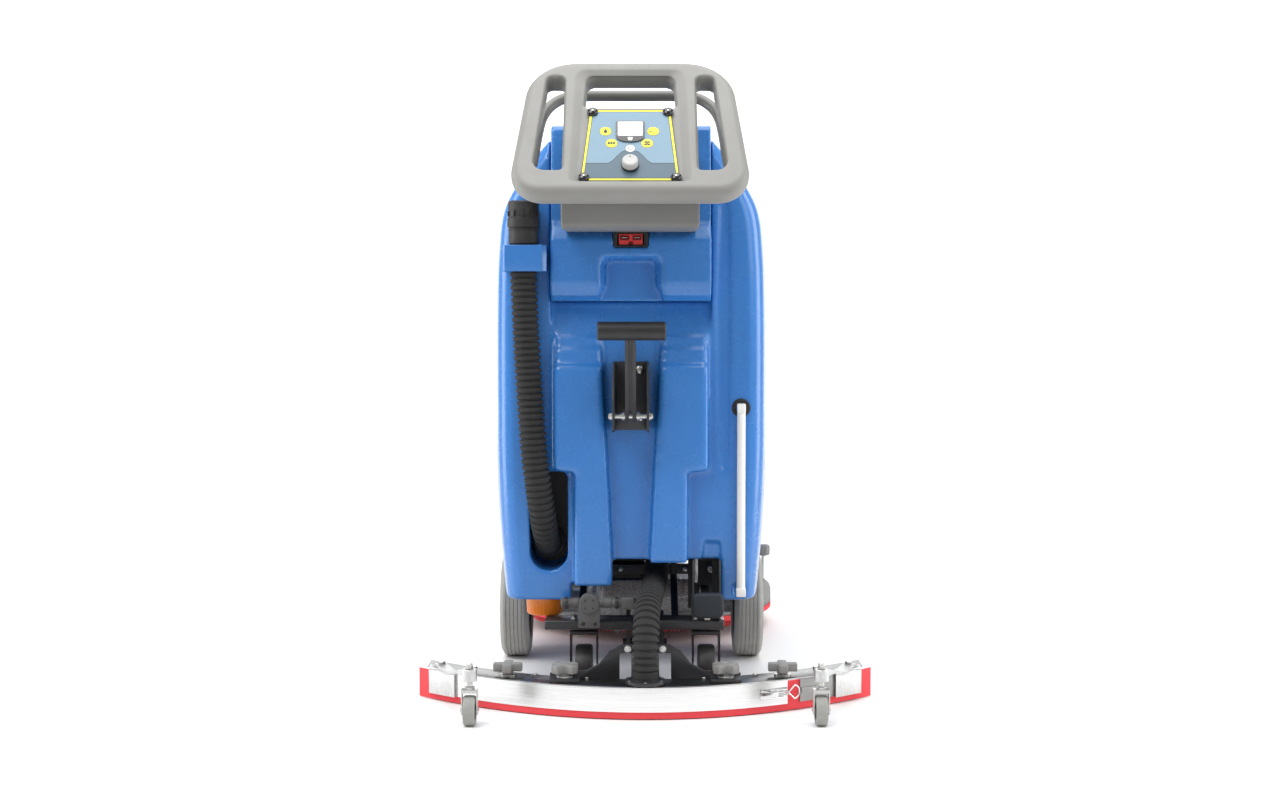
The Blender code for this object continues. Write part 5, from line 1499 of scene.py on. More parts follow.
def port():
    """The black port and its clamp where the drain hose meets the tank in the pocket, and a black
    sheet of painted shade at the pocket's back.
    """
    x, y, z = DRAIN_ROUTE[-1]
    collar = turned([(0.0262, -0.030), (0.0275, -0.028), (0.0275, -0.010), (0.0262, -0.008),
                     (0.0240, -0.008), (0.0240, -0.030)], (x, y, z), "Y", 40, closed=True)
    add("drain_hose", "drain_port", collar, "black_moulding")
    band = turned([(0.0276, -0.024), (0.0284, -0.024), (0.0284, -0.014), (0.0276, -0.014)],
                  (x, y, z), "Y", 40, closed=True)
    screw = turned_about([(0.0040, -0.004), (0.0040, 0.004), (0.0034, 0.0046)],
                         (x - 0.004, y - 0.019, z + 0.0315), (1, 0, 0), 12)
    add("drain_hose", "drain_clamp", joined([band, screw]), "frame_coat")
    # Painted shade: a black sheet over the back of the pocket stands for the shade deep inside it.
    shade_outline = rounded(-0.2032, -0.1378, 0.2236, 0.3982, (0.0315, 0.0315, 0.0115, 0.0115), 8)
    back = prism(shade_outline, "Y", -0.2716, -0.2704)
    shade_sheet = carved(back, ("cut", turned([(0.0245, -0.02), (0.0245, 0.02)], (x, y, z), "Y", 40)))
    fit(dressed("pocket_painted_shade", shade_sheet, finish("black_moulding")), "solution_tank")


class SCRUBBER_OT_suction_hose(Operator):
    """Ribbed suction hose from the squeegee's inlet up into the body"""

    bl_idname = "scrubber.suction_hose"
    bl_label = "Suction hose"

    def execute(self, context):
        hose = solid("suction_hose_ribbed", ribbed_tube(SUCTION_ROUTE, SUCTION_RADIUS),
                     finish("hose_black"), 40.0)
        stand_for(hose, "squeegee_hose")
        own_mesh(hose)
        return {"FINISHED"}


# ------------------------------------------------------------------ level tube
class SCRUBBER_OT_level_tube(Operator):
    """Milky level tube with its elbow, grommet and lower fitting"""

    bl_idname = "scrubber.level_tube"
    bl_label = "Level tube"

    def execute(self, context):
        low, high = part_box("level_tube")
        x = (low.x + high.x) / 2
        r = 0.0076
        y = CHEEK - 0.0006 - r
        top = high.z - 0.0145
        tube = turned([(r, low.z), (r, top - 0.012)], (x, y, 0.0), sides=32)
        replace("level_tube", "level_tube_pipe", tube, "tube_white", 40.0)
        elbow = box((x - 0.0075, x + 0.0075), (y - 0.009, CHEEK - 0.001),
                    (top - 0.013, top + 0.004), 0.0022, 4)
        foot = box((x - 0.0085, x + 0.0085), (y - 0.0086, CHEEK - 0.001),
                   (low.z, low.z + 0.015), 0.0015, 3)
        add("level_tube", "level_tube_elbow", elbow, "fitting_white", 50.0)
        add("level_tube", "level_tube_foot", foot, "fitting_white", 50.0)
        grommet = turned([(0.0095, -0.0004), (0.0165, -0.0004), (0.0165, -0.0030),
                          (0.0155, -0.0044), (0.0125, -0.0048), (0.0105, -0.0036),
                          (0.0095, -0.0036)], (x, CHEEK, top - 0.004), "Y", 44, closed=True)
        add("level_tube", "level_tube_grommet", grommet, "seal_black")
        return {"FINISHED"}


# ------------------------------------------------------------------ fasteners
def hex_head(place, direction, across, height, bore=0.0):
    """A hexagon head with its chamfered face; a bore leaves it a nut."""
    turn = Vector(direction).normalized().to_track_quat("Z", "Y").to_matrix()
    radius = across / 2 / cos(pi / 6)
    rings = []
    corners = [pi / 3 * i for i in range(6)]
    for reach, h in ((radius, 0.0), (radius, height * 0.82), (across / 2 * 0.94, height)):
        rings.append([Vector(place) + turn @ Vector((reach * cos(a), reach * sin(a), h))
                      for a in corners])
    bm = loft(rings)
    if bore:
        stud = turned_about([(bore, 0.0), (bore, height * 1.35), (bore * 0.75, height * 1.5)],
                            place, direction, 14)
        bm = joined([bm, stud])
    return bm


def washer(place, direction, radius, bore, thick):
    turn = Vector(direction).normalized().to_track_quat("Z", "Y").to_matrix()
    rings = []
    for r, h in ((bore, 0.0), (radius, 0.0), (radius, thick), (bore, thick), (bore, 0.0)):
        rings.append([Vector(place) + turn @ Vector((r * cos(2 * pi * i / 28),
                                                     r * sin(2 * pi * i / 28), h))
                      for i in range(28)])
    return loft(rings, caps=False)


def button_head(place, direction, radius, height):
    """A domed socket head."""
    profile = [(radius, 0.0)] + [(radius * cos(a), height * (0.25 + 0.75 * sin(a)))
                                 for a in [radians(72) * i / 6 for i in range(7)]]
    profile += [(radius * 0.30, height * 0.80), (radius * 0.28, height * 0.35)]
    return turned_about(profile, place, direction, 24)


def threaded(place, radius, low, high, pitch=0.0015):
    """A studded rod: its thread as close rings."""
    profile = [(radius * 0.86, low)]
    count = max(2, int((high - low) / pitch))
    for i in range(count):
        z = low + (high - low) * i / count
        profile += [(radius * 0.86, z), (radius, z + pitch * 0.35), (radius, z + pitch * 0.55)]
    profile.append((radius * 0.80, high))
    return turned(profile, (place[0], place[1], 0.0), sides=16)


# ------------------------------------------------------------------ lift lever
class SCRUBBER_OT_lift_lever(Operator):
    """T-handled squeegee lever in its folded channel"""

    bl_idname = "scrubber.lift_lever"
    bl_label = "Squeegee lever"

    def execute(self, context):
        low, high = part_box("lever_bracket")
        pivot = Vector(JOINTS["lever_pull"]["pos_m"])
        half = 0.0315
        t = 0.004
        back = CHEEK - 0.0003
        rear = pivot.y - 0.016
        cheek = round_corners([(rear, low.z + 0.004), (rear + 0.034, low.z), (back, low.z),
                               (back, high.z), (rear + 0.045, high.z), (rear, pivot.z + 0.028)],
                              [0.006, 0.003, 0, 0, 0.004, 0.010], 5)
        plates = []
        for x0 in (pivot.x - half, pivot.x + half - t):
            plates.append(ease_edges(prism(cheek, "X", x0, x0 + t), 0.0006, 2, 40.0))
        web = box((pivot.x - half, pivot.x + half), (back - t, back), (low.z, high.z), 0.0006)
        replace("lever_bracket", "lever_channel", joined(plates + [web]), "frame_coat", 40.0)
        bolts = [turned_about([(0.0049, -0.0385), (0.0049, 0.0385)], pivot, (1, 0, 0), 20)]
        for side in (-1, 1):
            outside = pivot + Vector((side * (half + 0.0003), 0.0, 0.0))
            bolts.append(washer(outside, (side, 0, 0), 0.0082, 0.0050, 0.0012))
            bolts.append(hex_head(outside + Vector((side * 0.0013, 0, 0)), (side, 0, 0), 0.0105,
                                  0.0042))
            inside = pivot + Vector((side * 0.0110, 0.0, 0.0))
            bolts.append(washer(inside, (side, 0, 0), 0.0085, 0.0050, 0.0016))
            bolts.append(washer(inside + Vector((side * 0.0017, 0, 0)), (side, 0, 0), 0.0070,
                                0.0050, 0.0030))
        bolts.append(button_head((pivot.x + 0.0155, back - t - 0.0002, high.z - 0.014), (0, -1, 0),
                                 0.0078, 0.0050))
        bolts.append(button_head((pivot.x + 0.0175, back - t - 0.0002, low.z + 0.022), (0, -1, 0),
                                 0.0062, 0.0040))
        add("lever_bracket", "lever_bolts", joined(bolts), "zinc")
        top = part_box("lift_lever")
        ty, tz = -0.560, 0.650
        lean = (Vector((ty, tz)) - Vector((pivot.y, pivot.z)))
        along = lean.normalized()
        across = Vector((-along.y, along.x)) * 0.0078
        foot = Vector((pivot.y, pivot.z)) - along * 0.004
        end = Vector((ty, tz))
        outline = [tuple(end + across), tuple(end - across)]
        outline += [tuple(foot - across * cos(a) - along * 0.0078 * sin(a))
                    for a in [pi * i / 10 for i in range(11)]]
        bars = [ease_edges(prism(outline, "X", x0, x0 + 0.0062), 0.0005, 2, 40.0)
                for x0 in (pivot.x - 0.0093, pivot.x + 0.0031)]
        spine = prism([tuple(foot + across * 0.55 + along * 0.020), tuple(end + across * 0.55),
                       tuple(end - across * 0.2), tuple(foot - across * 0.2 + along * 0.020)],
                      "X", pivot.x - 0.0032, pivot.x + 0.0032)
        stem = joined(bars + [spine])
        replace("lift_lever", "lever_stem", stem, "frame_coat", 40.0)
        length = top[1].x - top[0].x
        grip = []
        radius = 0.0157
        ends = length / 2
        for i in range(9):
            a = pi / 2 * i / 8
            grip.append((max(0.001, radius - 0.003 + 0.003 * sin(a)),
                         -ends + 0.003 - 0.003 * cos(a)))
        body = [(radius, -ends + 0.004), (radius, ends - 0.004)]
        profile = grip + body + [(r, -h) for r, h in reversed(grip)]
        handle = turned(profile, ((top[0].x + top[1].x) / 2, ty, tz), "X", 48)
        add("lift_lever", "lever_grip", handle, "black_moulding", 40.0)
        return {"FINISHED"}


# ------------------------------------------------------------------ chassis
class SCRUBBER_OT_chassis(Operator):
    """Frame, drive, pedal and channel, water valve, filter cap and batteries"""

    bl_idname = "scrubber.chassis"
    bl_label = "Chassis and drive"

    def execute(self, context):
        edge = sizes().metal_edge
        eased("chassis_frame", finish("frame_coat"), edge)
        beam_bolts()
        cross_castings()
        drive_unit()
        pedal_and_channel()
        water_valve()
        filter_cap()
        batteries()
        suction_motor()
        return {"FINISHED"}


def beam_bolts():
    """Bolts that hold the casters' plates, seen from above on the rear beam."""
    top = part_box("pedal_bracket")[0].z - 0.0003
    heads = []
    for side in ("left", "right"):
        low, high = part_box("caster_%s_fork" % side)
        x = (low.x + high.x) / 2
        for dx in (-0.019, 0.019):
            for dy in (-0.016, 0.016):
                if side == "right" and dx > 0:
                    dx = 0.0265
                heads.append(hex_head((x + dx, -0.360 + dy, top), (0, 0, 1),
                                      0.0085, 0.0036, 0.0024))
    add("chassis_frame", "beam_bolts", joined(heads), "zinc")


def cross_castings():
    """Cast cross bar in front of the drive motor, two dark rails over it, and a splash plate."""
    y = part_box("drive_motor")[0].y
    x0, x1 = -0.0800, 0.0880
    cast = [box((x0, x1), (y - 0.0125, y - 0.0012), (0.1440, 0.1790), 0.0030, 3)]
    for x in (x0 + 0.004, x1 - 0.016):
        cast.append(box((x, x + 0.012), (y - 0.0155, y - 0.0120), (0.1470, 0.1760), 0.0020, 2))
    add("chassis_frame", "cross_casting", joined(cast), "cast_metal", 40.0)
    rails = [box((x0 - 0.016, x1 + 0.006), (y - 0.0140, y - 0.0020), (0.1900, 0.2080), 0.0010),
             box((x0 - 0.016, x1 + 0.006), (y - 0.0110, y - 0.0020), (0.2150, 0.2330), 0.0010),
             box((0.0790, 0.1400), (-0.2700, -0.2670), (0.1380, FLOOR - 0.0010), 0.0008)]
    add("chassis_frame", "cross_rails", joined(rails), "grit_black", 40.0)
    heads = [button_head((x, y - 0.0142, 0.199), (0, -1, 0), 0.0042, 0.003)
             for x in (x0, -0.045, 0.075)]
    add("chassis_frame", "cross_screws", joined(heads), "zinc", 40.0)


def drive_unit():
    low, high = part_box("transaxle")
    case_radius = 0.062
    z = low.z + case_radius
    centre = (MIDDLE, 0.0, z)
    half = (high.x - low.x) / 2
    profile = [(0.0215, -half), (0.0215, -0.088), (0.034, -0.078), (0.036, -0.070),
               (0.050, -0.058), (0.058, -0.040), (0.0585, -0.034), (0.0615, -0.034),
               (0.0615, -0.026), (0.0585, -0.026), (0.0585, 0.026), (0.0615, 0.026),
               (0.0615, 0.034), (0.0585, 0.034), (0.058, 0.040), (0.050, 0.058),
               (0.036, 0.070), (0.034, 0.078), (0.0215, 0.088), (0.0215, half)]
    case = turned(profile, centre, "X", 48)
    saddle = box((MIDDLE - 0.0495, MIDDLE + 0.0495), (-0.0495, 0.0495),
                 (z + 0.030, high.z - 0.0002), 0.004, 3)
    ribs = [box((MIDDLE + dx - 0.002, MIDDLE + dx + 0.002), (-0.0605, 0.0605),
                (z - 0.020, z + 0.020), 0.0008) for dx in (-0.016, 0.0, 0.016)]
    mesh = carved(case, ("add", saddle))
    stand_for(dressed("transaxle_case", mesh, finish("cast_metal"), 30.0), "transaxle")
    add("transaxle", "transaxle_ribs", joined(ribs), "cast_metal")
    flange = [button_head((MIDDLE + side * 0.0345, 0.0545 * cos(a), z + 0.0545 * sin(a)),
                          (side, 0, 0), 0.0038, 0.003)
              for side in (-1, 1) for a in [2 * pi * (k + 0.5) / 8 for k in range(8)]]
    add("transaxle", "transaxle_screws", joined(flange), "zinc")
    m0, m1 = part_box("drive_motor")
    x, mz = (m0.x + m1.x) / 2, (m0.z + m1.z) / 2
    length = m1.y - m0.y
    profile = [(0.030, 0.0), (0.030, 0.004), (0.046, 0.010), (0.0495, 0.013), (0.0495, 0.030),
               (0.0475, 0.031), (0.0475, 0.084), (0.0495, 0.085), (0.0495, 0.105),
               (0.045, 0.109), (0.038, length)]
    can = turned(profile, (x, m0.y, mz), "Y", 44)
    fins = [box((x - 0.0488, x + 0.0488), (m0.y + 0.034 + 0.006 * k, m0.y + 0.0362 + 0.006 * k),
                (mz - 0.002, mz + 0.002), 0.0004) for k in range(8)]
    replace("drive_motor", "drive_motor_can", joined([can] + fins), "motor_black")
    terminals = [turned_about([(0.0032, 0.0), (0.0032, 0.008), (0.0024, 0.009)],
                              (x + dx, m0.y + 0.020, mz - 0.046), (0, -1, -0.2), 12)
                 for dx in (-0.012, 0.012)]
    add("drive_motor", "drive_motor_terminals", joined(terminals), "zinc")


def pedal_and_channel():
    eased("pedal_bracket", finish("grit_black"), 0.0007)
    low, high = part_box("pedal_bracket")
    pivot = Vector(JOINTS["pedal_press"]["pos_m"])
    left, right, rear = low.x, high.x, low.y
    parts = [button_head((right - 0.0120, -0.2702, 0.2110), (0, -1, 0), 0.0075, 0.0045)]
    add("pedal_bracket", "pedal_channel_bolts", joined(parts), "zinc")
    flange = box((left + 0.0040, left + 0.0115), (-0.3400, -0.3385), (0.196, 0.241), 0.0005)
    spring = box((pivot.x - 0.004, pivot.x + 0.006), (rear + 0.002, rear + 0.004),
                 (0.1375, 0.1500), 0.0005)
    strips = joined([flange, spring])
    add("pedal_bracket", "pedal_channel_edge", strips, "zinc")
    p0, p1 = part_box("deck_pedal")
    pad_y0 = p0.y
    pad_y1 = pad_y0 + 0.018
    wide, tall = (p1.x - p0.x) / 2, (p1.z - p0.z) / 2
    x, z = (p0.x + p1.x) / 2, (p0.z + p1.z) / 2
    rings = []
    for y, inset in ((pad_y0, 0.0040), (pad_y0 + 0.0015, 0.0012), (pad_y0 + 0.004, 0.0),
                     (pad_y1 - 0.003, 0.0), (pad_y1, 0.0025)):
        rings.append([(a, y, b) for a, b in rounded(
            x - wide + inset, x + wide - inset, z - tall + inset, z + tall - inset, 0.010)])
    replace("deck_pedal", "pedal_pad", loft(rings), "pedal_rubber", 50.0)
    ribs = [box((x - wide + 0.008, x + wide - 0.008), (pad_y0 - 0.0002, pad_y0 + 0.002),
                (z + dz - 0.0012, z + dz + 0.0012), 0.0005)
            for dz in [-0.012 + 0.006 * k for k in range(5)]]
    add("deck_pedal", "pedal_ribs", joined(ribs), "pedal_rubber")
    arm = [(pivot.y + 0.0115, pivot.z - 0.0095), (pivot.y + 0.0115, pivot.z + 0.0095),
           (pivot.y - 0.008, pivot.z + 0.0115), (pad_y1 + 0.006, pivot.z + 0.0058),
           (pad_y1 - 0.001, pivot.z + 0.0058), (pad_y1 - 0.001, pivot.z - 0.0078),
           (pad_y1 + 0.006, pivot.z - 0.0078)]
    bar = ease_edges(prism(round_corners(arm, 0.003, 3), "X", x - 0.0069, x + 0.0069), 0.0007)
    add("deck_pedal", "pedal_arm", bar, "frame_coat")
    pin_parts = [turned_about([(0.0045, -0.0092), (0.0045, 0.0092)], pivot, (1, 0, 0), 18)]
    for side in (-1, 1):
        pin_parts.append(washer(pivot + Vector((side * 0.0072, 0, 0)), (side, 0, 0), 0.0085,
                                0.0046, 0.0012))
    add("deck_pedal", "pedal_pin", joined(pin_parts), "zinc")


def water_valve():
    """The valve's pipe, round body, bracket plate, hose tails and elbow."""
    low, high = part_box("water_valve")
    x, y, z = low.x + 0.050, (low.y + high.y) / 2 - 0.001, 0.171
    plate_low = low.z
    r = 0.0095
    pipe = [(r * 0.8, -0.0500), (r, -0.0470), (r * 0.86, -0.0450), (r, -0.0430),
            (r * 0.86, -0.0410), (r, -0.0390), (r * 0.86, -0.0370), (r * 0.86, -0.0300),
            (r, -0.0290), (r, -0.0190),
            (r * 0.9, -0.0180), (r * 0.9, 0.0250), (r * 1.0, 0.0260), (r * 1.0, 0.0380),
            (r * 0.86, 0.0390), (r * 0.86, 0.0440), (r, 0.0460), (r * 0.86, 0.0480), (r, 0.0500),
            (r * 0.86, 0.0520), (r * 0.86, 0.0600)]
    bodies = [turned(pipe, (x, y, z), "X", 28)]
    disc = [(0.0120, -0.0160), (0.0165, -0.0155), (0.0174, -0.0140), (0.0174, 0.0080),
            (0.0160, 0.0110), (0.0120, 0.0120)]
    bodies.append(turned(disc, (x, y, z), "Y", 40))
    cover = [(0.0132, -0.0168), (0.0132, -0.0155), (0.0110, -0.0155), (0.0110, -0.0168)]
    bodies.append(turned(cover, (x, y, z), "Y", 40, closed=True))
    plate = rounded(x - 0.0187, x + 0.0187, plate_low, z, (0.002, 0.002, 0.001, 0.001), 3)
    bodies.append(ease_edges(prism(plate, "Y", y - 0.0110, y + 0.0120), 0.0008, 2, 50.0))
    bodies.append(box((x + 0.0565, x + 0.0795), (y - 0.0105, y + 0.0105), (z - 0.0105, z + 0.0105),
                      0.003, 3))
    replace("water_valve", "water_valve_body", joined(bodies), "valve_grey")
    screws = [button_head((x + dx, y - 0.0111, plate_low + 0.008), (0, -1, 0), 0.0034, 0.0022)
              for dx in (-0.0105, 0.0105)]
    screws += [button_head((x + 0.0095 * cos(a), y - 0.0169, z + 0.0095 * sin(a)), (0, -1, 0),
                           0.0016, 0.0010) for a in [pi / 4 + pi / 2 * k for k in range(4)]]
    add("water_valve", "water_valve_screws", joined(screws), "black_moulding")
    clamps = [turned([(r + 0.0002, d), (r + 0.0012, d), (r + 0.0012, d + 0.006),
                      (r + 0.0002, d + 0.006)], (x, y, z), "X", 28, closed=True)
              for d in (-0.0430, 0.0455)]
    add("water_valve", "water_valve_clamps", joined(clamps), "black_moulding")


def filter_cap():
    """Orange cap with its knurled wall and rim."""
    low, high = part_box("filter_cap")
    x, y = (low.x + high.x) / 2, (low.y + high.y) / 2
    r = (high.x - low.x) / 2 - 0.0003
    sides = 120
    rings = []
    for z, reach, flute in ((low.z, r - 0.0065, 0.0), (low.z + 0.0015, r - 0.0030, 0.0),
                            (low.z + 0.0040, r - 0.0010, 0.0006),
                            (low.z + 0.0230, r - 0.0002, 0.0006),
                            (low.z + 0.0245, r, 0.0), (high.z, r, 0.0)):
        rings.append([(x + (reach - flute * (1 if i % 4 < 2 else 0)) * cos(2 * pi * i / sides),
                       y + (reach - flute * (1 if i % 4 < 2 else 0)) * sin(2 * pi * i / sides), z)
                      for i in range(sides)])
    shell = loft(rings)
    replace("filter_cap", "filter_cap_shell", shell, "cap_orange")


def batteries():
    """Two battery blocks: ribbed cases, lids with a raised step, vents and lead posts."""
    for name in ("battery_left", "battery_right"):
        low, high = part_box(name)
        top = high.z - 0.012
        case = [box((low.x + 0.0006, high.x - 0.0006), (low.y + 0.0006, high.y - 0.0006),
                    (low.z + 0.0003, top - 0.026), 0.003, 3),
                box((low.x + 0.0001, high.x - 0.0001), (low.y + 0.0001, high.y - 0.0001),
                    (top - 0.0255, top), 0.003, 3)]
        for k in range(7):
            y = low.y + 0.030 + 0.05 * k
            for x in (low.x + 0.0002, high.x - 0.0012):
                case.append(box((x, x + 0.001), (y - 0.004, y + 0.004),
                                (low.z + 0.012, top - 0.034), 0.0003))
        replace(name, name + "_case", joined(case), "battery_case")
        x = (low.x + high.x) / 2
        caps = [turned([(0.011, top), (0.011, top + 0.004), (0.009, top + 0.0055),
                        (0.003, top + 0.0055)], (x + 0.03, low.y + 0.07 + 0.044 * k, 0.0), sides=24)
                for k in range(6)]
        add(name, name + "_vents", joined(caps), "overlay_yellow")
        posts = []
        for y in (low.y + 0.05, high.y - 0.05):
            post = [(0.0088, top - 0.001), (0.0082, top + 0.009), (0.004, top + 0.0118)]
            posts.append(turned(post, (x, y, 0.0), sides=24))
        add(name, name + "_posts", joined(posts), "zinc")


def suction_motor():
    low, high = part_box("suction_motor")
    x, z = (low.x + high.x) / 2, (low.z + high.z) / 2
    profile = [(0.044, 0.0), (0.058, 0.006), (0.0635, 0.011), (0.0635, 0.024), (0.0600, 0.026),
               (0.0600, 0.034), (0.0635, 0.036), (0.0635, 0.050), (0.040, 0.060), (0.0395, 0.078),
               (0.030, 0.080)]
    can = turned(profile, (x, low.y, z), "Y", 44)
    replace("suction_motor", "suction_motor_can", can, "motor_black")
    slots = []
    for k in range(16):
        slot = box((0.0602, 0.0612), (low.y + 0.0275, low.y + 0.0325), (-0.004, 0.004), 0.0003)
        spot = Matrix.Translation((x, 0, z)) @ Matrix.Rotation(2 * pi * k / 16, 4, "Y")
        bmesh.ops.transform(slot, matrix=spot, verts=slot.verts)
        slots.append(slot)
    add("suction_motor", "suction_motor_vents", joined(slots), "zinc")


# ------------------------------------------------------------------ lid and caps
class SCRUBBER_OT_lid(Operator):
    """Recovery tank lid with its seal, and the filler cap"""

    bl_idname = "scrubber.lid"
    bl_label = "Lid and caps"

    def execute(self, context):
        low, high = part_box("tank_lid")
        tall = high.z - low.z
        rings = []
        for share, inset in ((0.0, 0.0025), (0.06, 0.0005), (0.55, 0.0005), (0.72, 0.0030),
                             (0.86, 0.0080), (0.95, 0.0160), (0.99, 0.0260)):
            radius = 0.038 - inset * 0.4
            rings.append([(x, y, low.z + tall * share) for x, y in rounded(
                low.x + inset, high.x - inset, low.y + inset, high.y - inset, radius)])
        panel = [(x, y, low.z + tall * 0.90) for x, y in rounded(
            low.x + 0.034, high.x - 0.034, low.y + 0.034, high.y - 0.034, 0.026)]
        rings.append(panel)
        replace("tank_lid", "tank_lid_shell", loft(rings), "lid_grey", 50.0)
        ribs = []
        for k in range(-2, 3):
            y = (low.y + high.y) / 2 + 0.048 * k
            ribs.append(box((low.x + 0.060, high.x - 0.060), (y - 0.004, y + 0.004),
                            (low.z + tall * 0.88, low.z + tall * 0.965), 0.0016, 3))
        add("tank_lid", "tank_lid_ribs", joined(ribs), "lid_grey")
        seal = []
        for z in (low.z - 0.0012, low.z + 0.0024):
            seal.append([(x, y, z) for x, y in rounded(
                low.x + 0.004, high.x - 0.004, low.y + 0.004, high.y - 0.004, 0.034)])
        add("tank_lid", "tank_lid_seal", loft(seal), "seal_black")
        knurled_cap("filler_cap", "black_moulding")
        return {"FINISHED"}


def knurled_cap(node, paint):
    """A screw cap: flutes round its wall and a shallow dish in its crown."""
    low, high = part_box(node)
    spread = high - low
    thin = min(range(3), key=lambda i: spread[i])
    centre = (low + high) / 2
    reach = min(spread[i] for i in range(3) if i != thin) / 2
    tall = spread[thin]
    rings = []
    sides = 96
    for h, r, flute in ((0.0, 0.99, 0.0), (0.04, 0.995, 0.016), (0.74, 0.985, 0.016),
                        (0.86, 0.955, 0.0), (0.96, 0.90, 0.0), (1.0, 0.84, 0.0), (0.97, 0.70, 0.0),
                        (0.84, 0.62, 0.0)):
        ring = []
        for i in range(sides):
            a = 2 * pi * i / sides
            d = reach * (r - flute * (i % 4 < 2))
            ring.append((d * cos(a), d * sin(a), tall * (h - 0.5)))
        rings.append(ring)
    bm = loft(rings)
    if thin != 2:
        spin = Matrix.Rotation(radians(90), 4, "X" if thin == 1 else "Y")
        bmesh.ops.transform(bm, matrix=spin, verts=bm.verts)
    bmesh.ops.translate(bm, vec=centre, verts=bm.verts)
    replace(node, node + "_shell", bm, paint, 38.0)


# ------------------------------------------------------------------ wheels
class SCRUBBER_OT_wheels(Operator):
    """Drive wheels and rear swivel casters"""

    bl_idname = "scrubber.wheels"
    bl_label = "Wheels and casters"

    def execute(self, context):
        for side, name in ((-1, "drive_wheel_left"), (1, "drive_wheel_right")):
            drive_wheel(name, side)
        for side in ("left", "right"):
            rear_caster("caster_" + side)
        return {"FINISHED"}


def drive_wheel(node, side):
    low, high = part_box(node)
    x = (low.x + high.x) / 2
    r = (high.z - low.z) / 2
    h = (high.x - low.x) / 2
    centre = (x, 0.0, r)
    grooves = []
    for k in range(5):
        d = -0.0150 + 0.0075 * k
        grooves += [(r, d - 0.0009), (r - 0.0012, d - 0.0004), (r - 0.0012, d + 0.0004),
                    (r, d + 0.0009)]
    tread = [(0.0640, -h * 0.55), (0.0650, -h * 0.93), (0.0670, -h), (r - 0.011, -h),
             (r - 0.0095, -h + 0.0008), (r - 0.0008, -h + 0.0062), (r, -h + 0.0075)]
    tread += grooves
    tread += [(p, -d) for p, d in reversed(tread[:7])]
    tyre = turned(tread, centre, "X", 88, closed=True)
    replace(node, node + "_tyre", tyre, "tyre_rubber")
    hub = [(0.0162, -h * 0.56), (0.0220, -h * 0.74), (0.0240, -h * 0.74), (0.0262, -h * 0.56),
           (0.0500, -h * 0.50), (0.0560, -h * 0.56), (0.0610, -h * 0.86), (0.0640, -h * 0.90),
           (0.0645, 0.0), (0.0640, h * 0.90), (0.0610, h * 0.86), (0.0560, h * 0.56),
           (0.0500, h * 0.50), (0.0262, h * 0.56), (0.0240, h * 0.74), (0.0220, h * 0.74),
           (0.0162, h * 0.56)]
    add(node, node + "_hub", turned(hub, centre, "X", 72, closed=True), "hub_black", 32.0)
    parts = [turned_about([(0.0158, 0.0), (0.0158, 0.0035), (0.0140, 0.0052)],
                          (x + side * (h * 0.56), 0.0, r), (side, 0, 0), 30)]
    for k in range(5):
        a = 2 * pi * k / 5 + 0.3
        parts.append(hex_head((x + side * h * 0.52, 0.038 * cos(a), r + 0.038 * sin(a)),
                              (side, 0, 0), 0.0125, 0.0055))
        parts.append(hex_head((x - side * h * 0.52, 0.038 * cos(a), r + 0.038 * sin(a)),
                              (-side, 0, 0), 0.0125, 0.0048, 0.0035))
    add(node, node + "_bolts", joined(parts), "zinc", 30.0)


def caster_wheel(node, paint, hub_paint):
    low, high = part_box(node)
    x, y, z = (low + high) / 2
    r = (high.z - low.z) / 2
    h = (high.x - low.x) / 2
    core = r * 0.68
    tread = [(core, -h * 0.90), (r - h * 0.30, -h), (r - h * 0.10, -h * 0.90), (r, -h * 0.68),
             (r, h * 0.68), (r - h * 0.10, h * 0.90), (r - h * 0.30, h), (core, h * 0.90)]
    tyre = turned(tread, (x, y, z), "X", 56, closed=True)
    replace(node, node + "_tyre", tyre, paint)
    hub = [(r * 0.13, -h * 0.95), (r * 0.26, -h * 0.95), (r * 0.28, -h * 0.50),
           (r * 0.58, -h * 0.50), (r * 0.62, -h * 0.86), (core + 0.0002, -h * 0.88),
           (core + 0.0002, h * 0.88), (r * 0.62, h * 0.86), (r * 0.58, h * 0.50),
           (r * 0.28, h * 0.50), (r * 0.26, h * 0.95), (r * 0.13, h * 0.95)]
    add(node, node + "_hub", turned(hub, (x, y, z), "X", 56, closed=True), hub_paint, 32.0)


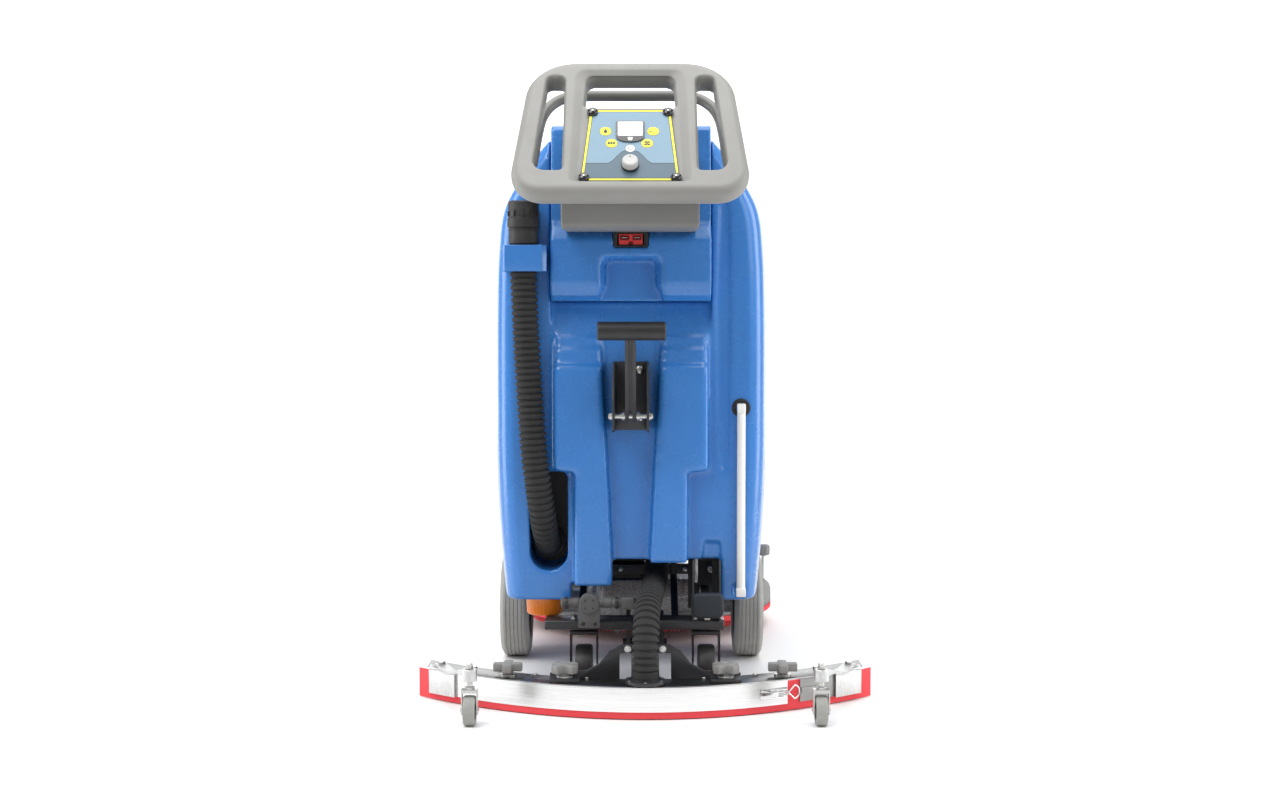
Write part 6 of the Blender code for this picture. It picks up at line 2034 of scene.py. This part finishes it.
def rear_caster(name):
    """Pressed fork, raceway with its rollers' dust ring, axle bolt and the trailing wheel."""
    low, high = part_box(name + "_fork")
    wheel_low, wheel_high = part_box(name + "_wheel")
    x = (low.x + high.x) / 2
    pivot_y = -0.350
    hub = (wheel_low + wheel_high) / 2
    crown = high.z - 0.0098
    out = (high.x - low.x) / 2 - 0.0031
    t = 0.003
    cheek = [(hub.y - 0.0135, hub.z - 0.004), (hub.y - 0.006, hub.z - 0.0115),
             (hub.y + 0.008, hub.z - 0.0115), (hub.y + 0.016, hub.z + 0.002),
             (hub.y + 0.0296, crown - 0.010), (hub.y + 0.0296, crown + 0.0055),
             (hub.y - 0.0135, crown + 0.0055)]
    cheek = round_corners(cheek, [0.004, 0.005, 0.006, 0.008, 0.003, 0.002, 0.002], 4)
    steps = [prism(cheek, "X", x0, x0 + t) for x0 in (x - out, x + out - t)]
    top = box((x - out, x + out), (hub.y - 0.0137, hub.y + 0.0297), (crown, crown + 0.0059))
    fork = carved(steps[0], ("add", steps[1]), ("add", top))
    bm = bmesh.new()
    bm.from_mesh(fork)
    ease_edges(bm, 0.0007, 2, 40.0)
    race = turned([(0.0198, crown + 0.0050), (0.0198, high.z - 0.0022), (0.0190, high.z - 0.0002)],
                  (x, pivot_y, 0.0), sides=40)
    replace(name + "_fork", name + "_fork_piece", joined([bm, race]), "frame_coat", 38.0)
    parts = [turned_about([(0.0040, -out - 0.001), (0.0040, out + 0.001)],
                          (x, hub.y, hub.z), (1, 0, 0), 18)]
    for side in (-1, 1):
        parts.append(hex_head((x + side * out, hub.y, hub.z), (side, 0, 0), 0.0125, 0.0029))
    add(name + "_fork", name + "_axle", joined(parts), "zinc", 30.0)
    caster_wheel(name + "_wheel", "black_moulding", "hub_black")


# ------------------------------------------------------------------ brush deck
class SCRUBBER_OT_brush_deck(Operator):
    """Deck cover, splash skirt, brush motor, height knob and the scrub brush"""

    bl_idname = "scrubber.brush_deck"
    bl_label = "Brush deck"

    def execute(self, context):
        low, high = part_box("deck_cover")
        r = (high.x - low.x) / 2
        c = (0.0, (low.y + high.y) / 2, 0.0)
        z0, z1 = low.z, high.z
        shell = [(r - 0.0078, z0), (r - 0.0030, z0), (r - 0.0004, z0 + 0.0020),
                 (r - 0.0004, z0 + 0.0050), (r - 0.0020, z0 + 0.0058), (r - 0.0020, z0 + 0.0080),
                 (r - 0.0004, z0 + 0.0088), (r - 0.0004, z0 + 0.0280), (r - 0.0030, z0 + 0.0345),
                 (r - 0.0130, z0 + 0.0435), (r - 0.0460, z1 - 0.0112), (r - 0.0540, z1 - 0.0102),
                 (0.1240, z1 - 0.0102), (0.1180, z1 - 0.0090), (0.1040, z1 - 0.0012),
                 (0.0980, z1 - 0.0002), (0.0302, z1 - 0.0002), (0.0302, z1 - 0.0080),
                 (r - 0.0600, z1 - 0.0160), (r - 0.0220, z0 + 0.0380), (r - 0.0080, z0 + 0.0240)]
        cover = turned(shell, c, sides=144, closed=True)
        replace("deck_cover", "deck_cover_shell", cover, "trim_grey", 28.0)
        ribs = []
        for k in range(12):
            rib = prism([(0.126, z1 - 0.0108), (r - 0.060, z1 - 0.0108), (r - 0.058, z1 - 0.0100),
                         (r - 0.064, z1 - 0.0060), (0.132, z1 - 0.0042)], "Y", -0.0022, 0.0022)
            ease_edges(rib, 0.0006, 2)
            turn = Matrix.Translation(c) @ Matrix.Rotation(2 * pi * (k + 0.5) / 12, 4, "Z")
            bmesh.ops.transform(rib, matrix=turn, verts=rib.verts)
            ribs.append(rib)
        add("deck_cover", "deck_ribs", joined(ribs), "trim_grey")
        screws = [button_head((0.108 * cos(a), c[1] + 0.108 * sin(a), z1 - 0.0048), (0, 0, 1),
                              0.0052, 0.0036) for a in [2 * pi * k / 8 for k in range(8)]]
        add("deck_cover", "deck_screws", joined(screws), "zinc")
        self.skirt()
        self.motor()
        self.height_knob()
        self.brush()
        return {"FINISHED"}

    def skirt(self):
        low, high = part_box("deck_skirt")
        r = (high.x - low.x) / 2
        c = (0.0, (low.y + high.y) / 2, 0.0)
        band = [(r - 0.0098, high.z), (r - 0.0098, low.z + 0.0008), (r - 0.0090, low.z),
                (r - 0.0020, low.z), (r - 0.0006, low.z + 0.0010), (r - 0.0002, low.z + 0.0042),
                (r - 0.0014, low.z + 0.0050), (r - 0.0014, low.z + 0.0064),
                (r - 0.0002, low.z + 0.0072), (r - 0.0002, high.z)]
        replace("deck_skirt", "deck_skirt_band", turned(band, c, sides=144, closed=True),
                "blade_red")

    def motor(self):
        low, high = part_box("brush_motor")
        r = (high.x - low.x) / 2
        c = (0.0, (low.y + high.y) / 2, 0.0)
        z, top = low.z, high.z
        can = [(0.060, z), (0.0700, z + 0.004), (r, z + 0.007), (r, z + 0.018),
               (r - 0.0025, z + 0.0195), (r - 0.0025, top - 0.030), (r, top - 0.0285),
               (r, top - 0.014), (r - 0.004, top - 0.008), (0.054, top - 0.0002),
               (0.024, top - 0.0002), (0.022, top - 0.003)]
        replace("brush_motor", "brush_motor_can", turned(can, c, sides=64), "motor_black", 32.0)
        bands = [turned([(r - 0.0024, h), (r - 0.0008, h + 0.0004), (r - 0.0008, h + 0.0016),
                         (r - 0.0024, h + 0.002)], c, sides=64, closed=True)
                 for h in [z + 0.030 + 0.009 * k for k in range(6)]]
        bolts = [hex_head((0.058 * cos(a), c[1] + 0.058 * sin(a), top - 0.0052), (0, 0, 1), 0.007,
                          0.0042) for a in [pi / 4 + pi / 2 * k for k in range(4)]]
        add("brush_motor", "brush_motor_fins", joined(bands), "cast_metal")
        add("brush_motor", "brush_motor_bolts", joined(bolts), "zinc")

    def height_knob(self):
        low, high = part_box("deck_knob")
        x, y = (low.x + high.x) / 2, (low.y + high.y) / 2
        rod = threaded((x, y), 0.0040, low.z, high.z - 0.020)
        knob_low = high.z - 0.0230
        reach = (high.x - low.x) / 2
        rings = []
        for z, share in ((knob_low, 0.84), (knob_low + 0.003, 0.98), (knob_low + 0.006, 1.0),
                         (high.z - 0.005, 1.0), (high.z - 0.0015, 0.92), (high.z, 0.74)):
            rings.append([(x + reach * share * (0.955 + 0.045 * cos(6 * 2 * pi * i / 72))
                           * cos(2 * pi * i / 72),
                           y + reach * share * (0.955 + 0.045 * cos(6 * 2 * pi * i / 72))
                           * sin(2 * pi * i / 72), z) for i in range(72)])
        replace("deck_knob", "deck_knob_grip", loft(rings), "trim_grey")
        add("deck_knob", "deck_knob_rod", rod, "tube_white", 30.0)

    def brush(self):
        low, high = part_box("scrub_brush")
        c = Vector((0.0, (low.y + high.y) / 2, 0.0))
        reach = (high.x - low.x) / 2
        block_z = low.z + 0.021
        top = block_z + 0.014
        block = [(0.098, block_z), (reach - 0.012, block_z), (reach - 0.008, block_z + 0.003),
                 (reach - 0.008, top - 0.003), (reach - 0.012, top), (0.060, top),
                 (0.055, top + 0.003), (0.026, high.z - 0.010), (0.0245, high.z - 0.0005),
                 (0.010, high.z - 0.0005), (0.010, block_z + 0.006), (0.094, block_z + 0.006)]
        replace("scrub_brush", "brush_block", turned(block, c, sides=96, closed=True),
                "brush_block", 32.0)
        rings = sizes().tuft_rings
        tufts = bmesh.new()
        for k in range(rings):
            r = 0.108 + (reach - 0.013 - 0.108) * k / (rings - 1)
            count = int(2 * pi * r / 0.0088)
            spread = 0.0030 if k == rings - 1 else 0.0012
            for i in range(count):
                a = 2 * pi * (i + 0.5 * (k % 2)) / count
                out = Vector((cos(a), sin(a), 0.0))
                side = Vector((-sin(a), cos(a), 0.0))
                wobble = 0.0009 * sin(i * 12.9898 + k * 4.1)
                foot = c + out * r
                tip = c + out * (r + spread + wobble) + side * wobble
                loops = []
                for centre, wide, z in ((foot, 0.0019, block_z + 0.002),
                                        (tip, 0.0031, low.z - 0.0085 + abs(wobble) * 0.8)):
                    loops.append([tufts.verts.new(centre + out * (wide * cos(2 * pi * j / 5))
                                                  + side * (wide * sin(2 * pi * j / 5))
                                                  + Vector((0, 0, z))) for j in range(5)])
                for j in range(5):
                    n = (j + 1) % 5
                    tufts.faces.new((loops[0][j], loops[0][n], loops[1][n], loops[1][j]))
                tufts.faces.new(loops[1])
                tufts.faces.new(list(reversed(loops[0])))
        add("scrub_brush", "brush_bristles", tufts, "bristle_red", 40.0)


# ------------------------------------------------------------------ squeegee
BLADE_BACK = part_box("rear_blade")[0].y      # rear face of the blade at its middle
BLADE_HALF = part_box("rear_blade")[1].x
BLADE_SAG = 0.182                           # how far the ends lie ahead of the middle


def bow_at(x):
    return BLADE_BACK + BLADE_SAG * (x / BLADE_HALF) ** 2


def bowed(section, x0, x1, steps=64):
    """A bar along the squeegee's bow; section holds (distance ahead of the blade's face, z)."""
    rings = []
    for i in range(steps + 1):
        x = x0 + (x1 - x0) * i / steps
        rings.append([(x, bow_at(x) + d, z) for d, z in section])
    return loft(rings)


def bar_section(back, front, low, high, ease=0.0006):
    return rounded(back, front, low, high, ease, 2)


class SCRUBBER_OT_squeegee(Operator):
    """Squeegee channel, blades, strip and latch, carrier, knobs, end casters and lift arm"""

    bl_idname = "scrubber.squeegee"
    bl_label = "Squeegee"

    def execute(self, context):
        self.channel()
        self.blades()
        self.latch()
        self.carrier()
        for node in ("inner_knob_left", "inner_knob_right", "outer_knob_left",
                     "outer_knob_right"):
            cross_knob(node)
        for side, name in ((-1, "squeegee_caster_left"), (1, "squeegee_caster_right")):
            end_caster(name, side)
        self.arm()
        return {"FINISHED"}

    def channel(self):
        half = 0.385
        z0, z1 = 0.0200, 0.0550
        back, front = 0.0043, 0.0708
        section = [(back, z0), (back, z1 - 0.0020), (back + 0.0006, z1 - 0.0006),
                   (back + 0.0020, z1), (front - 0.0020, z1), (front - 0.0006, z1 - 0.0006),
                   (front, z1 - 0.0020), (front, z0), (front - 0.0040, z0),
                   (front - 0.0040, z1 - 0.0042), (back + 0.0040, z1 - 0.0042), (back + 0.0040, z0)]
        bar = bowed(section, -half, half, 80)
        inlet = turned([(0.0244, z1 - 0.001), (0.0244, z1 + 0.0080), (0.0230, z1 + 0.0083),
                        (0.0230, z1 + 0.0112), (0.0205, z1 + 0.0112), (0.0205, z1 - 0.001)],
                       (0.0, INLET_Y, 0.0), sides=48, closed=True)
        replace("squeegee_body", "squeegee_channel", bar, "steel_long", 30.0)
        add("squeegee_body", "squeegee_inlet", inlet, "cuff_black", 30.0)
        ends = []
        for side in (-1, 1):
            xs = sorted((side * 0.3312, side * 0.3800))
            ends.append(bowed(bar_section(-0.0079, -0.0004, 0.0122, 0.0578, 0.0010), *xs, 6))
            ends.append(bowed(bar_section(-0.0079, 0.0198, 0.0524, 0.0579, 0.0010), *xs, 6))
            xs = sorted((side * (half - 0.003), side * half))
            ends.append(bowed(bar_section(back + 0.004, front - 0.004, z0, z1 - 0.004), *xs, 2))
        add("squeegee_body", "squeegee_ends", joined(ends), "steel_cut")
        # The end plate takes the darker steel, painted shade.
        cover = bowed(bar_section(-0.0030, -0.0004, 0.0140, 0.0540), 0.2655, 0.3308, 10)
        add("squeegee_body", "squeegee_end_plate", cover, "steel_painted_shade")
        screws = []
        for side in (-1, 1):
            for share in (0.338, 0.371):
                x = side * share
                screws.append(button_head((x, bow_at(x) + 0.009, 0.0580), (0, 0, 1),
                                          0.0044, 0.0028))
            for x in (side * 0.100, side * 0.190, side * 0.300):
                screws.append(hex_head((x, bow_at(x) + 0.058, z1), (0, 0, 1), 0.0085, 0.0034))
        add("squeegee_body", "squeegee_screws", joined(screws), "zinc")

    def blades(self):
        for node, back, half in (("rear_blade", 0.0, 0.400), ("front_blade", 0.0713, 0.360)):
            low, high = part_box(node)
            section = [(back + 0.0012, low.z), (back + 0.0003, low.z + 0.0006),
                       (back + 0.0001, low.z + 0.0018), (back + 0.0001, high.z - 0.0003),
                       (back + 0.0004, high.z), (back + 0.0036, high.z),
                       (back + 0.0039, high.z - 0.0003), (back + 0.0039, low.z + 0.0018),
                       (back + 0.0037, low.z + 0.0006), (back + 0.0028, low.z)]
            replace(node, node + "_rubber", bowed(section, -half, half, 96), "blade_red", 40.0)
        low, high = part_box("blade_strip")
        section = [(-0.0004, low.z), (-0.0022, low.z + 0.0004), (-0.0023, low.z + 0.0012),
                   (-0.0023, high.z - 0.0012), (-0.0022, high.z - 0.0004), (-0.0004, high.z)]
        replace("blade_strip", "blade_strip_band", bowed(section, -0.3308, high.x, 72),
                "steel_long", 40.0)

    def latch(self):
        """A toggle on the strip: base, folded lever and links; its ring hooks on the end plate."""
        low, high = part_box("strip_latch")
        z = (low.z + high.z) / 2
        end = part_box("blade_strip")[1].x

        def at(dx, d, dz=0.0):
            x = end + dx
            return Vector((x, bow_at(x) + d, z + dz))

        def rail(x0, x1, back, front, z0, z1):
            return bowed(bar_section(back, front, z + z0, z + z1, 0.0006), end + x0, end + x1, 6)

        parts = [rail(-0.0480, -0.0010, -0.0032, -0.0024, -0.0090, 0.0090)]
        for side in (-1, 1):
            parts.append(rail(-0.0300, -0.0080, -0.0098, -0.0030, *sorted((side * 0.0056,
                                                                           side * 0.0068))))
            parts.append(swept(smooth_route([at(-0.0200, -0.0086, side * 0.0030),
                                             at(-0.0080, -0.0090, side * 0.0030),
                                             at(0.0040, -0.0086, side * 0.0022)], 0.0012),
                               lambda reach: 0.0011, 10))
            parts.append(button_head(at(-0.0440, -0.0032, side * 0.0045), (0, -1, 0),
                                     0.0024, 0.0014))
        parts.append(rail(-0.0460, -0.0170, -0.0108, -0.0090, -0.0050, 0.0050))
        parts.append(turned_about([(0.0016, -0.0078), (0.0016, 0.0078)], at(-0.0180, -0.0080),
                                  (0, 0, 1), 12))
        add("blade_strip", "strip_toggle", joined(parts), "chrome_bright")
        reach = low.x - end
        loop = [at(reach - 0.0010, -0.0086), at(reach + 0.0060, -0.0086, 0.0072)]
        for k in range(9):
            a = pi / 2 - pi * k / 8
            loop.append(at(reach + 0.0100 + 0.0085 * cos(a), -0.0086, 0.0112 * sin(a)))
        loop += [at(reach + 0.0060, -0.0086, -0.0072), at(reach - 0.0010, -0.0086)]
        ring = swept(smooth_route(loop, 0.0010), lambda reach: 0.0013, 12)
        replace("strip_latch", "strip_ring", ring, "chrome_bright")
        # The keeper takes the darker steel, painted shade.
        keeper = bowed(bar_section(-0.0052, -0.0032, low.z + 0.001, high.z - 0.001, 0.0008),
                       low.x + 0.0230, high.x - 0.0010, 6)
        add("strip_latch", "strip_keeper", keeper, "steel_painted_shade")

    def carrier(self):
        eased("squeegee_bracket", finish("frame_coat"), 0.0007)
        bolts = []
        for x in (-0.030, 0.030):
            place = (x, -0.5022, 0.107)
            bolts.append(washer(place, (0, -1, 0), 0.0058, 0.003, 0.0008))
            bolts.append(hex_head((x, -0.5028, 0.107), (0, -1, 0), 0.0080, 0.0030))
        add("squeegee_bracket", "carrier_bolts", joined(bolts), "zinc", 30.0)

    def arm(self):
        eased("squeegee_arm", finish("frame_coat"), 0.0007)
        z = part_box("squeegee_bracket")[0].z + 0.0082
        bolts = []
        for k in range(6):
            a = 2 * pi * (k + 0.5) / 6
            bolts.append(hex_head((0.0302 * cos(a), INLET_Y + 0.0302 * sin(a), z), (0, 0, 1),
                                  0.0045, 0.0014))
        add("squeegee_arm", "arm_ring_bolts", joined(bolts), "zinc", 30.0)


def cross_knob(node):
    """Hand knob with four square arms, on its stud, nut and washer; the inner ones stand askew."""
    low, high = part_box(node)
    x, y = (low.x + high.x) / 2, (low.y + high.y) / 2
    base = low.z
    foot = high.z - 0.014          # underside of the arms
    turn = pi / 4 if node.startswith("inner") else 0.0
    rings = []
    for h, inset in ((0.0, 0.0012), (0.0010, 0.0002), (0.0020, 0.0), (0.0120, 0.0),
                     (0.0132, 0.0004), (0.0140, 0.0016)):
        arm, wide = 0.0250 - inset, 0.0078 - inset
        cross = []
        for k in range(4):
            a = turn + pi / 2 * k
            for along, across in ((arm, -wide), (arm, wide), (wide, wide)):
                cross.append((along * cos(a) - across * sin(a), along * sin(a) + across * cos(a)))
        cross = round_corners(cross, [0.0022 - inset, 0.0022 - inset, 0.0015] * 4, 4)
        rings.append([(x + u, y + v, foot + h) for u, v in cross])
    hub = turned([(0.0100, base + 0.0048), (0.0098, foot + 0.001)], (x, y, 0.0), sides=32)
    replace(node, node + "_grip", joined([loft(rings), hub]), "trim_grey", 40.0)
    parts = [washer((x, y, base), (0, 0, 1), 0.0148, 0.0042, 0.0030),
             hex_head((x, y, base + 0.0015), (0, 0, 1), 0.0125, 0.0034),
             turned([(0.0040, base), (0.0040, foot)], (x, y, 0.0), sides=20)]
    add(node, node + "_stud", joined(parts), "zinc", 30.0)


def end_caster(name, side):
    """Bar, foot and sleeve on the squeegee's end; clevis, nut and wheel that turn in it."""
    x, y = side * 0.290, -0.607
    foot_x = side * 0.357
    foot_y = bow_at(foot_x) + 0.008
    along = Vector((x - foot_x, y - foot_y)).normalized() * 0.0108
    across = Vector((-along.y, along.x))
    start, end = Vector((foot_x, foot_y)) - along, Vector((x, y))
    bar = []
    for share, z in ((0.0, 0.0582), (0.30, 0.0584), (0.42, 0.0610), (0.72, 0.0772),
                     (0.84, 0.0800), (1.0, 0.0800)):
        middle = start.lerp(end + along * 0.9, share)
        wide = across * (1.0 if share < 1.0 else 0.72)
        bar.append([(*(middle + wide), z), (*(middle - wide), z),
                    (*(middle - wide), z + 0.0060), (*(middle + wide), z + 0.0060)])
    bar = ease_edges(loft(bar), 0.0007, 2, 40.0)
    sleeve = turned([(0.0064, 0.0742), (0.0118, 0.0742), (0.0124, 0.0750), (0.0124, 0.0930),
                     (0.0118, 0.0938), (0.0064, 0.0938)], (x, y, 0.0), sides=36, closed=True)
    add("squeegee_body", name + "_bar", joined([bar, sleeve]), "steel_cut", 32.0)
    top = hex_head((foot_x, foot_y, 0.0650), (0, 0, 1), 0.0110, 0.0042)
    lock = washer((foot_x, foot_y, 0.0643), (0, 0, 1), 0.0082, 0.004, 0.0007)
    add("squeegee_body", name + "_bolt", joined([top, lock]), "zinc", 30.0)
    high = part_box(name + "_fork")[1]
    wheel_low, wheel_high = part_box(name + "_wheel")
    r = (wheel_high.z - wheel_low.z) / 2
    w = (wheel_high.x - wheel_low.x) / 2 + 0.0015
    t = 0.002
    crown = wheel_high.z + 0.005
    cheek = [(y - 0.0088, 0.0210), (y - 0.0050, 0.0182), (y + 0.0050, 0.0182), (y + 0.0088, 0.0210),
             (y + 0.0088, crown + 0.0059), (y - 0.0088, crown + 0.0059)]
    cheek = round_corners(cheek, [0.002, 0.003, 0.003, 0.002, 0.001, 0.001], 3)
    plates = [prism(cheek, "X", x0, x0 + t) for x0 in (x - w - t, x + w)]
    bridge = box((x - w - t, x + w + t), (y - 0.0088, y + 0.0088), (crown, crown + 0.0059))
    mesh = carved(plates[0], ("add", plates[1]), ("add", bridge))
    bm = bmesh.new()
    bm.from_mesh(mesh)
    ease_edges(bm, 0.0005, 2, 40.0)
    parts = [bm, hex_head((x, y, crown + 0.0058), (0, 0, 1), 0.0150, 0.0050),
             turned([(0.0049, crown + 0.006), (0.0049, high.z - 0.0012), (0.0040, high.z)],
                    (x, y, 0.0), sides=24),
             hex_head((x, y, high.z - 0.0085), (0, 0, 1), 0.0098, 0.0040)]
    replace(name + "_fork", name + "_clevis", joined(parts), "zinc", 32.0)
    pin = [turned_about([(0.0030, -w - t - 0.0006), (0.0030, w + t + 0.0006)],
                        (x, y, r + wheel_low.z), (1, 0, 0), 16)]
    for way in (-1, 1):
        pin.append(hex_head((x + way * (w + t), y, r + wheel_low.z), (way, 0, 0), 0.0080, 0.0019))
    add(name + "_fork", name + "_pin", joined(pin), "chrome_bright", 30.0)
    caster_wheel(name + "_wheel", "tyre_rubber", "hub_black")


# ------------------------------------------------------------------ add-on
OPERATORS = (
    SCRUBBER_OT_tanks, SCRUBBER_OT_lid, SCRUBBER_OT_console, SCRUBBER_OT_panel,
    SCRUBBER_OT_charger, SCRUBBER_OT_drain_hose, SCRUBBER_OT_suction_hose,
    SCRUBBER_OT_level_tube, SCRUBBER_OT_lift_lever, SCRUBBER_OT_chassis, SCRUBBER_OT_wheels,
    SCRUBBER_OT_brush_deck, SCRUBBER_OT_squeegee, SCRUBBER_OT_stage,
)


class SCRUBBER_PT_pieces(Panel):
    """The colours, the sizes and one button for each group of pieces"""

    bl_idname = "SCRUBBER_PT_pieces"
    bl_label = "Floor scrubber"
    bl_space_type = "VIEW_3D"
    bl_region_type = "UI"
    bl_category = "Scrubber"

    def draw(self, context):
        for settings in (colours(), sizes(), context.scene.scrubber_stage):
            rows = self.layout.box().column()
            for field in settings.__annotations__:
                rows.prop(settings, field)
        buttons = self.layout.column(align=True)
        for operator in OPERATORS:
            buttons.operator(operator.bl_idname)


CLASSES = (ScrubberColours, ScrubberSizes, ScrubberStage) + OPERATORS + (SCRUBBER_PT_pieces,)


def register():
    for cls in CLASSES:
        bpy.utils.register_class(cls)
    bpy.types.Scene.scrubber_colours = PointerProperty(type=ScrubberColours)
    bpy.types.Scene.scrubber_sizes = PointerProperty(type=ScrubberSizes)
    bpy.types.Scene.scrubber_stage = PointerProperty(type=ScrubberStage)


def unregister():
    del bpy.types.Scene.scrubber_stage
    del bpy.types.Scene.scrubber_sizes
    del bpy.types.Scene.scrubber_colours
    for cls in reversed(CLASSES):
        bpy.utils.unregister_class(cls)


def main():
    register()
    for operator in OPERATORS:
        group, name = operator.bl_idname.split(".")
        if getattr(getattr(bpy.ops, group), name)() != {"FINISHED"}:
            raise RuntimeError(f"{operator.bl_idname} did not finish")


if __name__ == "__main__":
    main()
